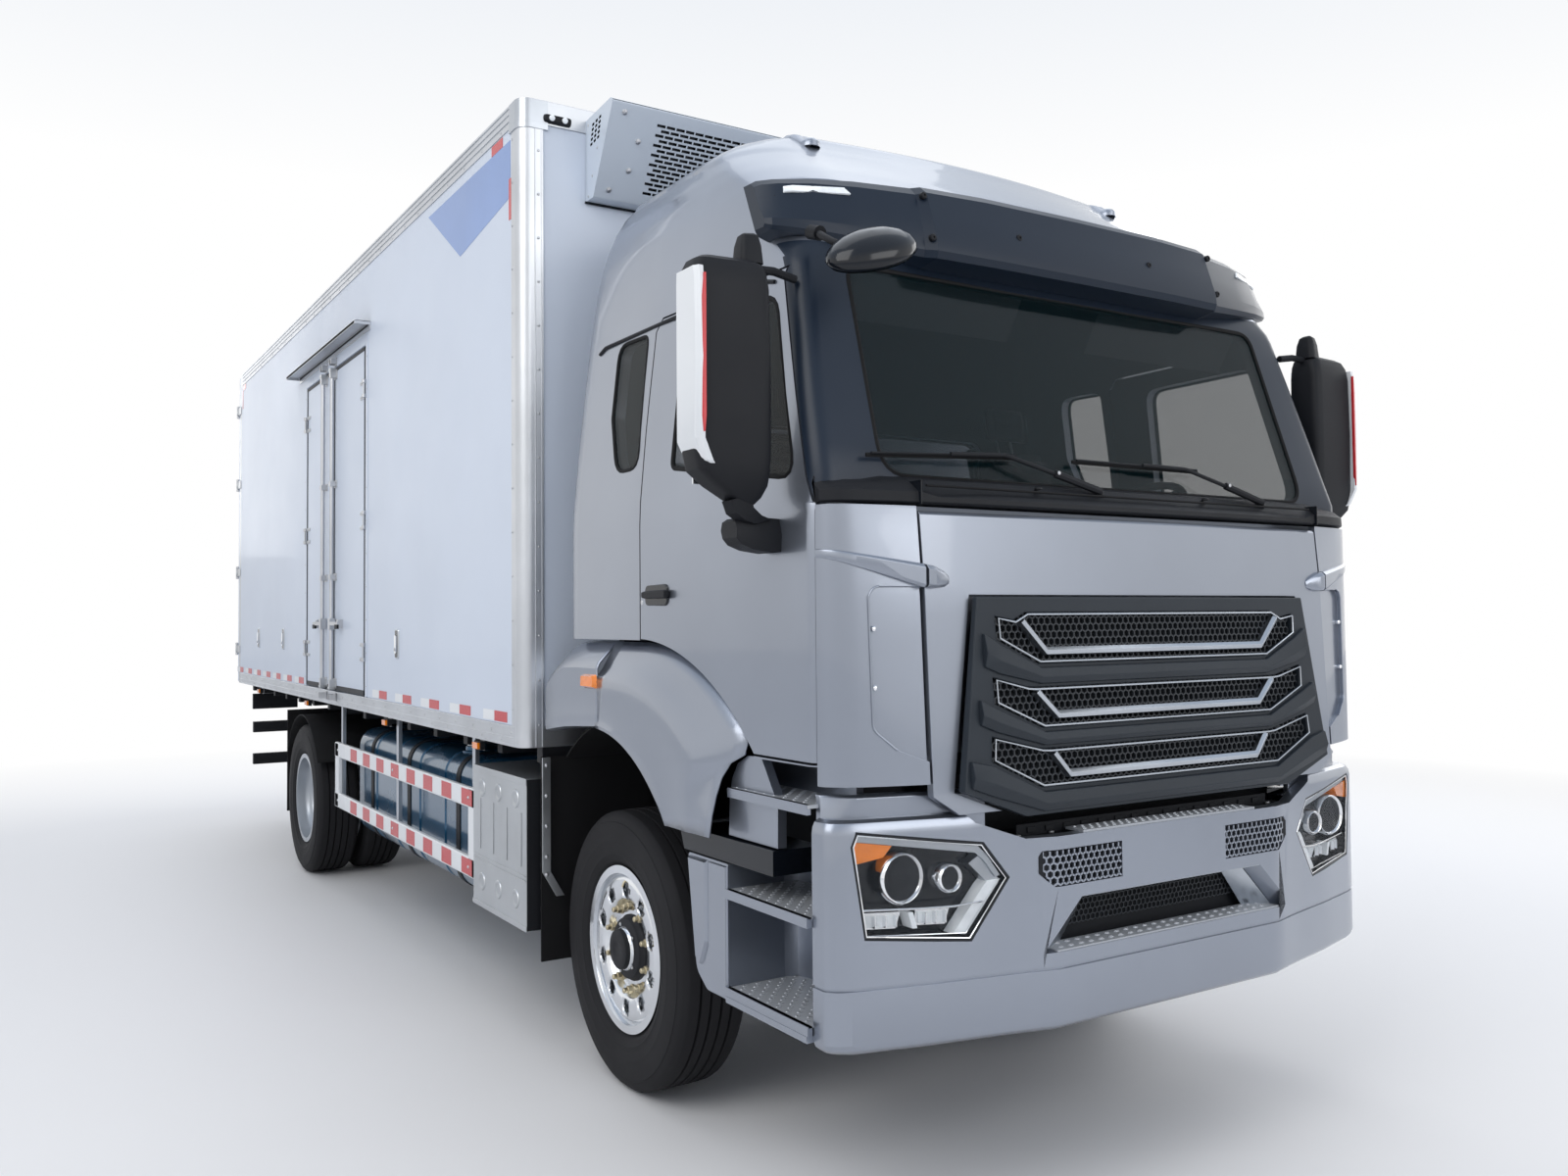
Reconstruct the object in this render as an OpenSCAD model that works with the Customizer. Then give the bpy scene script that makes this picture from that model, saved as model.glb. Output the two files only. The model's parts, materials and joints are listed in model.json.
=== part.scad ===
// Two-axle refrigerated truck: tilting cab, insulated box body with side and rear doors, and a cooling unit.
// The truck faces -Y, +X is its left side, +Z is up. Every module is drawn with y = 0 at the front axle
// and z = 0 on the ground, and placed() moves it so that the origin is under the middle of the truck.

/* [Chassis] */
// Distance between the axles
wheelbase = 4800; // [4200:50:5600]
// Outer width over the two frame rails
frame_w = 860; // [800:10:900]
// Height of a frame rail
rail_h = 270; // [220:10:300]
// Thickness of a rail's web and flanges
rail_t = 8; // [6:1:10]
// Height of the rails' top above the ground
rail_top = 1000; // [960:10:1060]
// Outer width over the bumper
bumper_w = 2330; // [2200:10:2400]
// Height of the bumper
bumper_h = 630; // [560:5:700]

/* [Wheels] */
// Outer radius of a tyre
tyre_r = 498; // [470:1:520]
// Width of a tyre
tyre_w = 276; // [250:2:300]
// Radius of the rim's flange
rim_r = 298.5; // [290:0.5:310]
// Distance between the two front tyres' centres
front_track = 1970; // [1900:10:2020]
// Distance between the outer rear tyres' centres
rear_track = 2248; // [2200:4:2260]
// Distance between the centres of a pair of twin tyres
twin_gap = 310; // [304:1:330]

/* [Cab] */
// Width of the cab at its waist
cab_w = 2400; // [2300:10:2460]
// Thickness of the cab's walls and doors
cab_wall = 60; // [45:1:75]
// Height of the roof's top above the ground
cab_top = 3375; // [3200:5:3400]
// Gap round the cab's doors and panels
shut_gap = 8; // [6:1:12]
// Thickness of the windows
glass_t = 8; // [5:1:10]

/* [Box body] */
// Length of the box body with its rear doors
box_l = 6795; // [6000:5:7400]
// Width of the box body
box_w = 2570; // [2400:10:2600]
// Height of the box body
box_h = 2616; // [2200:4:2700]
// Thickness of the side walls and of all the box doors
box_wall = 80; // [60:5:100]
// Thickness of the front wall
front_wall = 100; // [80:5:120]
// Thickness of the roof
box_roof_t = 100; // [80:5:120]
// Height of the lower side rail and of the floor
floor_t = 85; // [75:5:110]
// Width of the side doorway
side_door_w = 1561; // [1200:1:1800]
// Height of the side doorway
side_door_h = 1990; // [1600:10:2150]
// Distance from the front axle to the side doorway
side_door_y = 2992; // [2600:1:3400]

/* [Hidden] */
$fn = 48;

// Gap between curved faces that sit on each other
seat_gap = 0.3;
// Radial clearance of a shaft in its bore
run_gap = 0.05;

axle_z = tyre_r;
rail_bottom = rail_top - rail_h;
rail_out = frame_w / 2;
rail_flange = 75;
box_half = box_w / 2;
box_front = 542;
box_rear = box_front + box_l;
box_bottom = rail_top + 188;
box_top = box_bottom + box_h;
box_inner = box_half - box_wall;
box_floor_top = box_bottom + floor_t;
roof_bottom = box_top - box_roof_t;
post_w = 60;
door_plane = box_rear - box_wall;
rear_frame_t = 60;
rear_frame_y = door_plane - rear_frame_t;
cab_half = cab_w / 2;

// Axis of a door hinge: its distance out from the panel face, its radii and its heights
hinge_out = 12;
hinge_r = 11;
hinge_pin_r = 6;
hinge_barrel = 30;
hinge_end = 52;
hinge_play = 1;

bumper_front = -1594;
bumper_bottom = 520;
bumper_top = bumper_bottom + bumper_h;
lock_rod_out = 42;
origin_y = (bumper_front + box_rear + lock_rod_out) / 2;

// ---- helpers ----

module placed() {
    translate([0, -origin_y, 0]) children();
}

module both() {
    children();
    mirror([1, 0, 0]) children();
}

// A block from its lowest to its highest corner
module block(low, high) {
    translate(low) cube(high - low);
}

// An outline of [y, z] points, run along X
module along_x(points, x0, x1) {
    translate([x0, 0, 0]) rotate([90, 0, 90]) linear_extrude(x1 - x0) polygon(points);
}

// An outline of [x, z] points, run along Y
module along_y(points, y0, y1) {
    translate([0, y1, 0]) rotate([90, 0, 0]) linear_extrude(y1 - y0) polygon(points);
}

// An outline of [x, y] points, run along Z
module along_z(points, z0, z1) {
    translate([0, 0, z0]) linear_extrude(z1 - z0) polygon(points);
}

module rod_x(r, x0, x1, y, z) {
    translate([x0, y, z]) rotate([0, 90, 0]) cylinder(r = r, h = x1 - x0);
}

module rod_y(r, y0, y1, x, z) {
    translate([x, y0, z]) rotate([-90, 0, 0]) cylinder(r = r, h = y1 - y0);
}

module rod_z(r, z0, z1, x, y) {
    translate([x, y, z0]) cylinder(r = r, h = z1 - z0);
}

// Points along an arc, from angle a0 to a1, in n steps
function arc(c, r, a0, a1, n) = [for (i = [0:n]) let (a = a0 + (a1 - a0) * i / n)
    [c[0] + r * cos(a), c[1] + r * sin(a)]];

// The unit normal of the edge a-b, on its left
function normal(a, b) = let (d = b - a) [-d[1], d[0]] / norm(d);

// An anticlockwise outline moved inwards by d
function inset(p, d) = let (n = len(p)) [for (i = [0:n - 1])
    let (m = normal(p[(i + n - 1) % n], p[i]), k = normal(p[i], p[(i + 1) % n]))
    p[i] + (m + k) * d / (1 + m * k)];

// An [x, z] or [x, y] half outline, from the middle out, with its mirror image
function mirrored(p) = concat(p, [for (i = [len(p) - 1:-1:0]) [-p[i][0], p[i][1]]]);

// ---- chassis ----

frame_front = -1350;
frame_rear = box_rear - 110;
cross_ys = [-1080, 620, 1700, 2900, wheelbase - 800, wheelbase + 900, frame_rear - 90];

module rail() {
    difference() {
        block([rail_out - rail_flange, frame_front, rail_bottom], [rail_out, frame_rear, rail_top]);
        block([rail_out - rail_flange - 1, frame_front - 1, rail_bottom + rail_t],
              [rail_out - rail_t, frame_rear + 1, rail_top - rail_t]);
    }
}

module chassis_frame() {
    color("#24272b") {
        both() rail();
        for (y = cross_ys) {
            block([-rail_out + rail_t + seat_gap, y, rail_bottom + 55],
                  [rail_out - rail_t - seat_gap, y + 70, rail_top - 55]);
        }
        both() cab_pivot_bracket();
        both() cab_rear_rest();
    }
}

// Towing lug on the last cross member, with an eye for a shackle's pin
tow_r = 20.5;
tow_z = 910;
tow_t = 40;

module tow_lug() {
    color("#24272b") difference() {
        union() {
            rod_x(45, -tow_t / 2, tow_t / 2, frame_rear + 25, tow_z);
            block([-tow_t / 2, frame_rear - 20, tow_z - 45], [tow_t / 2, frame_rear + 25, tow_z + 45]);
        }
        rod_x(tow_r, -tow_t, tow_t, frame_rear + 25, tow_z);
    }
}

// The cab tilts on a pin through these two brackets, in front of the rails
pivot_y = -1405;
pivot_z = 850;
pivot_r = 22;
pivot_hub = 40;
pivot_x0 = 355;
pivot_x1 = 392;

module cab_pivot_bracket() {
    difference() {
        block([pivot_x0, pivot_y - 45, pivot_z - 55], [pivot_x1, frame_front - seat_gap, pivot_z + 50]);
        rod_x(pivot_r + run_gap, pivot_x0 - 1, pivot_x1 + 1, pivot_y, pivot_z);
    }
}

// Rubber rest on each rail, under the back of the cab
rest_y = 130;
rest_z = 1400;

module cab_rear_rest() {
    block([rail_out - 70, rest_y - 40, rail_top + seat_gap], [rail_out - 10, rest_y + 40, rest_z]);
}

bearer_h = 120;
bearer_top = rail_top + bearer_h;
cross_bearers = 15;

module box_subframe() {
    color("#2b2e31") {
        both() block([rail_out - rail_flange, box_front + 20, rail_top], [rail_out, frame_rear, bearer_top]);
        for (i = [0:cross_bearers - 1]) {
            y = box_front + 30 + i * (box_l - 230) / (cross_bearers - 1);
            block([-box_inner + 20, y, bearer_top + seat_gap], [box_inner - 20, y + 60, box_bottom]);
        }
    }
}

kingpin_x = front_track / 2 - 105;
kingpin_r = 22;
boss_r = 45;
boss_h = 110;
spring_x = 430;
spring_w = 90;
front_seat_z = 470;
beam_z = 370;

module front_axle() {
    color("#1d1f22") difference() {
        union() {
            along_y(mirrored([[0, beam_z], [kingpin_x - 200, beam_z], [kingpin_x - 60, axle_z - 45],
                              [kingpin_x, axle_z - 45], [kingpin_x, axle_z + 45],
                              [kingpin_x - 90, axle_z + 45], [kingpin_x - 230, beam_z + 85],
                              [0, beam_z + 85]]), -45, 45);
            both() rod_z(boss_r, axle_z - boss_h / 2, axle_z + boss_h / 2, kingpin_x, 0);
            both() block([spring_x - spring_w / 2, -60, beam_z + 40],
                         [spring_x + spring_w / 2, 60, front_seat_z]);
        }
        both() rod_z(kingpin_r + run_gap, axle_z - boss_h, axle_z + boss_h, kingpin_x, 0);
    }
}

rear_tube_r = 75;
rear_spindle_r = 50;
rear_spring_x = rail_out + 80;
rear_seat_z = axle_z + 95;
rear_outer = rear_track / 2;
rear_inner = rear_outer - twin_gap;
twin_mid = (rear_outer + rear_inner) / 2;
rear_tube_end = rear_inner - 105;
rear_spindle_end = twin_mid + 60;

module rear_axle() {
    color("#1d1f22") union() {
        rod_x(rear_tube_r, -rear_tube_end, rear_tube_end, wheelbase, axle_z);
        both() rod_x(rear_spindle_r, rear_tube_end - 1, rear_spindle_end, wheelbase, axle_z);
        rod_y(190, wheelbase - 80, wheelbase + 80, 0, axle_z);
        rod_y(130, wheelbase - 220, wheelbase + 180, 0, axle_z);
        rod_y(60, wheelbase - 320, wheelbase, 0, axle_z);
        both() block([rear_spring_x - spring_w / 2, wheelbase - 80, axle_z],
                     [rear_spring_x + spring_w / 2, wheelbase + 80, rear_seat_z]);
    }
}

// A leaf spring with its two hangers, from the outline of its pack; the hangers end at hanger_z
module leaf_spring(seat_z, end_z, half_l, hanger_z) {
    along_x([[-half_l, end_z + 40], [-half_l, end_z], [-half_l / 2, (seat_z + end_z) / 2 - 15],
             [-60, seat_z], [60, seat_z], [half_l / 2, (seat_z + end_z) / 2 - 15], [half_l, end_z],
             [half_l, end_z + 40], [half_l / 2, (seat_z + end_z) / 2 + 40], [60, seat_z + 90],
             [-60, seat_z + 90], [-half_l / 2, (seat_z + end_z) / 2 + 40]], -spring_w / 2, spring_w / 2);
    for (s = [-1, 1]) {
        block([-spring_w / 2, s * half_l - 45, end_z + 5], [spring_w / 2, s * half_l + 45, hanger_z]);
    }
}

module leaf_springs() {
    color("#303338") both() {
        translate([spring_x - 1, 0, 0]) leaf_spring(front_seat_z, 610, 740, rail_bottom);
        translate([rear_spring_x, wheelbase, 0]) union() {
            leaf_spring(rear_seat_z, 700, 760, rail_bottom + 120);
            for (s = [-1, 1]) {
                block([rail_out - rear_spring_x, s * 760 - 45, rail_bottom + 40],
                      [spring_w / 2, s * 760 + 45, rail_bottom + 200]);
            }
        }
    }
}

engine_half = 310;

module engine() {
    color("#3a3d40") {
        block([-engine_half, -900, 600], [engine_half, 350, 1240]);
        for (y = [-700, 150]) {
            block([-rail_out + rail_t, y, 800], [rail_out - rail_t, y + 90, 860]);
        }
    }
}

// ---- hung on the frame ----

tank_x0 = 540;
tank_x1 = 1130;
tank_y0 = 1560;
tank_y1 = 3760;
tank_z0 = 400;
tank_z1 = 1040;

// A round-cornered outline of a block seen along Y, from its corners
function rounded(x0, z0, x1, z1, r, n) = concat(
    arc([x0 + r, z0 + r], r, 180, 270, n), arc([x1 - r, z0 + r], r, 270, 360, n),
    arc([x1 - r, z1 - r], r, 0, 90, n), arc([x0 + r, z1 - r], r, 90, 180, n));

module fuel_tank() {
    color("#123a5c") union() {
        along_y(rounded(-tank_x1, tank_z0, -tank_x0, tank_z1, 110, 8), tank_y0, tank_y1);
        for (y = [tank_y0 + 280, tank_y1 - 360]) {
            block([-tank_x0 - 60, y, 780], [-rail_out, y + 80, 980]);
        }
    }
}

battery_y0 = 585;
battery_y1 = 1240;

module battery_box() {
    color("#b9bcc0") union() {
        block([-1250, battery_y0, 455], [-760, battery_y1, 1062]);
        block([-770, battery_y0 + 120, 780], [-rail_out, battery_y0 + 200, 960]);
        block([-770, battery_y1 - 200, 780], [-rail_out, battery_y1 - 120, 960]);
    }
}

air_tank_r = 130;

module air_tanks() {
    color("#33373b") union() {
        for (y = [1450, 2350, 3050]) {
            rod_y(air_tank_r, y, y + 620, 700, 800);
            block([rail_out, y + 120, 780], [700, y + 190, 840]);
            block([rail_out, y + 420, 780], [700, y + 490, 840]);
        }
    }
}

module silencer() {
    color("#4a4d50") union() {
        block([620, 600, 480], [1160, 1240, 1030]);
        block([rail_out, 760, 800], [630, 840, 900]);
        block([rail_out, 1040, 800], [630, 1120, 900]);
        rod_z(45, 400, 490, 880, 1100);
    }
}

guard_x = 1235;
guard_y0 = 1263;
guard_y1 = 3945;
guard_z0 = 545;
guard_z1 = 945;
guard_bar = 90;

module side_guard() {
    for (z = [guard_z0, guard_z1 - guard_bar]) {
        block([guard_x - 25, guard_y0, z], [guard_x, guard_y1, z + guard_bar]);
    }
    for (y = [guard_y0, guard_y1 - guard_bar]) {
        block([guard_x - 25, y, guard_z0], [guard_x, y + guard_bar, guard_z1]);
    }
    for (y = [guard_y0 + 60, (guard_y0 + guard_y1) / 2 - 20, guard_y1 - 100]) {
        block([guard_x - 45, y, guard_z0 + 20], [guard_x - 25, y + 40, box_bottom]);
    }
}

module side_guards() {
    color("#eceef0") both() side_guard();
}

flap_y = 548;
flap_t = 8;
mudguard_r = 560;
rear_flap_y = wheelbase + 620;

// A front flap with its bar from the frame
module front_flap() {
    union() {
        block([720, flap_y, 340], [1200, flap_y + flap_t, 1150]);
        block([rail_out, flap_y + flap_t, 900], [1150, flap_y + 30, 950]);
    }
}

// A thin guard over the twin tyres, on two bars from the frame
module rear_mudguard() {
    union() {
        difference() {
            rod_x(mudguard_r + 6, 640, box_half - 20, wheelbase, axle_z);
            rod_x(mudguard_r, 639, box_half, wheelbase, axle_z);
            block([600, wheelbase - 700, -200], [box_half, wheelbase + 700, 780]);
        }
        for (s = [-1, 1]) {
            translate([0, wheelbase + s * 368, 0]) block([rail_out, -12, 905], [700, 12, 935]);
        }
    }
}

module rear_flap() {
    union() {
        block([690, rear_flap_y, 330], [1240, rear_flap_y + flap_t, 1060]);
        block([rail_out, rear_flap_y + flap_t, 940], [1200, rear_flap_y + 30, 980]);
    }
}

module mud_flaps() {
    color("#17181a") both() {
        front_flap();
        rear_mudguard();
        rear_flap();
    }
}

guard_rear_y = frame_rear + 5;

module underrun_guard() {
    color("#202225") union() {
        for (z = [490, 760]) {
            block([-1170, guard_rear_y, z], [1170, guard_rear_y + 50, z + 90]);
        }
        both() {
            block([rail_out - 60, frame_rear - 60, 490], [rail_out, guard_rear_y + 1, rail_bottom]);
            block([rail_out - 60, frame_rear, 490], [rail_out, guard_rear_y + 1, 850]);
        }
    }
}

module rear_lamps() {
    color("#a01818") both() union() {
        block([820, door_plane - 50, 960], [1180, door_plane, 1090]);
        block([900, door_plane - 50, 1090], [1100, door_plane - 20, box_bottom]);
    }
}

// Front line of the bumper, from its middle to its outer end
bumper_half = bumper_w / 2;
bumper_line = [[0, bumper_front], [495, bumper_front], [640, -1556], [870, -1507], [1080, -1452],
               [bumper_half - 20, -1420], [bumper_half, -1385]];
bumper_back = -1345;
bumper_t = 50;
bumper_low_mid = 1070;
mouth_half = 510;
lamp_in = 640;
lamp_out = 1105;
lamp_low = 800;
lamp_high = 1120;

// The whole front line, from the right end to the left end
function whole_line(p) = concat([for (i = [len(p) - 1:-1:1]) [-p[i][0], p[i][1]]], p);

module bumper_body(z0, z1) {
    along_z(concat(whole_line(bumper_line), [[bumper_half, bumper_back], [-bumper_half, bumper_back]]), z0, z1);
}

// The outline of a headlamp, grown by g, run through the bumper
module lamp_shape(g) {
    along_y([[lamp_in - g, 966], [lamp_in + 120, lamp_low - g], [lamp_out - 35, lamp_low + 30 - g],
             [lamp_out + g, lamp_high - 40], [lamp_out - 15, lamp_high + g],
             [lamp_in + 80, lamp_high - 50 + g]], -1650, -1400);
}

module bumper() {
    color("#9aa3b0") union() {
        difference() {
            bumper_body(bumper_bottom, bumper_top);
            translate([0, bumper_t, 0]) bumper_body(bumper_bottom + 30, bumper_top + 1);
            block([-800, -1700, bumper_low_mid], [800, 0, bumper_top + 1]);
            block([-mouth_half, -1700, 740], [mouth_half, -1500, 850]);
            both() lamp_shape(0);
        }
        both() block([pivot_x1 + 8, bumper_front + 10, 860], [rail_out, frame_front, 930]);
    }
}

lamp_seat = 0.3;
lamp_deep = 90;

module headlamps() {
    color("#dfe6ee") both() intersection() {
        lamp_shape(-lamp_seat);
        translate([0, 5, 0]) bumper_body(700, 1200);
        block([500, -1600, 700], [1300, -1600 + 2 * lamp_deep, 1200]);
    }
}

step_x0 = 900;
step_x1 = 1185;
step_front = bumper_back;
step_back = -655;
step_low = 555;
step_high = 955;

module lower_step() {
    block([step_x0, -900, step_low], [step_x1, step_back, step_high]);
    block([step_x0, step_front, step_low], [step_x0 + 20, -900, step_high]);
    block([step_x0, step_front, step_low], [step_x1, -900, step_low + 40]);
    block([step_x0, step_front, 880], [step_x1 - 20, -900, 910]);
    block([rail_out, -1000, 780], [step_x0, -900, 880]);
}

module lower_steps() {
    color("#9aa3b0") both() lower_step();
}

// ---- box body ----

module box_floor() {
    color("#c9ccd0") block([-box_inner, box_front + front_wall, box_bottom],
                           [box_inner, rear_frame_y, box_floor_top]);
}

module box_front_wall() {
    color("#e6ebf2") along_x([[box_front + 3, roof_bottom], [box_front + 3, box_floor_top],
                              [box_front + post_w, box_floor_top], [box_front + post_w, box_bottom],
                              [box_front + front_wall, box_bottom], [box_front + front_wall, roof_bottom]],
                             -box_inner, box_inner);
}

module side_wall() {
    block([box_inner, box_front + post_w, box_floor_top], [box_half, rear_frame_y, roof_bottom]);
}

side_door_y1 = side_door_y + side_door_w;
side_door_top = box_floor_top + side_door_h;

module box_side_walls() {
    color("#e6ebf2") {
        side_wall();
        mirror([1, 0, 0]) difference() {
            side_wall();
            block([0, side_door_y, 0], [box_half + 1, side_door_y1, side_door_top]);
        }
    }
}

module box_roof() {
    color("#e6ebf2") block([-box_inner, box_front + post_w, roof_bottom], [box_inner, rear_frame_y, box_top - 4]);
}

// A corner post with a round outer edge
module corner_post() {
    intersection() {
        block([box_inner, box_front, box_bottom], [box_half, box_front + post_w, box_top]);
        union() {
            rod_z(post_w - 10, box_bottom, box_top, box_half - post_w + 10, box_front + post_w - 10);
            block([0, box_front, box_bottom], [box_half - post_w + 10, box_front + post_w, box_top]);
            block([0, box_front + post_w - 10, box_bottom], [box_half, box_front + post_w, box_top]);
        }
    }
}

canopy_z = side_door_top + 113;

module box_rails() {
    color("#c3c8ce") union() {
        both() {
            corner_post();
            block([box_inner, box_front + post_w, box_bottom], [box_half, rear_frame_y, box_floor_top]);
            block([box_inner, box_front + post_w, roof_bottom], [box_half, rear_frame_y, box_top]);
        }
        block([-box_inner, box_front, box_bottom], [box_inner, box_front + post_w, box_floor_top]);
        block([-box_inner, box_front, roof_bottom], [box_inner, box_front + post_w, box_top]);
        difference() {
            block([-box_half - 90, side_door_y - 102, canopy_z - 22], [-box_half, side_door_y1 + 241, canopy_z]);
            block([-box_half - 86, side_door_y - 98, canopy_z - 23],
                  [-box_half - 4, side_door_y1 + 237, canopy_z - 4]);
        }
    }
}

rear_post = 90;

module box_rear_frame() {
    color("#c3c8ce") union() {
        difference() {
            block([-box_half, rear_frame_y, box_bottom], [box_half, door_plane - seat_gap, box_top]);
            block([-box_half + rear_post, rear_frame_y - 1, box_floor_top],
                  [box_half - rear_post, door_plane + 1, roof_bottom]);
        }
        both() hinge_row(rear_hinges) rear_hinge_fixed();
    }
}

// The rear door hinges: the axis stands behind the doors, and a plate runs past the door's edge
rear_axis_x = box_half + 4;
rear_axis_y = box_rear + hinge_out;

module rear_hinge_fixed() {
    difference() {
        union() {
            rod_z(hinge_r, -hinge_barrel, hinge_barrel, rear_axis_x, rear_axis_y);
            block([box_half, rear_frame_y + 5, -hinge_barrel], [box_half + 6, rear_axis_y, hinge_barrel]);
        }
        rod_z(hinge_pin_r + run_gap, -hinge_barrel - 1, hinge_barrel + 1, rear_axis_x, rear_axis_y);
    }
}

// Moving half: two knuckles with the pin between them, and straps towards +Y on the door's face
module hinge_moving(strap) {
    rod_z(hinge_pin_r, -hinge_end, hinge_end, 0, 0);
    for (s = [0, 1]) {
        mirror([0, 0, s]) {
            rod_z(hinge_r, hinge_barrel + hinge_play, hinge_end, 0, 0);
            block([hinge_out - 5, 0, hinge_barrel + hinge_play], [hinge_out, strap, hinge_end]);
        }
    }
}

side_hinges = [box_floor_top + 250, box_floor_top + side_door_h / 2, side_door_top - 250];
rear_hinges = [box_floor_top + 200, box_floor_top + 850, box_floor_top + 1600, roof_bottom - 200];

module hinge_row(heights) {
    for (z = heights) {
        translate([0, 0, z]) children();
    }
}

// ---- box doors ----

leaf_gap = 12;
edge_gap = 6;
side_axis_x = -box_half - hinge_out;
hinge_gap = 8;
leaf_w = (side_door_w - leaf_gap) / 2 - hinge_gap;

// A lock rod with its keepers, standing on a face at y = 0 and out along -Y
module lock_rod(x, z0, z1) {
    rod_z(12, z0, z1, x, -25);
    for (z = [z0, z1 - 60, (z0 + z1) / 2, z0 + 380]) {
        block([x - 22, -lock_rod_out + 5, z], [x + 22, 0, z + 60]);
    }
    block([x - 10, -lock_rod_out, z0 + 395], [x + 170, -28, z0 + 425]);
    block([x + 140, -lock_rod_out, z0 + 385], [x + 170, 0, z0 + 435]);
}

// The front leaf of the side door, with its hinge axis at the origin of x and y
module side_leaf(rod_y) {
    union() {
        block([hinge_out, hinge_gap, box_floor_top + edge_gap],
              [hinge_out + box_wall, hinge_gap + leaf_w, side_door_top - edge_gap]);
        hinge_row(side_hinges) hinge_moving(110);
        translate([hinge_out, 0, 0]) rotate([0, 0, -90])
            lock_rod(-rod_y, box_floor_top + edge_gap, side_door_top - edge_gap);
    }
}

module side_door_front() {
    color("#e6ebf2") translate([side_axis_x, side_door_y, 0]) side_leaf(leaf_w - 40);
}

module side_door_rear() {
    color("#e6ebf2") translate([side_axis_x, side_door_y1, 0]) mirror([0, 1, 0]) side_leaf(leaf_w - 180);
}

module rear_leaf() {
    union() {
        block([edge_gap, door_plane + seat_gap, box_bottom + 10], [box_half - 5, box_rear, box_top - 10]);
        translate([rear_axis_x, rear_axis_y, 0]) rotate([0, 0, 90]) mirror([1, 0, 0])
            hinge_row(rear_hinges) hinge_moving(260);
        for (x = [260, 780]) {
            translate([0, box_rear, 0]) rotate([0, 0, 180]) lock_rod(-x, box_bottom + 10, box_top - 10);
        }
    }
}

module rear_door_left() {
    color("#e6ebf2") rear_leaf();
}

module rear_door_right() {
    color("#e6ebf2") mirror([1, 0, 0]) rear_leaf();
}

// ---- cooling unit ----

unit_half = 1000;
unit_low = 3420;
unit_high = 3757;

module cooling_unit() {
    color("#dfe5ee") difference() {
        along_x([[box_front - 67, unit_low], [box_front, unit_low], [box_front, unit_high],
                 [box_front - 240, unit_high + 14], [box_front - 264, unit_high]], -unit_half, unit_half);
        // The lower half of the grille, a shallow bay
        along_x([[box_front - 150, unit_low + 60], [box_front - 40, unit_low + 60],
                 [box_front - 150, unit_high - 40], [box_front - 300, unit_high - 40]], -620, 620);
    }
}

// ---- cab ----

front_wall_y = -1375;
glass_foot = [-1402, 2093];
glass_head = [-1194, 2760];
cab_rear = 250;
floor_low = 1290;
arch_c = [-330, 650];
arch_r = 975;
arch_end = 180 - asin((floor_low - arch_c[1]) / arch_r);
arch_top = arch_c[1] + arch_r;
cab_side = concat([[front_wall_y, floor_low]], arc(arch_c, arch_r, arch_end, 90, 8),
    [[cab_rear, arch_top], [cab_rear, glass_head[1]], glass_head, glass_foot,
     [glass_foot[0], 2013], [front_wall_y, 2013]]);
cab_front_half = [[cab_half, 1000], [cab_half, 2070], [cab_half - 46, 2510], [cab_half - 73, 2730],
                  [cab_half - 106, 3000]];
cab_plan_half = [[cab_half - 35, -1700], [cab_half - 35, front_wall_y], [cab_half, -360], [cab_half, 500]];

// A closed outline, symmetrical left and right, from its right half drawn upwards
function closed(p) = concat(p, [for (i = [len(p) - 1:-1:0]) [-p[i][0], p[i][1]]]);

// The cab's outer volume below the roof, with every face moved in by d
module cab_volume(d) {
    intersection() {
        along_x(inset(cab_side, d), -1400, 1400);
        along_y(inset(closed(cab_front_half), d), -2000, 600);
        along_z(inset(closed(cab_plan_half), d), 900, 3200);
    }
}

door_front = -1363;
door_rear = -360;
door_top = 2722;
door_side = concat([[door_front, floor_low + 8]], arc(arch_c, arch_r, arch_end, 92, 8),
    [[door_rear, arch_top], [door_rear, door_top], [-1232, door_top], [-1256, 2640], [-1342, 2093],
     [door_front, 2010]]);
door_window = [[-1290, 2085], [-570, 2190], [-570, 2640], [-1210, 2640], [-1235, 2600]];
quarter_window = [[-315, 2225], [-150, 2225], [-90, 2400], [-70, 2640],
                  [-95, 2675], [-290, 2675], [-315, 2650]];
windscreen = [[-943, 2098], [943, 2098], [925, 2738], [-925, 2738]];

// What lies between the cab's two sides, each moved in by d
module between_sides(d) {
    intersection() {
        along_y(inset(closed(cab_front_half), d), -1900, 500);
        along_z(inset(closed(cab_plan_half), d), 1000 + d, 2900);
    }
}

// The left side wall of the cab between two depths, inside an outline seen from the side
module side_skin(outline, d0, d1) {
    intersection() {
        along_x(outline, cab_half / 2, 1300);
        difference() {
            between_sides(d0);
            between_sides(d1);
        }
    }
}

door_axis_x = cab_half - 47;
door_axis_y = -1355;
door_barrel_r = 10;
door_hinges = [1460, 1900];
post_inner_x = 1035;
post_outer_x = cab_half - 105;

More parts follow.
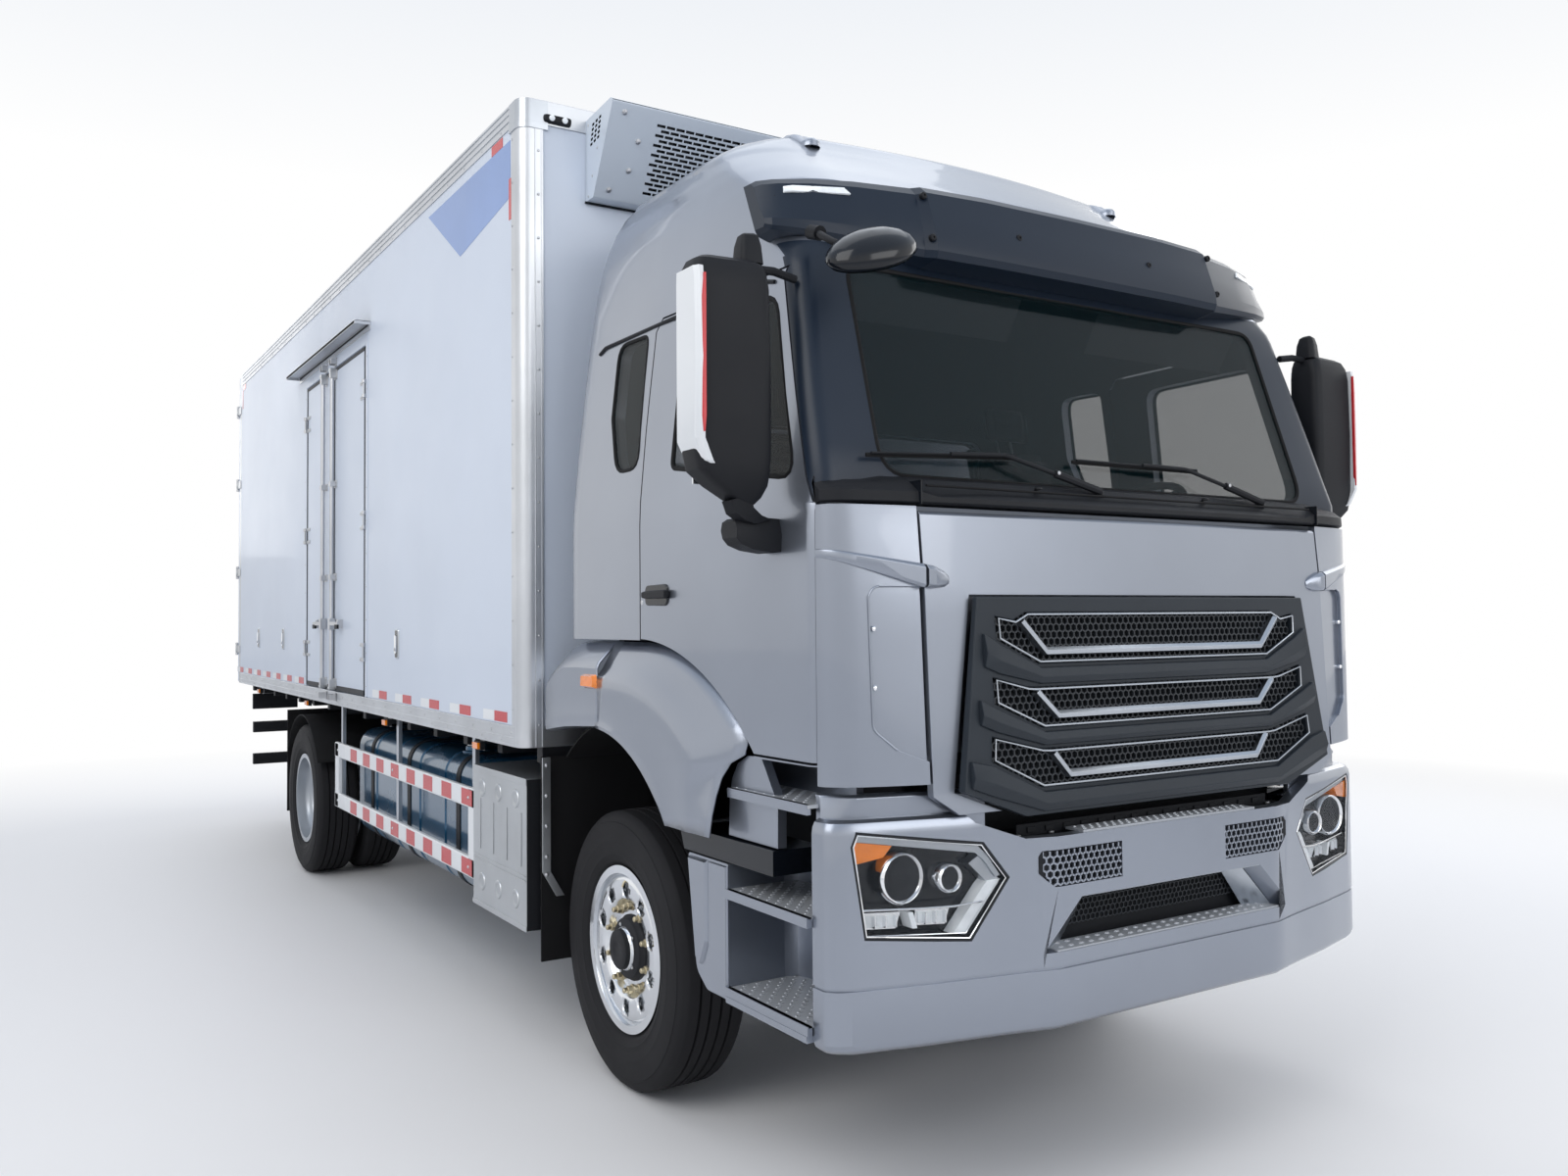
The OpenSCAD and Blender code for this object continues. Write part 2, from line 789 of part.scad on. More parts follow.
module cab_shell() {
    color("#a9b1bd") union() {
        difference() {
            cab_volume(0);
            cab_volume(cab_wall);
            block([-1040, -1110, 2650], [1040, 180, 2800]);
            both() side_skin(inset(door_side, -shut_gap), -1, cab_wall + shut_gap);
            both() block([post_outer_x, front_wall_y - 1, floor_low - 1],
                         [cab_half, door_front, glass_foot[1] - 81]);
            both() block([door_axis_x - 6, door_front - 12, floor_low], [cab_half, door_axis_y + 25, 2115]);
            both() along_x(inset(quarter_window, -seat_gap), 1000, 1300);
            along_y(inset(windscreen, -seat_gap), -1500, -1150);
            block([-820, cab_rear - cab_wall - 1, 2150], [820, cab_rear + 1, 2500]);
        }
        both() difference() {
            union() {
                block([post_inner_x, front_wall_y, floor_low], [post_outer_x, front_wall_y + cab_wall, 2013]);
                hinge_row(door_hinges) {
                    block([post_outer_x - 1, door_axis_y - 8, -30], [door_axis_x, door_axis_y + 8, 30]);
                    rod_z(door_barrel_r, -30, 30, door_axis_x, door_axis_y);
                }
            }
            rod_z(hinge_pin_r + run_gap, 1300, 2000, door_axis_x, door_axis_y);
        }
        for (x = [-lid_hinge_x, lid_hinge_x]) {
            translate([x, 0, 0]) lid_hinge_fixed();
        }
    }
}

module cab_windows() {
    color("#2a3a44", 0.6) {
        intersection() {
            along_y(windscreen, -1500, -1150);
            difference() {
                cab_volume(1);
                cab_volume(1 + glass_t);
            }
        }
        both() side_skin(quarter_window, 2, 2 + glass_t);
        block([-820 + seat_gap, cab_rear - 30, 2150 + seat_gap], [820 - seat_gap, cab_rear - 30 + glass_t, 2500 - seat_gap]);
    }
}

roof_low = glass_head[1];
roof_side = [[glass_head[0] - 19, roof_low - 60], [cab_rear, roof_low - 60], [cab_rear, roof_low],
    [230, 3080], [190, 3300], [110, cab_top - 5], [-700, cab_top], [-1128, 3040], [glass_head[0], roof_low]];
roof_half = [[cab_half - 80, roof_low - 60], [cab_half - 80, roof_low], [cab_half - 106, 2950],
    [cab_half - 140, 3120], [cab_half - 200, 3235], [cab_half - 300, cab_top - 45], [cab_half - 500, cab_top]];
roof_t = 40;

module roof_volume(d) {
    intersection() {
        along_x(inset(roof_side, d), -1400, 1400);
        along_y(inset(closed(roof_half), d), -2000, 600);
    }
}

module cab_roof() {
    color("#a9b1bd") difference() {
        roof_volume(0);
        roof_volume(roof_t);
        block([-1500, -2000, 2000], [1500, 1000, roof_low]);
    }
}

longeron_x0 = 335;
longeron_x1 = 400;

module cab_underframe() {
    color("#24272b") both() union() {
        along_x(concat([[-1190, 1200], [-900, 1300], [-600, rest_z + seat_gap], [cab_rear, rest_z + seat_gap],
                        [cab_rear, arch_top]], arc(arch_c, arch_r, 90, arch_end, 8), [[-1290, floor_low], [-1290, 1200]]),
                longeron_x0, longeron_x1);
        along_x([[pivot_y - 28, pivot_z - 28], [pivot_y + 25, pivot_z - 31], [-1215, 985], [-1190, 1040],
                 [-1190, floor_low], [-1290, floor_low], [-1290, 1065], [-1325, 1015], [pivot_y - 30, pivot_z + 26]],
                pivot_x0 - 52, pivot_x0 - 6);
        rod_x(pivot_hub, pivot_x0 - 52, pivot_x0 - 6, pivot_y, pivot_z);
        rod_x(pivot_r, pivot_x0 - 52, pivot_x1, pivot_y, pivot_z);
    }
}

visor_half = 1105;
visor_side = [[-1290, 2785], [-1180, 2766], [-1100, 3030], [-1212, 3027], [-1240, 3000], [-1283, 2845]];

module sun_visor() {
    color("#1c2430") difference() {
        union() {
            along_x(visor_side, -visor_half, visor_half);
            both() along_x([[-1270, 2800], [-1107, 2838], [-1022, 2990], [-1040, 3008], [-1225, 3008]],
                           visor_half - 20, visor_half + 42);
        }
        cab_volume(-seat_gap);
        roof_volume(-seat_gap);
    }
}

// A front corner panel with its upright air slot
module corner_panels() {
    color("#a9b1bd") both() difference() {
        along_z([[893, -1482], [1080, -1452], [1145, -1425], [cab_half - 35, -1385],
                 [cab_half - 35, front_wall_y], [893, front_wall_y]], 1240, 2005);
        block([893, -1500, 1290], [1050, -1440, 1780]);
        block([892, -1500, 1235], [1300, -1300, 1262]);
    }
}

fender_out = cab_half + 25;
opening_c = [0, 560];
opening_r = 750;
fender_low = 1035;
fender_tip = [490, 1260];
opening_a0 = 180 - asin((fender_low - opening_c[1]) / opening_r);
opening_a1 = asin((fender_tip[1] - opening_c[1]) / opening_r);
step_y0 = -1335;
step_z = 1185;

module fender() {
    union() {
        difference() {
            along_x(concat([[-870, fender_low]], arc(opening_c, opening_r, opening_a0, opening_a1, 14),
                           [fender_tip, [320, 1600], [cab_rear, arch_top - shut_gap]],
                           arc(arch_c, arch_r - shut_gap, 90, arch_end, 8), [[-905, step_z]]),
                    995, fender_out);
            block([900, -840, 900], [fender_out - 40, 440, 1150]);
            along_x(concat(arc(opening_c, opening_r - 1, 160, 20, 14)), 990, fender_out - 60);
        }
        block([1010, -280, arch_top - shut_gap - 1], [1120, 200, arch_top]);
        block([940, step_y0, step_z - 22], [cab_half - 30, -890, step_z]);
        block([940, step_y0, step_z - 22], [960, -890, floor_low]);
    }
}

module fenders() {
    color("#a9b1bd") both() fender();
}

module wiper_cowl() {
    color("#15171a") difference() {
        along_x([[-1503, 2013], [-1390, 2013], [-1390, 2096], [-1440, 2090], [-1500, 2034]], -1090, 1090);
        cab_volume(-seat_gap);
    }
}

dash_side = [[-1330, 1700], [-1040, 1700], [-960, 1860], [-985, 1990], [-1060, 2050], [-1330, 2078]];

module dashboard() {
    color("#2b2c2e") intersection() {
        along_x(dash_side, -1080, 1080);
        cab_volume(cab_wall + seat_gap);
    }
}

wheel_x = 620;
wheel_y = -880;
wheel_z = 2060;
wheel_tilt = 32;

wheel_r = 215;

module steering_wheel() {
    color("#1b1c1e") difference() {
        translate([wheel_x, wheel_y, wheel_z]) rotate([-wheel_tilt, 0, 0]) union() {
            rotate_extrude() translate([wheel_r, 0]) circle(r = 15);
            translate([0, 0, -35]) cylinder(r = 75, h = 40);
            for (a = [0, 180, 270]) {
                rotate([0, 0, a]) translate([0, -20, -16]) cube([wheel_r - 3, 40, 14]);
            }
            translate([0, 0, -260]) cylinder(r = 38, h = 230);
        }
        along_x(inset(dash_side, -seat_gap), 0, 1200);
    }
}

seat_x = 640;

module seat() {
    intersection() {
        union() {
            along_x([[-800, 1790], [-300, 1760], [-240, 1900], [-780, 1930]], -250, 250);
            along_x([[-330, 1880], [-230, 1880], [-130, 2400], [-210, 2410]], -240, 240);
            along_x([[-225, 2420], [-135, 2410], [-115, 2600], [-195, 2610]], -140, 140);
            along_x([[-190, 2380], [-150, 2380], [-140, 2430], [-180, 2430]], -60, 60);
            block([-200, -720, 1400], [200, -320, 1800]);
        }
        translate([-seat_x, 0, 0]) cab_volume(cab_wall + seat_gap);
    }
}

module seats() {
    color("#26282b") both() translate([seat_x, 0, 0]) seat();
}

// The kerb mirror hangs from the visor, at the near front corner
kerb_x = -985;

module kerb_mirror() {
    color("#15171a") difference() {
        union() {
            translate([kerb_x, -1465, 2725]) rotate([-25, 0, 0]) cylinder(r = 118, h = 45, center = true);
            along_x([[-1500, 2730], [-1250, 2850], [-1250, 2890], [-1500, 2760]], kerb_x + 60, kerb_x + 100);
        }
        along_x(inset(visor_side, -seat_gap), -visor_half - 1, visor_half + 1);
    }
}

// ---- front panel and grille ----

lid_half = 885;
lid_top = 1995;
lid_axis_y = -1478;
lid_axis_z = 1983;
lid_hinge_x = 520;
lid_front = [[-1552, 1150], [-1546, 1216], [-1520, 1751], [-1497, lid_top]];
lid_t = 42;

module lid_hinge_fixed() {
    difference() {
        union() {
            block([-25, lid_axis_y, lid_axis_z - 8], [25, front_wall_y + 1, lid_axis_z + 4]);
            rod_x(9, -25, 25, lid_axis_y, lid_axis_z);
        }
        rod_x(5 + run_gap, -26, 26, lid_axis_y, lid_axis_z);
    }
}

module front_panel() {
    color("#a9b1bd") union() {
        difference() {
            along_x(concat([[lid_front[0][0] + lid_t, lid_front[0][1]], [lid_front[2][0] + lid_t, 1751],
                            [lid_front[3][0] + lid_t, lid_top]], [lid_front[3], lid_front[2], lid_front[1], lid_front[0]]),
                    -lid_half, lid_half);
            for (x = [-lid_hinge_x, lid_hinge_x]) {
                block([x - 26, lid_axis_y - 11, 1950], [x + 26, -1400, 2010]);
            }
            along_y(grille_outline(-60), -1600, -1450);
        }
        for (x = [-lid_hinge_x, lid_hinge_x]) {
            rod_x(5, x - 40, x + 40, lid_axis_y, lid_axis_z);
        }
    }
}

// The grille's outline, grown by g
function grille_outline(g) = [[-120, 1150 - g], [120, 1150 - g], [808 + g, 1216 - g], [728 + g, 1751 + g],
                              [-728 - g, 1751 + g], [-808 - g, 1216 - g]];

module grille() {
    color("#2c3036") difference() {
        intersection() {
            along_y(grille_outline(0), -1700, -1400);
            along_x([[-1590, 1150], [-1552.3, 1150], [-1546.3, 1216], [-1520.3, 1751], [-1555, 1751], [-1588, 1216]],
                    -820, 820);
        }
        for (z = [1270, 1420, 1570]) {
            block([-620, -1700, z], [620, -1565, z + 60]);
        }
    }
}

// ---- cab doors ----

module door_panel() {
    union() {
        difference() {
            side_skin(door_side, 0, cab_wall);
            along_x(inset(door_window, -seat_gap), 1000, 1300);
            hinge_row(door_hinges) block([1030, -1400, -31], [cab_half, door_axis_y + 25, 31]);
        }
        hinge_row(door_hinges) rod_z(hinge_pin_r, -40, 40, door_axis_x, door_axis_y);
    }
}

module door_glass() {
    side_skin(door_window, 10, 10 + glass_t);
}

module mirror_arm() {
    difference() {
        union() {
            along_z(rounded(1222, -1275, 1470, -1150, 45, 5), 2020, 2700);
            block([1240, -1235, 2690], [1300, -1175, 2775]);
            block([1150, -1205, 1885], [1310, -1125, 1965]);
            block([1250, -1235, 1900], [1310, -1165, 2030]);
            rod_x(14, 1100, 1250, -1195, 2680);
        }
        cab_volume(-0.2);
    }
}

module door_left() {
    color("#a9b1bd") door_panel();
}

module door_glass_left() {
    color("#2a3a44", 0.6) door_glass();
}

module mirror_left() {
    color("#15171a") mirror_arm();
}

module door_right() {
    color("#a9b1bd") mirror([1, 0, 0]) door_panel();
}

module door_glass_right() {
    color("#2a3a44", 0.6) mirror([1, 0, 0]) door_glass();
}

module mirror_right() {
    color("#15171a") mirror([1, 0, 0]) mirror_arm();
}

// ---- knuckles and wheels ----

spindle_r = 38;
front_tyre_x = front_track / 2;
spindle_end = front_tyre_x + 60;
knuckle_plate = 53;
ear_gap = 2;

module knuckle() {
    union() {
        rod_z(kingpin_r, axle_z - boss_h / 2 - ear_gap - 30, axle_z + boss_h / 2 + ear_gap + 30, kingpin_x, 0);
        for (s = [0, 1]) {
            translate([0, 0, axle_z]) mirror([0, 0, s]) {
                rod_z(boss_r - 5, boss_h / 2 + ear_gap, boss_h / 2 + ear_gap + 30, kingpin_x, 0);
                block([kingpin_x, -38, boss_h / 2 + ear_gap],
                      [kingpin_x + knuckle_plate + 10, 38, boss_h / 2 + ear_gap + 30]);
            }
        }
        block([kingpin_x + knuckle_plate, -70, axle_z - 87], [kingpin_x + knuckle_plate + 20, 70, axle_z + 87]);
        rod_x(spindle_r, kingpin_x + knuckle_plate + 10, spindle_end, 0, axle_z);
    }
}

module knuckle_left() {
    color("#303338") knuckle();
}

module knuckle_right() {
    color("#303338") mirror([1, 0, 0]) knuckle();
}

// A solid of revolution about the X axis, from an outline of [radius, x] points
module turned(points) {
    rotate([0, 90, 0]) rotate_extrude($fn = 96) polygon(points);
}

bead_r = 284;

module tyre() {
    half = tyre_w / 2;
    turned([[bead_r, -104], [rim_r + 1, -104.5], [rim_r + 14, -half + 18], [395, -half], [455, -half + 6],
            [482, -half + 20], [tyre_r, -half + 38], [tyre_r, half - 38], [482, half - 20],
            [455, half - 6], [395, half], [rim_r + 14, half - 18], [rim_r + 1, 104.5], [bead_r, 104]]);
}

// Rim barrel with its two flanges
module rim_barrel() {
    turned([[bead_r - seat_gap, -104], [bead_r - seat_gap, 104], [rim_r - 14, 106], [rim_r, 108], [rim_r, 116],
            [bead_r - 14, 116], [bead_r - 20, 40], [bead_r - 45, 20], [bead_r - 45, -60], [bead_r - 20, -80],
            [bead_r - 14, -116], [rim_r, -116], [rim_r, -108], [rim_r - 14, -106]]);
}

// The ring of hand holes in a disc between two planes
module hand_holes(x0, x1) {
    for (i = [0:9]) {
        rotate([36 * i, 0, 0]) translate([x0, 0, 208]) rotate([0, 90, 0]) cylinder(r = 26, h = x1 - x0);
    }
}

front_hub_r = 80;

module front_rim() {
    difference() {
        union() {
            rim_barrel();
            turned([[60, 62], [165, 62], [185, 92], [240, 96], [252, 60], [272, 60], [264, 96], [250, 108],
                    [180, 106], [158, 78], [60, 78]]);
            turned([[spindle_r + run_gap, -30], [front_hub_r, -30], [front_hub_r, 112], [60, 135], [0, 135],
                    [0, 118], [spindle_r + run_gap, 118]]);
            turned([[front_hub_r - 1, 0], [205, 0], [205, -105], [190, -105], [190, -14], [front_hub_r - 1, -14]]);
        }
        hand_holes(80, 120);
    }
}

module front_rim_left() {
    color("#c9ced6") translate([front_tyre_x, 0, axle_z]) front_rim();
}

module front_rim_right() {
    color("#c9ced6") mirror([1, 0, 0]) translate([front_tyre_x, 0, axle_z]) front_rim();
}

module front_tyre_left() {
    color("#17181a") translate([front_tyre_x, 0, axle_z]) tyre();
}

module front_tyre_right() {
    color("#17181a") mirror([1, 0, 0]) translate([front_tyre_x, 0, axle_z]) tyre();
}

// One rim of a pair, its disc dished inwards to the plane between the twins
module rear_rim() {
    disc = twin_gap / 2;
    difference() {
        union() {
            rim_barrel();
            turned([[100, -disc], [180, -disc], [232, -disc + 60], [242, -60], [250, -60], [252, -40], [236, -40],
                    [222, -disc + 66], [174, -disc + 12], [100, -disc + 12]]);
        }
        hand_holes(-disc - 1, -60);
    }
}

module rear_rims() {
    union() {
        translate([rear_outer, 0, 0]) rear_rim();
        translate([rear_inner, 0, 0]) mirror([1, 0, 0]) rear_rim();
        turned([[rear_spindle_r + run_gap, rear_inner - 90], [110, rear_inner - 90], [110, rear_spindle_end + 20],
                [90, rear_spindle_end + 60], [0, rear_spindle_end + 60], [0, rear_spindle_end + 10],
                [rear_spindle_r + run_gap, rear_spindle_end + 10]]);
        turned([[109, rear_inner + 20], [205, rear_inner + 20], [205, rear_inner - 100], [190, rear_inner - 100],
                [190, rear_inner + 6], [109, rear_inner + 6]]);
    }
}

module rear_rims_left() {
    color("#aeb3b9") translate([0, wheelbase, axle_z]) rear_rims();
}

module rear_rims_right() {
    color("#aeb3b9") mirror([1, 0, 0]) translate([0, wheelbase, axle_z]) rear_rims();
}

module rear_tyres() {
    for (x = [rear_inner, rear_outer]) {
        translate([x, wheelbase, axle_z]) tyre();
    }
}

module rear_tyres_left() {
    color("#17181a") rear_tyres();
}

module rear_tyres_right() {
    color("#17181a") mirror([1, 0, 0]) rear_tyres();
}

placed() chassis_frame();
placed() tow_lug();
placed() box_subframe();
placed() front_axle();
placed() rear_axle();
placed() leaf_springs();
placed() engine();
placed() fuel_tank();
placed() battery_box();
placed() air_tanks();
placed() silencer();
placed() side_guards();
placed() mud_flaps();
placed() underrun_guard();
placed() rear_lamps();
placed() bumper();
placed() headlamps();
placed() lower_steps();
placed() box_floor();
placed() box_front_wall();
placed() box_side_walls();
placed() box_roof();
placed() box_rear_frame();
placed() box_rails();
placed() cooling_unit();
placed() side_door_front();
placed() side_door_rear();
placed() rear_door_left();
placed() rear_door_right();
placed() cab_shell();
placed() cab_roof();
placed() cab_underframe();
placed() cab_windows();
placed() sun_visor();
placed() corner_panels();
placed() fenders();
placed() wiper_cowl();
placed() dashboard();
placed() steering_wheel();
placed() seats();
placed() kerb_mirror();
placed() front_panel();
placed() grille();
placed() door_left();
placed() door_glass_left();
placed() mirror_left();
placed() door_right();
placed() door_glass_right();
placed() mirror_right();
placed() knuckle_left();
placed() knuckle_right();
placed() front_rim_left();
placed() front_tyre_left();
placed() front_rim_right();
placed() front_tyre_right();
placed() rear_rims_left();
placed() rear_tyres_left();
placed() rear_rims_right();
placed() rear_tyres_right();
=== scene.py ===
"""Refrigerated truck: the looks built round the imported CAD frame.

Lengths are in millimetres in the truck's own frame: y = 0 at the front axle, z = 0 on the ground, the
truck faces -Y and +X is its left side. place() turns them into metres in the row frame.
"""
import math

import bmesh
import bpy
import json
from mathutils import Matrix, Vector

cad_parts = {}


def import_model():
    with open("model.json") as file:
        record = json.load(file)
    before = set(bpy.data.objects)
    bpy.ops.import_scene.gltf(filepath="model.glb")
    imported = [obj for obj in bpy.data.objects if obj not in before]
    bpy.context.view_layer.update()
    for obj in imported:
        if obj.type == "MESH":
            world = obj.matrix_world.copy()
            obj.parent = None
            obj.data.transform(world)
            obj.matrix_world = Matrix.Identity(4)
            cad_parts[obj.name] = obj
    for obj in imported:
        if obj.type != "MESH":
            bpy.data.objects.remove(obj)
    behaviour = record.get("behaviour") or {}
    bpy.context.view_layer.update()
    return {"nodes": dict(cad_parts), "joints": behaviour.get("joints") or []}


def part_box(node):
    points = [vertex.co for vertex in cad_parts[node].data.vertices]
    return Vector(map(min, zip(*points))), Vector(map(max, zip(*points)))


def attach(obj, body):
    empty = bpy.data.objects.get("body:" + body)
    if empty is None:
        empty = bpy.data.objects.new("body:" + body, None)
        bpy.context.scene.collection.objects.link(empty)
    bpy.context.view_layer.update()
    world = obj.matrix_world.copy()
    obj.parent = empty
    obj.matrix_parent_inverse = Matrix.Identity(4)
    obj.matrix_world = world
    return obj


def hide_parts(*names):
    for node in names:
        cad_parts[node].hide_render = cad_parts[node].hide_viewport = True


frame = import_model()
JOINTS = {j["name"]: j for j in frame["joints"]}
AXLE_Y = JOINTS["steer"]["pos_m"][1]
AXLE_Z = JOINTS["steer"]["pos_m"][2] * 1000
REAR_AXLE = (JOINTS["rear_wheels_left_spin"]["pos_m"][1] - AXLE_Y) * 1000
scene = bpy.context.scene


def place(p):
    """A point in millimetres in the truck's frame, as metres in the row frame."""
    return Vector((p[0] / 1000, p[1] / 1000 + AXLE_Y, p[2] / 1000))


def span(node):
    """Lowest and highest corner of a CAD node, in millimetres in the truck's frame."""
    low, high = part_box(node)
    off = Vector((0, AXLE_Y, 0))
    return (low - off) * 1000, (high - off) * 1000


# ---------------------------------------------------------------- materials

def node_tree(name):
    """A new material with its node tree, its Principled shader and a helper that adds nodes."""
    m = bpy.data.materials.new(name)
    m.use_nodes = True
    t = m.node_tree
    bsdf = t.nodes["Principled BSDF"]

    def add(kind, **values):
        n = t.nodes.new(kind)
        for k, v in values.items():
            if k in n.inputs:
                n.inputs[k].default_value = v
            else:
                setattr(n, k, v)
        return n

    return m, t, bsdf, add


def noise_colour(t, add, bsdf, base, spread, scale):
    """Base colour with a soft variation; returns the node that gives the object's coordinates."""
    coord = add("ShaderNodeTexCoord")
    noise = add("ShaderNodeTexNoise", Scale=scale, Detail=4.0)
    ramp = add("ShaderNodeValToRGB")
    lo = [max(0, c * (1 - spread)) for c in base[:3]] + [1]
    hi = [min(1, c * (1 + spread)) for c in base[:3]] + [1]
    for stop, position, colour in zip(ramp.color_ramp.elements, (0.3, 0.7), (lo, hi)):
        stop.position, stop.color = position, colour
    t.links.new(coord.outputs["Object"], noise.inputs["Vector"])
    t.links.new(noise.outputs["Fac"], ramp.inputs["Fac"])
    t.links.new(ramp.outputs["Color"], bsdf.inputs["Base Color"])
    return coord


def add_bump(t, add, bsdf, height, strength, distance=0.001):
    """A bump in the normal from a height."""
    bump = add("ShaderNodeBump", Strength=strength, Distance=distance)
    t.links.new(height, bump.inputs["Height"])
    t.links.new(bump.outputs["Normal"], bsdf.inputs["Normal"])


def rough_range(t, add, bsdf, value, low, high):
    """Roughness between two limits, from a value between 0 and 1."""
    limits = add("ShaderNodeMapRange")
    limits.inputs["To Min"].default_value = low
    limits.inputs["To Max"].default_value = high
    t.links.new(value, limits.inputs["Value"])
    t.links.new(limits.outputs["Result"], bsdf.inputs["Roughness"])


def rough_noise(t, add, bsdf, coord, low, high, scale):
    """Roughness that wanders between two values, as dust and handling leave it."""
    noise = add("ShaderNodeTexNoise", Scale=scale, Detail=5.0)
    t.links.new(coord.outputs["Object"], noise.inputs["Vector"])
    rough_range(t, add, bsdf, noise.outputs["Fac"], low, high)


def metallic_paint(name, base, metal=0.75, rough=(0.24, 0.34), coat=0.8):
    """Metallic paint: fine flakes in the normal, under a clear coat."""
    m, t, bsdf, add = node_tree(name)
    coord = noise_colour(t, add, bsdf, base, 0.05, 1.6)
    rough_noise(t, add, bsdf, coord, *rough, 3.0)
    flakes = add("ShaderNodeTexVoronoi", Scale=900.0)
    t.links.new(coord.outputs["Object"], flakes.inputs["Vector"])
    add_bump(t, add, bsdf, flakes.outputs["Distance"], 0.05, 0.0006)
    bsdf.inputs["Metallic"].default_value = metal
    bsdf.inputs["Coat Weight"].default_value = coat
    bsdf.inputs["Coat Roughness"].default_value = 0.05
    return m


def solid_paint(name, base, rough=(0.25, 0.4), coat=0.3, spread=0.03, grain=60.0, bump=0.02, gloss=0.5):
    """Solid paint or a gel-coated panel, slightly uneven."""
    m, t, bsdf, add = node_tree(name)
    coord = noise_colour(t, add, bsdf, base, spread, 1.1)
    rough_noise(t, add, bsdf, coord, *rough, 4.0)
    fine = add("ShaderNodeTexNoise", Scale=grain, Detail=3.0)
    t.links.new(coord.outputs["Object"], fine.inputs["Vector"])
    add_bump(t, add, bsdf, fine.outputs["Fac"], bump, 0.002)
    bsdf.inputs["Specular IOR Level"].default_value = gloss
    bsdf.inputs["Coat Weight"].default_value = coat
    bsdf.inputs["Coat Roughness"].default_value = 0.08
    return m


def plastic(name, base, rough=(0.45, 0.6), grain=700.0, bump=0.25, gloss=0.35):
    """Moulded plastic with a fine grain."""
    m, t, bsdf, add = node_tree(name)
    coord = noise_colour(t, add, bsdf, base, 0.12, 2.0)
    rough_noise(t, add, bsdf, coord, *rough, 6.0)
    fine = add("ShaderNodeTexVoronoi", Scale=grain)
    t.links.new(coord.outputs["Object"], fine.inputs["Vector"])
    add_bump(t, add, bsdf, fine.outputs["Distance"], bump, 0.0008)
    bsdf.inputs["Specular IOR Level"].default_value = gloss
    return m


def metal(name, base, rough=(0.25, 0.4), streak=(1.0, 1.0, 60.0), bump=0.04):
    """Brushed or cast metal, with its streaks along one axis."""
    m, t, bsdf, add = node_tree(name)
    coord = noise_colour(t, add, bsdf, base, 0.08, 3.0)
    stretch = add("ShaderNodeMapping")
    stretch.inputs["Scale"].default_value = streak
    lines = add("ShaderNodeTexNoise", Scale=12.0, Detail=6.0)
    t.links.new(coord.outputs["Object"], stretch.inputs["Vector"])
    t.links.new(stretch.outputs["Vector"], lines.inputs["Vector"])
    rough_range(t, add, bsdf, lines.outputs["Fac"], *rough)
    add_bump(t, add, bsdf, lines.outputs["Fac"], bump, 0.001)
    bsdf.inputs["Metallic"].default_value = 1.0
    return m


def glass(name, tint, alpha, gloss=0.4):
    """Thin tinted glass, kept light to render: part clear, part glossy."""
    m, t, bsdf, add = node_tree(name)
    noise_colour(t, add, bsdf, tint, 0.05, 1.0)
    bsdf.inputs["Roughness"].default_value = 0.02
    bsdf.inputs["Alpha"].default_value = alpha
    bsdf.inputs["Specular IOR Level"].default_value = gloss
    bsdf.inputs["IOR"].default_value = 1.5
    return m


def lens(name, tint, glow=0.0):
    """A coloured lamp lens with moulded cells."""
    m, t, bsdf, add = node_tree(name)
    coord = noise_colour(t, add, bsdf, tint, 0.15, 20.0)
    cell = add("ShaderNodeTexVoronoi", Scale=110.0)
    t.links.new(coord.outputs["Object"], cell.inputs["Vector"])
    add_bump(t, add, bsdf, cell.outputs["Distance"], 0.3, 0.002)
    bsdf.inputs["Roughness"].default_value = 0.08
    bsdf.inputs["Coat Weight"].default_value = 1.0
    if glow:
        bsdf.inputs["Emission Color"].default_value = (*tint[:3], 1)
        bsdf.inputs["Emission Strength"].default_value = glow
    return m


def fabric(name, base):
    """Woven seat cloth: two crossed waves for the threads, with sheen."""
    m, t, bsdf, add = node_tree(name)
    coord = noise_colour(t, add, bsdf, base, 0.3, 40.0)
    warp = add("ShaderNodeTexWave", Scale=160.0, Distortion=1.0)
    weft = add("ShaderNodeTexWave", Scale=160.0, Distortion=1.0, bands_direction="Z")
    both_ways = add("ShaderNodeMath", operation="MULTIPLY")
    for n in (warp, weft):
        t.links.new(coord.outputs["Object"], n.inputs["Vector"])
    t.links.new(warp.outputs["Fac"], both_ways.inputs[0])
    t.links.new(weft.outputs["Fac"], both_ways.inputs[1])
    add_bump(t, add, bsdf, both_ways.outputs["Value"], 0.5, 0.001)
    bsdf.inputs["Roughness"].default_value = 0.85
    bsdf.inputs["Sheen Weight"].default_value = 0.3
    return m


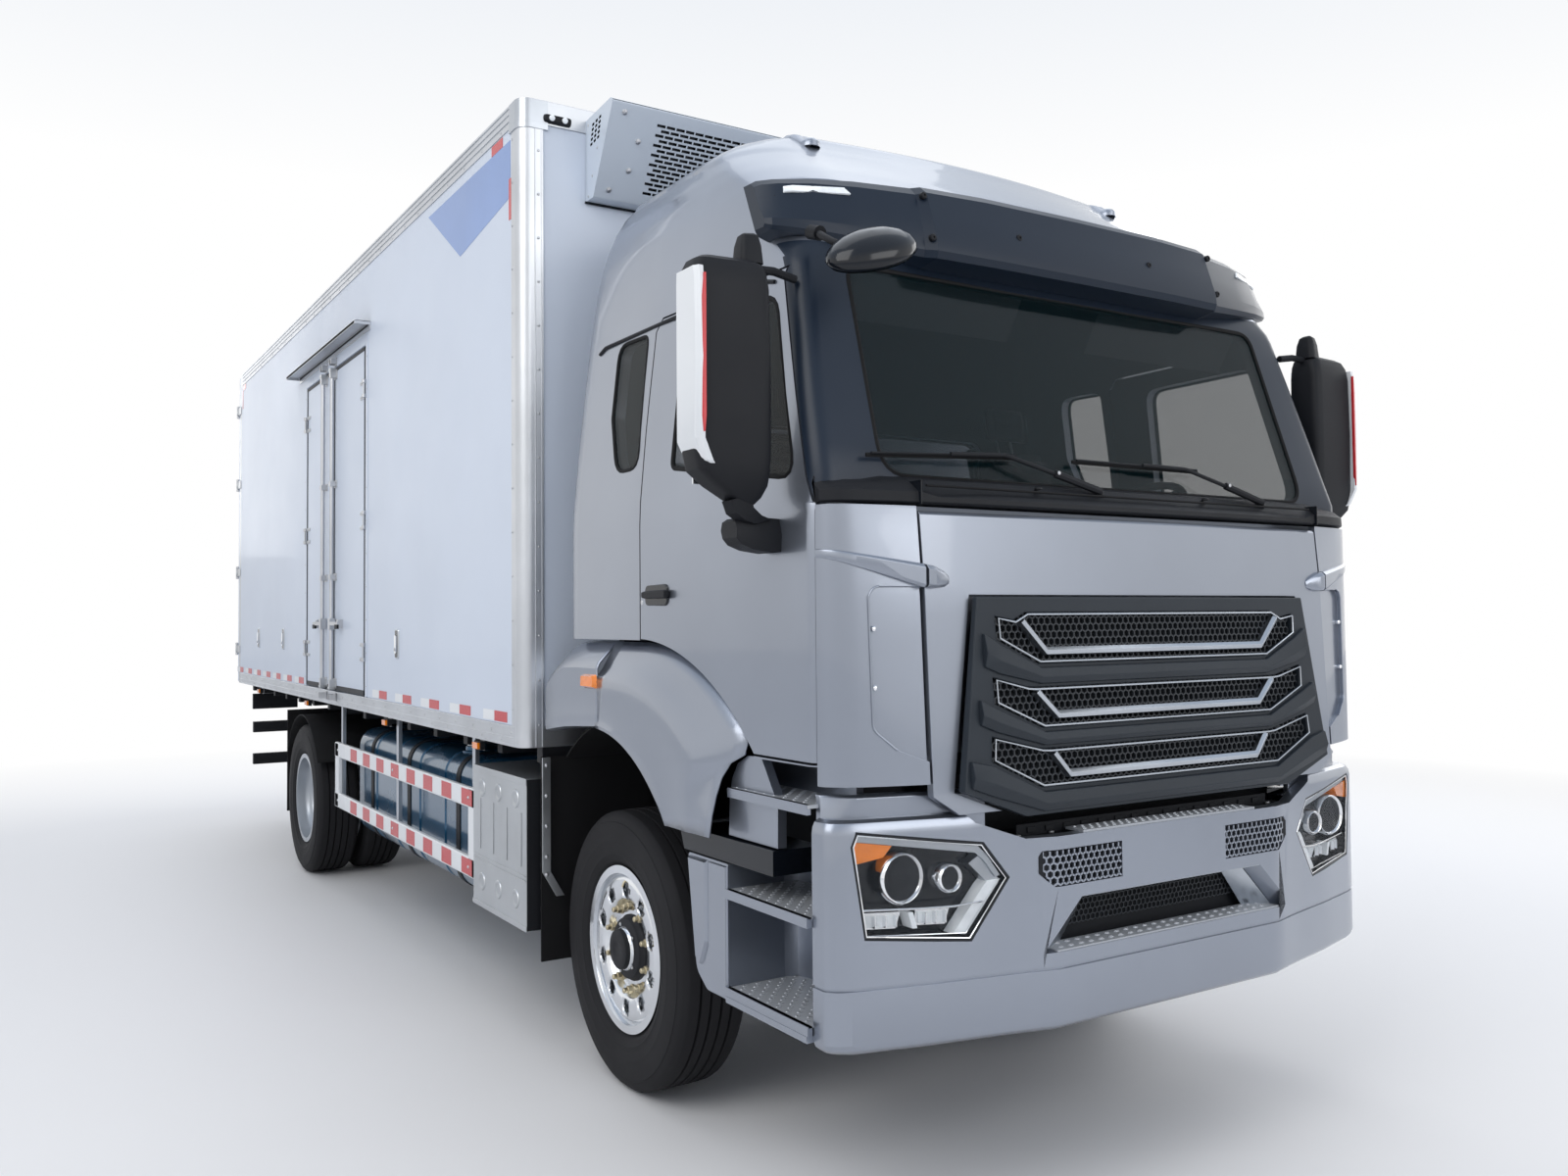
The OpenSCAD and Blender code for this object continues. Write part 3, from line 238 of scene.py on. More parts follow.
M = {
    "paint": metallic_paint("cab_paint", (0.30, 0.328, 0.385), metal=0.84, rough=(0.27, 0.36), coat=0.7),
    "box": solid_paint("box_panel", (0.62, 0.68, 0.78), rough=(0.36, 0.5), coat=0.12, gloss=0.35),
    "box_edge": solid_paint("door_edge_seal", (0.025, 0.027, 0.032), rough=(0.5, 0.6), coat=0.0, gloss=0.3),
    "cooler": solid_paint("cooler_panel", (0.56, 0.62, 0.70), rough=(0.3, 0.42), coat=0.2),
    "black": solid_paint("chassis_black", (0.012, 0.013, 0.016), rough=(0.42, 0.62), coat=0.0, spread=0.3,
                         gloss=0.25),
    "iron": solid_paint("cast_iron", (0.022, 0.023, 0.027), rough=(0.5, 0.7), coat=0.0, spread=0.3, bump=0.3,
                        gloss=0.25),
    "gloss": solid_paint("gloss_black", (0.006, 0.008, 0.012), rough=(0.12, 0.2), coat=0.2, gloss=0.3),
    "navy": solid_paint("visor_navy", (0.011, 0.019, 0.034), rough=(0.28, 0.40), coat=0.0, gloss=0.3),
    "trim": plastic("trim_black", (0.010, 0.011, 0.014), gloss=0.22),
    "grille": plastic("grille_charcoal", (0.020, 0.026, 0.034), rough=(0.36, 0.48), gloss=0.3),
    "mesh": plastic("grille_mesh", (0.030, 0.034, 0.040), rough=(0.35, 0.5), gloss=0.4),
    "rubber": plastic("moulded_rubber", (0.009, 0.009, 0.010), rough=(0.6, 0.75), bump=0.4, gloss=0.18),
    "tyre": plastic("tyre_rubber", (0.014, 0.014, 0.016), rough=(0.62, 0.8), grain=300.0, bump=0.5, gloss=0.22),
    "dash": plastic("dash_grain", (0.035, 0.036, 0.04), rough=(0.55, 0.7), bump=0.5),
    "leather": plastic("wheel_leather", (0.022, 0.022, 0.024), rough=(0.42, 0.58), grain=260.0, bump=0.5),
    "lining": solid_paint("cab_lining", (0.05, 0.053, 0.058), rough=(0.7, 0.85), coat=0.0, bump=0.3),
    "satin": metal("satin_trim", (0.50, 0.53, 0.57), rough=(0.28, 0.36)),
    "alu": metal("brushed_aluminium", (0.60, 0.62, 0.65), rough=(0.32, 0.45)),
    "polished": metal("polished_rim", (0.78, 0.80, 0.83), rough=(0.12, 0.22), bump=0.02),
    "steel": metal("stainless_sheet", (0.52, 0.54, 0.56), rough=(0.30, 0.45), streak=(1, 30, 1)),
    "zinc": metal("zinc_fitting", (0.56, 0.57, 0.59), rough=(0.3, 0.5), streak=(1, 1, 1)),
    "chrome": metal("chrome", (0.85, 0.86, 0.88), rough=(0.05, 0.10), bump=0.0),
    "tread": metallic_paint("tread_plate", (0.46, 0.48, 0.51), metal=0.35, rough=(0.35, 0.5), coat=0.1),
    "brass": metal("nut_yellow_zinc", (0.55, 0.48, 0.33), rough=(0.35, 0.5)),
    "silver": metallic_paint("rim_silver", (0.42, 0.45, 0.49), metal=0.6, rough=(0.3, 0.42), coat=0.3),
    "tank": metallic_paint("tank_blue", (0.012, 0.085, 0.17), metal=0.5, rough=(0.22, 0.34), coat=0.7),
    "white": solid_paint("guard_white", (0.76, 0.78, 0.80), rough=(0.3, 0.42)),
    "red_tape": solid_paint("tape_red", (0.55, 0.012, 0.02), rough=(0.25, 0.35), grain=500.0, bump=0.3),
    "white_tape": solid_paint("tape_white", (0.80, 0.82, 0.84), rough=(0.25, 0.35), grain=500.0, bump=0.3),
    "sticker": solid_paint("blue_sticker", (0.17, 0.28, 0.56), rough=(0.3, 0.4), spread=0.15),
    "windscreen": glass("windscreen_glass", (0.004, 0.014, 0.017), 0.42),
    "glass": glass("side_glass", (0.006, 0.016, 0.020), 0.34),
    "lens": glass("clear_lens", (0.05, 0.06, 0.07), 0.10, gloss=0.5),
    "mirror": metal("mirror_face", (0.80, 0.83, 0.86), rough=(0.02, 0.03), bump=0.0),
    "amber": lens("amber_lens", (0.85, 0.22, 0.01), glow=0.12),
    "red": lens("red_lens", (0.50, 0.01, 0.012)),
    "clear": lens("white_lens", (0.80, 0.84, 0.88), glow=0.15),
    "plate": solid_paint("blank_plate", (0.55, 0.57, 0.60), rough=(0.35, 0.45)),
    "cloth": fabric("seat_cloth", (0.03, 0.032, 0.037)),
}

# What each CAD node is finished with
FINISH = {
    "black": "chassis_frame tow_lug box_subframe leaf_springs air_tanks underrun_guard cab_underframe",
    "iron": "front_axle rear_axle engine knuckle_left knuckle_right",
    "steel": "battery_box silencer box_rear_frame",
    "tank": "fuel_tank",
    "white": "side_guards",
    "rubber": "mud_flaps",
    "red": "rear_lamps",
    "paint": "bumper lower_steps cab_shell cab_roof corner_panels fenders front_panel door_left door_right",
    "lens": "headlamps",
    "alu": "box_floor box_rails",
    "box": "box_front_wall box_side_walls box_roof side_door_front side_door_rear rear_door_left rear_door_right",
    "cooler": "cooling_unit",
    "windscreen": "cab_windows",
    "glass": "door_glass_left door_glass_right",
    "navy": "sun_visor",
    "trim": "wiper_cowl steering_wheel kerb_mirror mirror_left mirror_right",
    "dash": "dashboard",
    "cloth": "seats",
    "grille": "grille",
    "polished": "front_rim_left front_rim_right",
    "silver": "rear_rims_left rear_rims_right",
    "tyre": "front_tyre_left front_tyre_right rear_tyres_left rear_tyres_right",
}


# How near CAD corners are joined, in metres, and the radius of a CAD edge, in millimetres
WELD, CAD_EDGE = 0.00002, 3


def soften(obj, width, segments=2, angle=35):
    """Round an object's edges with a bevel, and shade it smooth between them."""
    b = obj.modifiers.new("edges", "BEVEL")
    b.width = width / 1000
    b.segments = segments
    b.limit_method = "ANGLE"
    b.angle_limit = math.radians(angle)
    b.harden_normals = True
    b.use_clamp_overlap = True
    return obj


def only(obj, key):
    """Give an object one material and no other."""
    obj.data.materials.clear()
    obj.data.materials.append(M[key])


def finish_cad():
    """Give every CAD node its material and softly rounded edges."""
    for key, names in FINISH.items():
        for name in names.split():
            obj = frame["nodes"][name]
            only(obj, key)
            weld = obj.modifiers.new("weld", "WELD")
            weld.merge_threshold = WELD
            if "tyre" not in name and "rim" not in name:
                soften(obj, CAD_EDGE, angle=40)


finish_cad()


# ---------------------------------------------------------------- building pieces

# Where a point of a flat outline lies, t along an axis
AXES = {"x": lambda p, t: (t, p[0], p[1]),
        "y": lambda p, t: (p[0], t, p[1]),
        "z": lambda p, t: (p[0], p[1], t)}
SIDES = ((1, "left"), (-1, "right"))


def turns(n):
    """Angles of n points evenly round a circle."""
    return [2 * math.pi * i / n for i in range(n)]


def spread(a, b, n):
    """n + 1 values evenly from a to b."""
    return [a + (b - a) * i / n for i in range(n + 1)]


def arc(centre, r, a0, a1, n):
    """Points of an arc between two angles in degrees."""
    return [(centre[0] + r * math.cos(math.radians(a0 + (a1 - a0) * i / n)),
             centre[1] + r * math.sin(math.radians(a0 + (a1 - a0) * i / n))) for i in range(n + 1)]


def round_outline(points, r, n=4):
    """An outline with its corners rounded to radius r, or to the radius that a corner gives as its third value."""
    out = []
    for i, p in enumerate(points):
        a, b = Vector(points[i - 1][:2]), Vector(points[(i + 1) % len(points)][:2])
        c = Vector(p[:2])
        rr = p[2] if len(p) > 2 else r
        u, v = (a - c).normalized(), (b - c).normalized()
        half = u.angle(v) / 2
        if rr < 0.5 or half > math.radians(88):
            out.append(tuple(c))
            continue
        cut = min(rr / math.tan(half), (a - c).length * 0.48, (b - c).length * 0.48)
        p0, p1 = c + u * cut, c + v * cut
        for k in range(n + 1):
            t = k / n
            out.append(tuple(p0 * (1 - t) ** 2 + c * (2 * t * (1 - t)) + p1 * t ** 2))
    return out


def grow(points, d):
    """An outline moved outward by d; it runs anticlockwise or clockwise."""
    area = sum(points[i - 1][0] * p[1] - p[0] * points[i - 1][1] for i, p in enumerate(points))
    s = 1 if area > 0 else -1
    out = []
    for i, p in enumerate(points):
        a, b = Vector(points[i - 1]), Vector(points[(i + 1) % len(points)])
        c = Vector(p)
        n0 = Vector(((c - a).y, -(c - a).x)).normalized() * s
        n1 = Vector(((b - c).y, -(b - c).x)).normalized() * s
        m = n0 + n1
        out.append(tuple(c + m * (d / max(0.3, m.dot(n0))) if m.length > 1e-6 else c))
    return out


def blend_rows(table, t):
    """Values read from a table of rows (t, values...), straight between rows."""
    if t <= table[0][0]:
        return table[0][1:]
    for lo, hi in zip(table, table[1:]):
        if t <= hi[0]:
            f = (t - lo[0]) / (hi[0] - lo[0])
            return [a + (b - a) * f for a, b in zip(lo[1:], hi[1:])]
    return table[-1][1:]


class Part:
    """One piece: meshes gathered in millimetres, each with its own material. side = -1 mirrors it."""

    def __init__(self, name, body, side=1):
        self.name, self.body, self.side = name, body, side
        self.bm = bmesh.new()
        self.keys = []

    def slot_of(self, key):
        if key not in self.keys:
            self.keys.append(key)
        return self.keys.index(key)

    def faces(self, verts, faces, key):
        made = [self.bm.verts.new(place((v[0] * self.side, v[1], v[2]))) for v in verts]
        out = []
        for f in faces:
            if len(set(f)) > 2:
                face = self.bm.faces.new([made[i] for i in f])
                face.material_index = self.slot_of(key)
                out.append(face)
        return out

    def prism(self, points, axis, a, b, key):
        """A flat outline run along an axis from a to b."""
        return self.taper(points, points, axis, a, b, key)

    def box(self, low, high, key):
        return self.prism([(low[0], low[1]), (high[0], low[1]), (high[0], high[1]), (low[0], high[1])],
                          "z", low[2], high[2], key)

    def taper(self, points, points2, axis, a, b, key):
        """A solid between two outlines with the same number of points."""
        n, at = len(points), AXES[axis]
        verts = [at(p, a) for p in points] + [at(p, b) for p in points2]
        sides = [[i, (i + 1) % n, n + (i + 1) % n, n + i] for i in range(n)]
        return self.faces(verts, [list(range(n))[::-1], list(range(n, 2 * n))] + sides, key)

    def loft(self, rings, key, caps=True):
        """Skin through rings of points, each with the same count."""
        n = len(rings[0])
        verts = [p for ring in rings for p in ring]
        faces = [[k * n + i, k * n + (i + 1) % n, (k + 1) * n + (i + 1) % n, (k + 1) * n + i]
                 for k in range(len(rings) - 1) for i in range(n)]
        if caps:
            faces += [list(range(n))[::-1], [(len(rings) - 1) * n + i for i in range(n)]]
        return self.faces(verts, faces, key)

    def tube(self, points, r, key, n=10, closed=False, flat=1.0):
        """A round bar along points; flat squeezes its section."""
        pts = [Vector(p) for p in points]
        rings, side = [], None
        count = len(pts)
        for i, p in enumerate(pts):
            before = pts[i - 1] if (i or closed) else p
            after = pts[(i + 1) % count] if (i < count - 1 or closed) else p
            d = ((p - before).normalized() + (after - p).normalized()).normalized()
            if side is None:
                side = d.cross(Vector((0, 0, 1)) if abs(d.z) < 0.9 else Vector((1, 0, 0))).normalized()
            side = (side - d * side.dot(d)).normalized()
            up = d.cross(side)
            rings.append([p + side * (r * math.cos(2 * math.pi * k / n)) +
                          up * (r * flat * math.sin(2 * math.pi * k / n))
                          for k in range(n)])
        if closed:
            rings.append(rings[0])
        return self.loft(rings, key, caps=not closed)

    def lathe(self, profile, axis, centre, key, n=48, closed=False):
        """A profile of (distance along the axis, radius) turned about an axis through centre."""
        cx, cy, cz = centre
        rings = []
        for k in range(n):
            a = 2 * math.pi * k / n
            c, s = math.cos(a), math.sin(a)
            spot = {"x": lambda t, r: (cx + t, cy + r * c, cz + r * s),
                    "y": lambda t, r: (cx + r * c, cy + t, cz + r * s),
                    "z": lambda t, r: (cx + r * c, cy + r * s, cz + t)}[axis]
            rings.append([spot(t, r) for t, r in profile])
        m = len(profile)
        verts = [p for ring in rings for p in ring]
        last = m if closed else m - 1
        faces = [[k * m + i, k * m + (i + 1) % m, ((k + 1) % n) * m + (i + 1) % m, ((k + 1) % n) * m + i]
                 for k in range(n) for i in range(last)]
        if not closed:
            for end in (0, m - 1):
                if profile[end][1] > 0.01:
                    faces.append([k * m + end for k in range(n)])
        made = self.faces(verts, faces, key)
        bmesh.ops.remove_doubles(self.bm, verts=list({v for f in made if f.is_valid for v in f.verts}), dist=1e-6)
        return made

    def mesh(self):
        bmesh.ops.recalc_face_normals(self.bm, faces=self.bm.faces)
        data = bpy.data.meshes.new(self.name)
        self.bm.to_mesh(data)
        self.bm.free()
        for key in self.keys:
            data.materials.append(M[key])
        return data

    def done(self, bevel=0, segments=2, angle=35, replaces=(), slot=None, smooth=40):
        obj = bpy.data.objects.new(self.name, self.mesh())
        scene.collection.objects.link(obj)
        return finish_piece(obj, self.body, bevel, segments, angle, replaces, smooth)


def finish_piece(obj, body, bevel=0, segments=2, angle=35, replaces=(), smooth=40):
    """Shade an object, round its edges, and tie it to its body and its CAD nodes."""
    obj.data.shade_smooth()
    obj.data.set_sharp_from_angle(angle=math.radians(smooth))
    if bevel:
        soften(obj, bevel, segments, angle)
    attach(obj, body)
    if replaces:
        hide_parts(*replaces)
    return obj


def raw(part):
    """A part as a bare object, for a boolean."""
    obj = bpy.data.objects.new(part.name, part.mesh())
    scene.collection.objects.link(obj)
    return obj


def apply_modifiers(obj):
    """Keep an object's mesh as its modifiers make it."""
    bpy.context.view_layer.update()
    shape = bpy.data.meshes.new_from_object(obj.evaluated_get(bpy.context.evaluated_depsgraph_get()))
    obj.modifiers.clear()
    old, obj.data = obj.data, shape
    bpy.data.meshes.remove(old)


def combine(obj, others, operation):
    """Cut, keep or join an object with others, which are used up."""
    for other in others:
        mod = obj.modifiers.new("b", "BOOLEAN")
        mod.operation = operation
        mod.solver = "EXACT"
        mod.object = other
        apply_modifiers(obj)
        bpy.data.objects.remove(other)
    return obj


def copy_of(obj, name):
    """A linked copy of an object with a mesh of its own."""
    new = obj.copy()
    new.data = obj.data.copy()
    new.name = new.data.name = name
    scene.collection.objects.link(new)
    return new


def prism_cutter(points, axis, a, b, side=1, key="trim"):
    """A prism as a bare object, for a boolean."""
    p = Part("cutter", "root", side)
    p.prism(points, axis, a, b, key)
    return raw(p)


def paint_faces(obj, key, test):
    """Give the faces whose centre and normal (in millimetres) pass a test another material."""
    data = obj.data
    if M[key].name not in [m.name for m in data.materials]:
        data.materials.append(M[key])
    index = [m.name for m in data.materials].index(M[key].name)
    for f in data.polygons:
        c = f.center
        if test((c.x * 1000, (c.y - AXLE_Y) * 1000, c.z * 1000), f.normal):
            f.material_index = index


def hex_mesh(part, inside, surface, x0, x1, z0, z1, pitch, wall, depth, key):
    """A hexagon mesh in the X-Z plane: a bar on each cell edge whose middle passes inside(x, z)."""
    rows = int((z1 - z0) / (pitch * 0.75)) + 2
    cols = int((x1 - x0) / (pitch * math.sqrt(3) / 2)) + 2
    step = pitch * math.sqrt(3) / 2
    for j in range(rows):
        for i in range(cols):
            cx = x0 + i * step + (step / 2 if j % 2 else 0)
            cz = z0 + j * pitch * 0.75
            for a in (30, 90, 150):
                p, q = [(cx + pitch / 2 * math.cos(math.radians(b)), cz + pitch / 2 * math.sin(math.radians(b)))
                        for b in (a, a + 60)]
                mid = ((p[0] + q[0]) / 2, (p[1] + q[1]) / 2)
                if inside(*mid):
                    d = Vector((q[1] - p[1], p[0] - q[0])).normalized() * wall / 2
                    quad = [(e[0] + k * d.x, e[1] + k * d.y) for e, k in ((p, -1), (q, -1), (q, 1), (p, 1))]
                    front = [(u, surface(u, v), v) for u, v in quad]
                    back = [(u, y + depth, v) for u, y, v in front]
                    part.faces(front + back, [[0, 1, 2, 3], [0, 4, 5, 1], [2, 6, 7, 3]], key)


def inside_outline(points):
    """A test for a point inside an outline."""
    def test(x, z):
        hit = False
        for i, (x1, z1) in enumerate(points):
            x0, z0 = points[i - 1]
            if (z0 > z) != (z1 > z) and x < (x1 - x0) * (z - z0) / (z1 - z0) + x0:
                hit = not hit
        return hit
    return test


# ---------------------------------------------------------------- cab skin

FLOOR = 1290
ARCH_C, ARCH_R = (-330, 650), 975
# height, half width, front, corner radius, bow of the front, rear
CAB_ROWS = [
    (1290, 1200, -1375, 45, 0, 250), (2000, 1200, -1375, 45, 0, 250), (2013, 1200, -1378, 60, 0, 250),
    (2014, 1200, -1402, 62, 8, 250), (2093, 1197, -1402, 62, 8, 250), (2320, 1176, -1331, 62, 8, 250),
    (2510, 1154, -1272, 62, 8, 250), (2730, 1127, -1203, 64, 8, 250), (2760, 1122, -1194, 70, 9, 250),
    (2860, 1110, -1170, 150, 26, 246), (2960, 1094, -1146, 200, 34, 241), (3040, 1078, -1122, 220, 40, 232),
    (3120, 1054, -1018, 240, 50, 224), (3180, 1030, -935, 250, 60, 216), (3240, 996, -852, 250, 66, 206),
    (3290, 950, -782, 240, 66, 190), (3325, 896, -735, 220, 62, 172), (3350, 836, -702, 200, 54, 152),
    (3365, 760, -676, 170, 44, 128), (3373, 660, -640, 130, 30, 90), (3376, 500, -560, 80, 10, 20)]
CREASE = [(-1000, 3060), (-840, 3168), (-615, 3234), (-337, 3254), (-24, 3266), (250, 3268)]


def side_x(y, z):
    """Distance of the cab's side from the middle, at a place along it and a height."""
    half = blend_rows(CAB_ROWS, z)[0]
    return half - 35 * min(1, max(0, (-360 - y) / 1015))


def cab_ring(z, d):
    """The cab's outline at a height, moved in by d, from the rear middle round to itself."""
    half, front, radius, bow, rear = blend_rows(CAB_ROWS, z)
    front, rear, radius = front + d, rear - d, max(12, radius - d)
    rear_r = 40
    xr = half - d
    points = [((xr - rear_r) * i / 6, rear) for i in range(6)]
    points += arc((xr - rear_r, rear - rear_r), rear_r, 90, 0, 4)
    y0, y1 = rear - rear_r, front + bow + radius
    lift = 14 * min(1, max(0, (z - 3040) / 40))
    for i in range(1, 28):
        y = y0 + (y1 - y0) * i / 28
        ridge = blend_rows(CREASE, y)[0]
        bump = lift * min(1, max(0, (z - ridge) / 14))
        points.append((side_x(y, z) - d + bump, y))
    xf = side_x(y1, z) - d + lift * min(1, max(0, (z - blend_rows(CREASE, y1)[0]) / 14))
    points += arc((xf - radius, y1), radius, 0, -90, 10)
    for i in range(1, 15):
        x = (xf - radius) * (1 - i / 14)
        points.append((x, front + bow * (x / (xf - radius)) ** 2))
    half_ring = [(x, y, z) for x, y in points]
    return half_ring + [(-x, y, z) for x, y, z in reversed(half_ring[1:-1])]


def cab_levels(d):
    """Heights of the cab's rings, close together where the roof turns over."""
    zs = [FLOOR + d, 1400, 1520, 1640, 1760, 1880, 1990, 2013, 2014, 2093, 2180, 2260, 2340, 2420, 2510, 2590, 2670,
          2730, 2760, 2810, 2860, 2910, 2960, 3000]
    zs += list(range(3040, 3300, 14)) + [3300, 3315, 3325, 3340, 3350, 3358, 3365, 3370, 3373, 3376]
    return [z for z in zs if z <= 3376 - d]


def cab_volume(d):
    """The cab as a solid, moved in by d, with the wheel arch cut out."""
    p = Part("volume", "cab")
    rings = [cab_ring(z, d) for z in cab_levels(d)]
    p.loft(rings, "paint" if d < 30 else "lining")
    obj = raw(p)
    grown = ARCH_R + d
    start = 180 - math.degrees(math.asin((FLOOR - 10 - ARCH_C[1]) / grown))
    profile = arc(ARCH_C, grown, start, 90, 24) + [(400, ARCH_C[1] + grown), (400, FLOOR - 10)]
    return combine(obj, [prism_cutter(profile, "x", -1500, 1500)], "DIFFERENCE")


DOOR_FRONT, DOOR_REAR, DOOR_TOP = -1363, -360, 2722
ARCH_TOP = ARCH_C[1] + ARCH_R


def door_outline():
    """The cab door from the side, round the wheel arch."""
    start = 180 - math.degrees(math.asin((FLOOR + 8 - ARCH_C[1]) / ARCH_R))
    return ([(DOOR_FRONT, FLOOR + 8)] + arc(ARCH_C, ARCH_R + 2, start, 92, 24) +
            [(DOOR_REAR, ARCH_TOP + 2), (DOOR_REAR, DOOR_TOP - 40), (DOOR_REAR - 40, DOOR_TOP), (-1150, DOOR_TOP),
             (-1136, DOOR_TOP - 24), (-1330, 2093), (DOOR_FRONT, 2010)])


DOOR_WINDOW = round_outline([(-1276, 2086, 50), (-560, 2188, 30), (-560, 2650, 60), (-1104, 2650, 90)], 50)
QUARTER = round_outline([(-318, 2215, 60), (-140, 2215, 90), (-62, 2420, 60), (-58, 2690, 60), (-300, 2684, 40)], 50)
WINDSCREEN = round_outline([(-948, 2094, 90), (948, 2094, 90), (925, 2745, 60), (-925, 2745, 60)], 60, 6)
REAR_WINDOW = round_outline([(-820, 2150), (820, 2150), (820, 2500), (-820, 2500)], 60)
# How far cutters reach along Y through the front, and along X through one side
THROUGH_SCREEN, THROUGH_FRONT, THROUGH_SIDE = (-1500, -1100), (-1700, -1400), (900, 1300)


def black_pillar(c):
    """Faces in front of the door seam, from the cowl to the roof, are black."""
    line = -1342 + (c[2] - 2093) / (2700 - 2093) * 206
    return 2012 < c[2] < 2790 and c[1] < line + 8


def inward(c, n):
    """Faces that look into the cab."""
    d = Vector((-c[0], -(c[1] + 500), 2300 - c[2])).normalized()
    deep = abs(c[0]) < side_x(c[1], c[2]) - 40 and -1340 < c[1] < 215 and c[2] < 3345
    return deep and n.dot(d) > -0.2 and c[2] > 1330


def cab_skin():
    """The cab's skin with its doors cut out, and its glass."""
    outer, inner = cab_volume(0), cab_volume(52)
    skin = combine(outer, [inner], "DIFFERENCE")
    glass_solid = combine(cab_volume(4), [cab_volume(10)], "DIFFERENCE")
    holes = [prism_cutter(WINDSCREEN, "y", *THROUGH_SCREEN), prism_cutter(QUARTER, "x", *THROUGH_SIDE, -1),
             prism_cutter(QUARTER, "x", *THROUGH_SIDE), prism_cutter(REAR_WINDOW, "y", 150, 300)]
    skin = combine(skin, holes, "DIFFERENCE")
    for side, name in SIDES:
        door = combine(copy_of(skin, "cab_door_skin_" + name),
                       [prism_cutter(grow(door_outline(), -3), "x", *THROUGH_SIDE, side)], "INTERSECT")
        door = combine(door, [prism_cutter(DOOR_WINDOW, "x", *THROUGH_SIDE, side)], "DIFFERENCE")
        paint_faces(door, "lining", inward)
        finish_piece(door, "cab_door_" + name, replaces=["door_" + name], smooth=28)
        skin = combine(skin, [prism_cutter(grow(door_outline(), 4), "x", 1060, 1300, side)], "DIFFERENCE")
    skin.name = "cab_skin"
    paint_faces(skin, "lining", inward)
    paint_faces(skin, "navy", lambda c, n: black_pillar(c) and not inward(c, n))
    finish_piece(skin, "cab", replaces=["cab_shell", "cab_roof"], smooth=28)
    panes = combine(copy_of(glass_solid, "windscreen"), [prism_cutter(grow(WINDSCREEN, -1), "y", *THROUGH_SCREEN)],
                    "INTERSECT")
    only(panes, "windscreen")
    finish_piece(panes, "cab", replaces=["cab_windows"], smooth=28)
    for side, name in SIDES:
        for piece, outline, body, nodes in (("quarter_glass_", QUARTER, "cab", []),
                                            ("door_pane_", DOOR_WINDOW, "cab_door_" + name, ["door_glass_" + name])):
            pane = combine(copy_of(glass_solid, piece + name),
                           [prism_cutter(grow(outline, -1), "x", *THROUGH_SIDE, side)], "INTERSECT")
            only(pane, "glass")
            finish_piece(pane, body, replaces=nodes, smooth=28)
    bpy.data.objects.remove(glass_solid)
    rear = Part("rear_glass", "cab")
    rear.prism(round_outline([(-818, 2152), (818, 2152), (818, 2498), (-818, 2498)], 60), "y", 220, 228, "glass")
    rear.done(slot="glass")


cab_skin()


# ---------------------------------------------------------------- front end

def shell(part, rows, inward, key):
    """A closed slab: a grid of front points and the same grid moved by inward(i, j)."""
    n, m = len(rows), len(rows[0])
    front = [Vector(p) for row in rows for p in row]
    back = [front[i * m + j] + Vector(inward(i, j)) for i in range(n) for j in range(m)]
    cells = [(i * m + j, i * m + j + 1, (i + 1) * m + j + 1, (i + 1) * m + j)
             for i in range(n - 1) for j in range(m - 1)]
    rim = ([i * m for i in range(n)] + [(n - 1) * m + j for j in range(1, m)] +
           [i * m + m - 1 for i in range(n - 2, -1, -1)] + [j for j in range(m - 2, 0, -1)])
    off = n * m
    faces = [list(c) for c in cells]
    edge = [[a, b, b + off, a + off] for a, b in zip(rim, rim[1:] + rim[:1])]
    return part.faces(front + back, faces + edge + [[v + off for v in c][::-1] for c in cells], key)


def tread(part, low, high, pitch, hole):
    """Raised oval holes over a flat tread between two corners, as dark discs with a lip; the discs are painted shade.
    """
    (x0, y0, z), (x1, y1) = low, high[:2]
    nx, ny = max(1, int((x1 - x0) / pitch)), max(1, int((y1 - y0) / (pitch * 0.62)))
    for j in range(ny):
        for i in range(nx):
            cx = x0 + (x1 - x0) * (i + 0.5 + (0.25 if j % 2 else -0.25)) / nx
            cy = y0 + (y1 - y0) * (j + 0.5) / ny
            ring = [(math.cos(a) * hole[0], math.sin(a) * hole[1]) for a in turns(10)]
            rows = [[(cx + u * s, cy + v * s, z + h) for u, v in ring]
                    for s, h in ((1.35, 0), (1.1, 2.2), (0.9, 2.2), (0.8, 0.6))]
            part.loft(rows, "tread", caps=False)
            # Painted shade: a gloss-black disc stands for the dark under each hole.
            part.faces(rows[-1], [list(range(10))], "gloss")


B_LOW, B_HIGH = span("bumper")
B_HALF, B_FRONT, B_BACK = B_HIGH.x, B_LOW.y, -1345
B_TOP = B_HIGH.z
B_BOTTOM = B_LOW.z


def bumper_y(x):
    """Where the bumper's face is along Y."""
    return B_FRONT + blend_rows([(0, 0), (490, 0), (640, 38), (870, 87), (1080, 142), (B_HALF, 170)], abs(x))[0]


def bumper_ring(z, d, back):
    """The bumper's outline at a height, moved in by d."""
    half = [(x, bumper_y(x) + d) for x in (0, 150, 300, 450, 490, 540, 590, 640, 700, 760, 820, 870, 930, 990, 1040)]
    p0, c, p2 = (1080, bumper_y(1080) + d), (B_HALF - d - 4, bumper_y(1080) + 26 + d), (B_HALF - d, B_FRONT + 200 + d)
    for k in range(7):
        t = k / 6
        half.append(tuple(p0[i] * (1 - t) ** 2 + 2 * t * (1 - t) * c[i] + t * t * p2[i] for i in (0, 1)))
    half.append((B_HALF - d, back))
    whole = [(x, y, z) for x, y in half]
    return whole + [(-x, y, z) for x, y, z in reversed(whole[1:])]


def bumper_solid(rows, back=B_BACK):
    """A solid through the bumper's outline at rows of (height, distance moved in)."""
    p = Part("bumper_solid", "root")
    p.loft([bumper_ring(z, d, back) for z, d in rows], "paint")
    return raw(p)


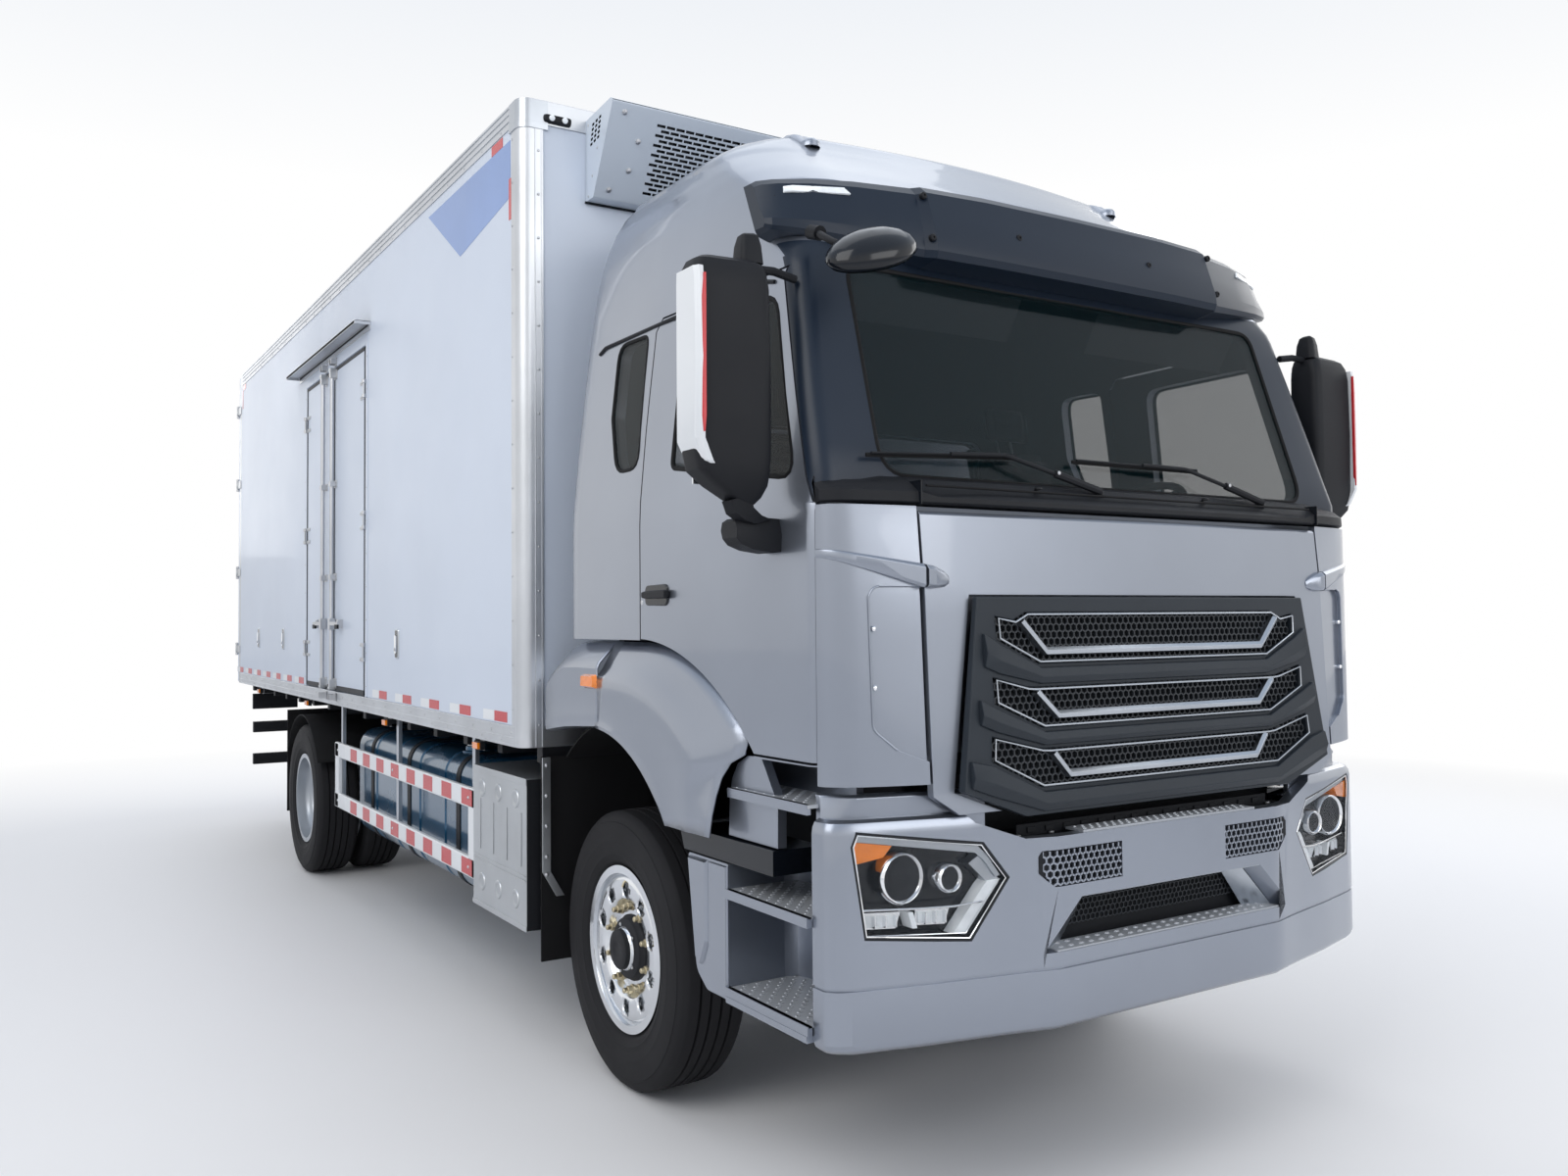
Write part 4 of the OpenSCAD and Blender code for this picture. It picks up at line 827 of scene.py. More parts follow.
LAMP = [(640, 966), (760, 800), (1070, 830), (1105, 1080), (1090, 1120), (720, 1070)]
LAMP_LOW, LAMP_HIGH = LAMP[:4], [LAMP[0], LAMP[5], LAMP[4], LAMP[3]]


def bumper():
    """The bumper with its mouth, treads and meshes, and the shelf behind its top."""
    seam = 700
    rows = [(B_BOTTOM, 36), (B_BOTTOM + 7, 18), (B_BOTTOM + 18, 6), (B_BOTTOM + 34, 0), (seam - 4, 0), (seam - 3, 6),
            (seam + 3, 6), (seam + 4, 0), (B_TOP - 40, 0), (B_TOP - 22, 3), (B_TOP - 8, 10), (B_TOP, 24)]
    body = bumper_solid(rows)
    inner = bumper_solid([(B_BOTTOM + 30, 42), (B_TOP - 26, 42)], B_BACK + 60)
    f = B_FRONT
    cuts = [inner,
            prism_cutter([(-590, 1070), (590, 1070), (742, 1124), (800, B_TOP + 30), (-800, B_TOP + 30),
                          (-742, 1124)],
                         "y", -1700, -1300)]
    mouth = Part("mouth", "root")
    mouth.taper([(-560, 744), (560, 744), (404, 893), (-404, 893)],
                [(-452, 744), (452, 744), (322, 868), (-322, 868)], "y", f - 6, f + 92, "trim")
    hole = prism_cutter([(-400, 784), (400, 784), (306, 858), (-306, 858)], "y", f - 20, f + 300)
    cuts += [raw(mouth), hole]
    for s in (1, -1):
        cuts.append(prism_cutter(LAMP, "y", -1700, -1380, s))
        cuts.append(prism_cutter([(232, 928), (500, 928), (556, 968), (556, 1018), (540, 1032), (232, 1032)],
                                 "y", f - 30, f + 16, s))
        groove = Part("groove", "root", s)
        groove.prism([(557, 744), (561, 744), (560, 697), (980, 520), (974, 516), (554, 694)], "y", -1700, f + 5,
                     "trim")
        cuts.append(raw(groove))
    body = combine(body, cuts, "DIFFERENCE")
    body.name = "bumper_skin"
    finish_piece(body, "root", bevel=5, segments=2, angle=22, replaces=["bumper"], smooth=30)

    rim = Part("bumper_inset", "root")
    for s in (1, -1):
        xs = [680, 760, 840, 920, 1000, 1060, 1110, 1138]
        grid = [[(s * x, bumper_y(x) + 46 + max(0, x - 1060) * 0.5, z) for x in xs] for z in (1090, 1203, 1212)]
        grid[2] = [(x, y + 8, z) for x, y, z in grid[2]]
        shell(rim, grid, lambda i, j: (0, 22, 0), "paint")
    rim.done(bevel=3, slot="cab_paint")

    trim = Part("bumper_trim", "root")
    # A bright satin bar along the mouth's outer edge: a painted highlight on that edge.
    outline = [(-560, 746), (-404, 893), (404, 893), (560, 746)]
    trim.tube([(x, f + 5.5 + (38 * max(0, abs(x) - 490) / 150), z) for x, z in outline], 5, "satin", n=8)
    band = [(-500, 746), (-356, 884), (356, 884), (500, 746)]
    inner_band = [(-408, 748), (-316, 862), (316, 862), (408, 748)]
    for (a, b), (c, d) in zip(zip(band, band[1:]), zip(inner_band, inner_band[1:])):
        trim.faces([(a[0], f + 40, a[1]), (b[0], f + 40, b[1]), (d[0], f + 84, d[1]), (c[0], f + 84, c[1])],
                   [[0, 1, 2, 3]], "satin")
    # A black plate closing the mouth behind its mesh: painted shade for the dark space behind it.
    trim.box((-540, f + 112, 690), (540, f + 116, 900), "trim")
    hex_mesh(trim, lambda x, z: abs(x) < 400 and 780 < z < 862, lambda x, z: f + 98, -400, 400, 780, 862, 22, 3, 6,
             "mesh")
    trim.box((-495, f + 4, 744), (495, f + 86, 749), "tread")
    tread(trim, (-470, f + 10, 749), (470, f + 82, 749), pitch=40, hole=(9, 4.5))
    trim.box((-384, f + 6, 1070), (384, f + 78, 1077), "tread")
    tread(trim, (-370, f + 12, 1077), (370, f + 72, 1077), pitch=30, hole=(5.5, 3))
    trim.done(bevel=1.5, slot="aluminium")

    grid = Part("bumper_mesh", "root")
    for s in (1, -1):
        poly = [(s * 234, 930), (s * 498, 930), (s * 552, 969), (s * 552, 1016), (s * 538, 1030), (s * 234, 1030)]
        test = inside_outline(poly)
        # A black plate behind each hex mesh: painted shade for the dark behind the mesh.
        grid.prism([(x, z) for x, z in poly], "y", f + 14, f + 18, "trim")
        x0, x1 = sorted((s * 230, s * 560))
        hex_mesh(grid, test, lambda x, z: bumper_y(x) + 2, x0, x1, 925, 1035, 26, 5.5, 9, "paint")
    grid.done(slot="cab_paint")

    shelf = Part("bumper_shelf", "root")
    shelf.box((-640, f + 80, 1040), (640, -1400, 1062), "trim")
    shelf.box((-560, f + 96, 1062), (560, f + 104, 1096), "trim")
    for i in range(15):
        shelf.box((-520 + i * 72, f + 92, 1070), (-490 + i * 72, f + 96, 1086), "black")
    for x in (-560, -430, -60, 60, 400, 430, 560):
        shelf.lathe([(0, 9), (6, 9), (7, 7)], "z", (x, f + 90, 1062), "zinc", 10)
    shelf.box((-700, -1402, 1040), (700, -1394, 1148), "trim")
    shelf.done(bevel=1, slot="trim_black")
    wall = Part("cab_front_closing", "cab")
    wall.box((-870, -1376, 1152), (870, -1362, 1300), "trim")
    for x in (-700, -420, 420, 700):
        wall.box((x - 30, -1384, 1170), (x + 30, -1376, 1240), "black")
    wall.done(bevel=2, slot="trim_black")


def headlamp(side, name):
    """A headlamp: its cover, bowl and walls, and the lamps in it."""
    lens_solid = combine(bumper_solid([(700, 5), (1180, 5)]), [bumper_solid([(690, 10), (1190, 10)], B_BACK + 20)],
                         "DIFFERENCE")
    cover = combine(lens_solid, [prism_cutter(grow(LAMP, -7), "y", *THROUGH_FRONT, side)], "INTERSECT")
    only(cover, "lens")
    cover.name = "headlamp_lens_" + name
    finish_piece(cover, "root", smooth=20)

    bowl = Part("headlamp_bowl_" + name, "root", side)
    xs = spread(646, 1101, 24)
    shell(bowl, [[(x, bumper_y(x) + 62, blend_rows(table, x)[0] + lift) for x in xs]
                 for table, lift in ((LAMP_LOW, 3), (LAMP_HIGH, -3))], lambda i, j: (0, 6, 0), "gloss")
    bowl.done(slot="lamp_glass")
    wall = combine(prism_cutter(grow(LAMP, -1), "y", -1640, -1385, side),
                   [prism_cutter(grow(LAMP, -7), "y", -1700, -1300, side)], "DIFFERENCE")
    wall = combine(wall, [bumper_solid([(700, 2), (1180, 2)], B_BACK)], "INTERSECT")
    only(wall, "gloss")
    wall.name = "headlamp_wall_" + name
    finish_piece(wall, "root", replaces=["headlamps"] if side == 1 else (), smooth=20)

    p = Part("headlamp_inside_" + name, "root", side)

    def at(x, z, deep):
        return (x, bumper_y(x) + deep, z)

    def strip(points, deep, back, key):
        """A flat bar on the bezel: an outline whose points follow the bumper's line."""
        n = len(points)
        verts = [at(x, z, deep) for x, z in points] + [at(x, z, back) for x, z in points]
        sides = [[i, (i + 1) % n, n + (i + 1) % n, n + i] for i in range(n)]
        p.faces(verts, [list(range(n))[::-1], list(range(n, 2 * n))] + sides, key)

    edge = [at(x, z, 4) for x, z in grow(LAMP, -9)]
    p.tube(edge, 2.6, "chrome", n=6, closed=True)
    strip([(730, 1058), (700, 1030), (664, 974), (676, 968), (712, 1018), (738, 1040), (1088, 1092), (1084, 1108)],
          12, 60, "satin")
    strip([(1092, 1092), (985, 1076), (1010, 1046), (1098, 1030)], 10, 60, "amber")
    for x, z, r in ((952, 985, 72), (812, 975, 42)):
        y = bumper_y(x) + 10
        p.lathe([(56, r), (6, r), (0, r - 5), (2, r - 9), (20, r - 15), (44, r - 30), (50, 0.01)], "y", (x, y, z),
                "chrome", 28)
        p.lathe([(8, r - 10), (20, r - 15), (24, r - 16)], "y", (x, y, z), "gloss", 28)
        p.lathe([(42, r * 0.62), (20, r * 0.60), (6, r * 0.42), (1, r * 0.2), (0, 0.01)], "y", (x, y + 8, z),
                "clear", 24)
    p.tube([at(x, z, 14) for x, z in ((1086, 908), (900, 900), (800, 898), (716, 905))], 3.2, "chrome", n=6)
    for x0, x1 in ((944, 1056), (800, 902)):
        pod = [(x0 + 14, 846), (x1, 850), (x1 + 8 if x1 > 1000 else x1, 894), (x0, 890)]
        strip(pod, 40, 60, "chrome")
        strip([(x0 + 20, 852), (x1 - 6, 856), (x1 - 4, 888), (x0 + 8, 884)], 34, 41, "clear")
        for k in range(3):
            xa = x0 + 22 + k * 30
            strip([(xa, 854), (xa + 3, 854), (xa + 3, 886), (xa, 886)], 20, 36, "chrome")
    strip([(912, 848), (926, 848), (938, 892), (924, 892)], 14, 58, "clear")
    strip([(1076, 846), (1084, 846), (1092, 892), (1084, 892)], 14, 58, "clear")
    blade = [(660, 962), (770, 818), (806, 822), (712, 946), (700, 958)]
    strip(blade, 16, 58, "clear")
    strip([(660, 962), (700, 958), (752, 1010), (722, 1030)], 22, 58, "satin")
    p.tube([at(x, z, 12) for x, z in ((668, 958), (770, 822), (1060, 838))], 2.4, "chrome", n=6)
    p.done(slot="lamp_glass", smooth=50)


PANEL_ROWS = [(1150, -1552), (1216, -1546), (1751, -1520), (1995, -1497)]
GRILLE = [(-585, 1132), (585, 1132), (808, 1216), (728, 1751), (-728, 1751), (-808, 1216)]


def panel_y(x, z):
    """Where the lifting front panel's face is along Y."""
    return blend_rows(PANEL_ROWS, z)[0] + 20 * (x / 885) ** 2


def front_panel():
    """The lifting front panel, its winglets and its inner rails."""
    p = Part("front_panel_skin", "front_lid")
    xs = spread(-885, 885, 24)
    zs = [1150, 1180, 1216, 1300, 1420, 1540, 1640, 1700, 1751, 1800, 1850, 1900, 1950, 1980, 1990]
    grid = [[(x, panel_y(x, z) + (6 if z == 1990 else 0), z) for x in xs] for z in zs]
    shell(p, grid, lambda i, j: (0, 28, 0), "paint")
    edge = [(-885, 1204), (-800, 1150), (800, 1150), (885, 1204), (885, 2000), (-885, 2000)]
    body = combine(raw(p), [prism_cutter(edge, "y", *THROUGH_FRONT)], "INTERSECT")
    body = combine(body, [prism_cutter(grow(GRILLE, 5), "y", *THROUGH_FRONT)], "DIFFERENCE")
    finish_piece(body, "front_lid", bevel=4, segments=2, angle=30, replaces=["front_panel"],
                 smooth=25)
    tips = Part("panel_winglets", "front_lid")
    for s in (1, -1):
        rows = []
        for x, z0, z1, out in ((885, 1778, 1840, 24), (860, 1776, 1836, 23), (822, 1779, 1822, 14),
                               (800, 1788, 1808, 3)):
            y = panel_y(x, 1800)
            rows.append([(s * x, y + 6, z1 + 4), (s * x, y - out * 0.6, z1), (s * x, y - out, z1 - 12),
                         (s * x, y - out, z0 + 8), (s * x, y - out * 0.7, z0), (s * x, y + 6, z0 - 2)])
        tips.loft(rows, "paint")
    tips.done(bevel=2, slot="cab_paint")
    back = Part("lid_inside", "front_lid")
    for z in (1790, 1900):
        back.box((-820, panel_y(0, z) + 34, z), (820, panel_y(0, z) + 42, z + 40), "trim")
    back.done(bevel=2, slot="trim_black")


def grille_y(z):
    """Where the grille's face is along Y."""
    return blend_rows([(1116, -1588), (1216, -1584), (1751, -1548)], z)[0]


ROWS = [
    dict(outer=[(665, 1696), (661, 1630), (510, 1560)], top=[(596, 1684), (549, 1706)],
         bar=[(569, 1683), (482, 1594)]),
    dict(outer=[(685, 1524), (682, 1451), (508, 1377)], top=[(560, 1494), (530, 1492)],
         bar=[(527, 1482), (451, 1411)]),
    dict(outer=[(700, 1360), (706, 1293), (525, 1210)], top=[(520, 1318), (490, 1316)],
         bar=[(475, 1305), (418, 1241)])]


def both_ends(points):
    """A line given for x > 0, with its mirror image before it."""
    return [(-x, z) for x, z in reversed(points)] + list(points)


def row_outline(row):
    """The opening of one of the grille's mesh rows."""
    low = both_ends(list(reversed(row["outer"])))
    high = both_ends(list(reversed(row["top"])))
    return low + high[::-1]


def grille():
    """The grille: a frame, a ridge under each mesh row, the net and bright trim in the rows, and a black sheet of
    painted shade behind them.
    """
    plate = prism_cutter(GRILLE, "y", -1700, -1500, key="grille")
    side = prism_cutter([(-1572, 1128), (-1568, 1216), (-1532, 1760), (-1512, 1760), (-1540, 1128)], "x", -900, 900,
                        key="grille")
    plate = combine(plate, [side], "INTERSECT")
    plate = combine(plate, [prism_cutter(row_outline(r), "y", *THROUGH_FRONT) for r in ROWS], "DIFFERENCE")
    only(plate, "grille")
    plate.name = "grille_frame"
    finish_piece(plate, "front_lid", bevel=4, replaces=["grille"])
    bars = Part("grille_bars", "front_lid")

    def ridge(path):
        """A two-facet bar: each path point is (x, high z, low z), given for x > 0."""
        stations = [(-x, a, b) for x, a, b in reversed(path)] + list(path)
        rings = []
        for x, a, b in stations:
            mid = b + (a - b) * 0.42
            rings.append([(x, grille_y(a) + 22, a), (x, grille_y(a) + 4, a - 3), (x, grille_y(mid) - 4.8, mid),
                          (x, grille_y(b) + 8, b + 3), (x, grille_y(b) + 22, b)])
        bars.loft(rings, "grille")

    ridge([(508, 1550, 1500), (662, 1619, 1532), (716, 1650, 1552)])
    ridge([(506, 1367, 1325), (684, 1440, 1370), (742, 1466, 1392)])
    ridge([(522, 1199, 1140), (712, 1284, 1196), (786, 1300, 1222)])
    bars.done(bevel=3, slot="grille_grey")
    trim = Part("grille_trim", "front_lid")
    net = Part("grille_net", "front_lid")
    # A flat black sheet behind the mesh rows: painted shade for the dark behind the grille.
    net.faces([(x, grille_y(z) + 52, z) for x, z in ((-700, 1180), (700, 1180), (700, 1730), (-700, 1730))],
              [[0, 1, 2, 3]], "trim")
    for r in ROWS:
        poly = row_outline(r)
        ring = [(x, grille_y(z) + 8, z) for x, z in grow(poly, -5)]
        trim.tube(ring, 3.6, "satin", n=6, closed=True)
        path = both_ends([r["bar"][1], r["bar"][0]])
        rings = []
        for i, (x, z) in enumerate(path):
            a = Vector(path[max(0, i - 1)])
            b = Vector(path[min(len(path) - 1, i + 1)])
            d = (b - a).normalized()
            up = Vector((-d.y, d.x))
            w = 13 if 0 < i < len(path) - 1 else 12
            y = grille_y(z)
            c = Vector((x, z))
            ring = [c - up * w, c - up * w * 0.7, c + up * w * 0.2, c + up * w, c + up * w]
            deep = [28, 4, 0, 10, 28]
            rings.append([(q.x, y + dd, q.y) for q, dd in zip(ring, deep)])
        trim.loft(rings, "satin")
        xs, zs = [p[0] for p in poly], [p[1] for p in poly]
        hex_mesh(net, inside_outline(grow(poly, -3)), lambda x, z: grille_y(z) + 26, min(xs), max(xs), min(zs),
                 max(zs), 27, 4.5, 12, "mesh")
    trim.done(bevel=2.5, slot="aluminium")
    net.done(slot="grille_grey")


PLAN = [(893, -1480), (960, -1471), (1030, -1459), (1080, -1448), (1118, -1434), (1144, -1415), (1158, -1396),
        (1164, -1374)]


def corner_point(x, y, z):
    """A point on the corner panel: it follows the front panel at its inner edge."""
    w = max(0, (1144 - x) / (1144 - 893))
    target = panel_y(885, z) + 1
    return (x, y + (target + 1480) * w, z)


def corner_panel(side, name):
    """The panel beside the front panel, with its slot and winglet."""
    zs = [1240, 1252, 1300, 1400, 1520, 1640, 1751, 1850, 1930, 1996, 2004]
    full = Part("corner", "cab", side)
    shell(full, [[corner_point(x, y, z) for x, y in PLAN] for z in zs], lambda i, j: corner_in(j, 26), "paint")
    cutter = Part("slot", "cab", side)
    shell(cutter, [[corner_point(x, y - 60, z) for x, y in PLAN] for z in zs], lambda i, j: (0, 72, 0), "trim")
    window = round_outline([(880, 1296, 0), (985, 1338, 30), (1046, 1392, 40), (1052, 1752, 30), (1036, 1780, 30),
                            (880, 1780, 0)], 20)
    hollow = combine(raw(cutter), [prism_cutter(window, "y", -1700, -1300, side)], "INTERSECT")
    body = combine(raw(full), [hollow], "DIFFERENCE")
    body.name = "corner_skin_" + name
    finish_piece(body, "cab", bevel=4, segments=2, angle=40, replaces=["corner_panels"] if side == 1 else (),
                 smooth=35)
    p = Part("corner_winglet_" + name, "cab", side)
    rows = []
    for x, y in PLAN:
        f = (x - 893) / (1164 - 893)
        z1, z0 = 1842 + 40 * f, 1776 + 84 * f
        out = 24 * (1 - f) + 2
        c = Vector(corner_point(x, y, z1))
        n = Vector((0.0, -1, 0)) if x < 1080 else Vector((0.6, -0.8, 0)) if x < 1150 else Vector((1, -0.1, 0))
        rows.append([c - n * 8 + Vector((0, 0, 4)), c + n * out * 0.6, c + n * out + Vector((0, 0, -10 + 6 * f)),
                     Vector((c.x, c.y, z0 + 8)) + n * out, Vector((c.x, c.y, z0)) + n * out * 0.7,
                     Vector((c.x, c.y, z0 - 2)) - n * 8])
    p.loft(rows, "paint")
    line = [corner_point(x, blend_rows(PLAN, x)[0], z) for x, z in window if x > 892]
    p.tube([(x, y - 2, z) for x, y, z in line], 3.5, "paint", n=6)
    for z in (1505, 1665):
        x = 1036
        y = corner_point(x, blend_rows(PLAN, x)[0], z)[1]
        p.lathe([(4, 9), (-5, 8), (-8, 4), (-8.5, 0.01)], "y", (x, y + 6, z), "chrome", 12)
    p.done(bevel=1.5, slot="cab_paint")


def corner_in(j, d):
    """The way from the corner panel's face to its back."""
    x = PLAN[j][0]
    return (0, d, 0) if x < 1100 else (-d * 0.7, d * 0.7, 0) if x < 1150 else (-d, 0, 0)


def visor():
    """The sun visor: a faceted middle, and wings that wrap round the roof's front corners."""
    sections = [
        (0, [(-1100, 3034), (-1206, 3032), (-1238, 3006), (-1262, 2925), (-1290, 2842), (-1293, 2806), (-1284, 2784),
             (-1180, 2766)]),
        (400, [(-1100, 3034), (-1203, 3031), (-1235, 3005), (-1260, 2925), (-1288, 2842), (-1291, 2806),
               (-1282, 2784), (-1178, 2766)]),
        (640, [(-1095, 3030), (-1192, 3026), (-1224, 3000), (-1250, 2922), (-1276, 2842), (-1281, 2806),
               (-1272, 2784), (-1170, 2768)]),
        (668, [(-1090, 3026), (-1178, 3022), (-1206, 2994), (-1228, 2920), (-1246, 2850), (-1250, 2812),
               (-1242, 2790), (-1165, 2772)]),
        (860, [(-1060, 3022), (-1140, 3020), (-1168, 2994), (-1192, 2920), (-1208, 2862), (-1210, 2826),
               (-1200, 2808), (-1130, 2790)]),
        (1000, [(-1010, 3018), (-1098, 3016), (-1128, 2992), (-1154, 2918), (-1170, 2868), (-1172, 2838),
                (-1162, 2824), (-1080, 2812)]),
        (1090, [(-960, 3014), (-1050, 3012), (-1082, 2990), (-1112, 2916), (-1134, 2872), (-1136, 2846),
                (-1126, 2834), (-1030, 2824)]),
        (1130, [(-960, 3010), (-1020, 3008), (-1050, 2988), (-1082, 2916), (-1112, 2872), (-1114, 2850),
                (-1104, 2840), (-1030, 2836)]),
        (1146, [(-975, 3000), (-1014, 2998), (-1034, 2982), (-1064, 2916), (-1094, 2872), (-1096, 2856),
                (-1088, 2848), (-1040, 2850)])]
    p = Part("visor_shape", "cab")
    stations = [(-x, pts) for x, pts in reversed(sections)] + sections[1:]
    p.loft([[(x, y, z) for y, z in pts] for x, pts in stations], "navy")
    body = combine(raw(p), [cab_volume(-1)], "DIFFERENCE")
    body.name = "visor_skin"
    only(body, "navy")
    finish_piece(body, "cab", bevel=5, segments=3, angle=14, replaces=["sun_visor"], smooth=22)
    q = Part("visor_trim", "cab")
    for s in (1, -1):
        lens_ring = [(1078, -1088, 2980), (1056, -1106, 2982), (905, -1158, 2986), (890, -1168, 2964),
                     (1060, -1108, 2960), (1082, -1096, 2958)]
        q.loft([[(s * x, y + 10, z) for x, y, z in lens_ring], [(s * x, y - 5, z) for x, y, z in lens_ring],
                [(s * (x * 0.985 + 15), y - 9, 2971 + (z - 2971) * 0.7) for x, y, z in lens_ring]], "clear")
        for x, y, z in ((656, -1230, 2986), (654, -1270, 2846), (1096, -1082, 2946), (300, -1268, 2900)):
            q.lathe([(8, 11), (-3, 11), (-6, 8), (-6, 4), (-3, 3.5), (-3, 0.01)], "y", (s * x, y, z), "trim", 12)
    q.done(slot="visor_black")


def windscreen_y(z):
    """Where the windscreen is along Y."""
    return blend_rows([(r[0], r[2]) for r in CAB_ROWS], z)[0]


def cowl():
    """The cowl under the windscreen, and the wipers on it."""
    p = Part("cowl_skin", "cab")
    sections = []
    for x in (0, 300, 600, 820, 884, 892, 960, 1030, 1080, 1118, 1144, 1160):
        front = blend_rows([(0, -1503), (600, -1500), (885, -1486), (893, -1479), (960, -1470), (1030, -1458),
                            (1080, -1447), (1118, -1433), (1144, -1414), (1164, -1380)], x)[0]
        back = -1385 if x < 1100 else -1360
        lift = 0 if x < 884 else 14
        sections.append((x, [(back, 2012), (front + 12, 2009), (front, 2015), (front + 2, 2030 + lift),
                             (front + 30, 2052 + lift), (min(back - 4, front + 62), 2084 if x < 1000 else 2078),
                             (back, 2098 if x < 1000 else 2086)]))
    stations = [(-x, pts) for x, pts in reversed(sections)] + sections[1:]
    p.loft([[(x, y, z) for y, z in pts] for x, pts in stations], "trim")
    p.done(bevel=4, segments=2, angle=25, replaces=["wiper_cowl"], slot="trim_black")
    q = Part("cowl_detail", "cab")
    for s in (1, -1):
        q.box((min(s * 885, s * 889), -1492, 2008), (max(s * 885, s * 889), -1430, 2075), "gloss")
    q.tube([(x, -1478, 2062) for x in (-860, -300, 300, 860)], 4, "rubber", n=6)
    for x in (-420, 330):
        q.lathe([(0, 12), (6, 11), (9, 6), (9.5, 0.01)], "z", (x, -1462, 2072), "trim", 12)

    def wiper(pivot, a, b, hold):
        px, pz = pivot
        q.lathe([(0, 19), (14, 18), (20, 12), (22, 0.01)], "z", (px, -1448, pz - 6), "trim", 16)
        on = [Vector((x, windscreen_y(z) - 16, z)) for x, z in (a, b)]
        q.tube([on[0], on[1]], 4.5, "rubber", n=6, flat=1.6)
        mid = [on[0] + (on[1] - on[0]) * t + Vector((0, -9, 5)) for t in (0.02, 0.3, 0.5, 0.7, 0.98)]
        q.tube(mid, 4.2, "trim", n=6)
        grip = on[0] + (on[1] - on[0]) * 0.52
        hold = Vector((hold[0], windscreen_y(hold[1]) - 34, hold[1]))
        arm = Vector((px, -1466, pz + 10)) - hold
        q.tube([grip + Vector((0, -14, 6)), hold, hold + arm * 0.55], 5.5, "trim", n=8, flat=1.3)
        q.tube([hold + arm * 0.5, Vector((px, -1462, pz + 8))], 10, "trim", n=8, flat=1.3)
        c = hold + arm * 0.5 + Vector((0, -12, 0))
        q.lathe([(-7, 7), (-9, 5), (-9.2, 0.01)], "y", (c.x, c.y, c.z), "zinc", 10)

    wiper((-155, 2070), (-1010, 2147), (-440, 2174), (-500, 2176))
    wiper((629, 2069), (-208, 2176), (377, 2176), (300, 2180))
    q.done(bevel=1, slot="trim_black")


# The top of the marker lamps' fairings
ROOF_LID = 3400


def roof_trim():
    """Marker lamps on long low fairings, and the gutter over each door."""
    p = Part("roof_trim", "cab")
    for s in (1, -1):
        rows = []
        for h, k in ((-14, 1.0), (3, 0.97), (13, 0.78), (19, 0.48), (21, 0.12)):
            ring = []
            for i in range(20):
                a = math.pi * i / 10
                x, y = 716 + 36 * k * math.sin(a), -690 + (230 if math.cos(a) > 0 else 44) * k * math.cos(a)
                rise = h * (1 - 0.6 * max(0, math.cos(a)))
                ring.append((s * x, y, min(roof_z(716, max(y, -690)) + rise, ROOF_LID)))
            rows.append(ring)
        p.loft(rows, "paint")
        p.lathe([(-6, 20), (8, 19), (14, 13), (17, 5), (17.5, 0.01)], "z", (s * 716, -700, roof_z(716, -690) + 6),
                "clear", 16)
        gutter = ((-1090, 2690), (-1040, 2702), (-500, 2706), (60, 2706), (110, 2690))
        p.tube([(s * (side_x(y, 2702) + 3), y, z) for y, z in gutter], 7,
               "trim", n=6)
    p.done(bevel=1, slot="cab_paint")


ROOF_TESTS = [(z, inside_outline([(x, y) for x, y, _ in cab_ring(z, 0)])) for z in range(3280, 3377, 4)]


def roof_z(x, y):
    """Height of the roof at a place, from the cab's rings."""
    return max([z for z, inside in ROOF_TESTS if inside(abs(x), y)], default=3280)


bumper()
for s, n in SIDES:
    headlamp(s, n)
front_panel()
grille()
for s, n in SIDES:
    corner_panel(s, n)
visor()
cowl()
roof_trim()


# ---------------------------------------------------------------- fenders, steps and mirrors

def sheet(name, body, rows, key, thick, side, replaces=(), slot=None):
    """A pressed sheet through a grid of points, given its thickness."""
    p = Part(name, body, side)
    n, m = len(rows), len(rows[0])
    p.faces([q for row in rows for q in row],
            [[i * m + j, i * m + j + 1, (i + 1) * m + j + 1, (i + 1) * m + j]
             for i in range(n - 1) for j in range(m - 1)], key)
    obj = p.done(replaces=replaces, slot=slot, smooth=24)
    solid = obj.modifiers.new("sheet", "SOLIDIFY")
    solid.thickness, solid.offset = thick / 1000, 0
    obj.modifiers.move(len(obj.modifiers) - 1, 0)
    return obj


OPEN_C, OPEN_R = (0, 560), 750


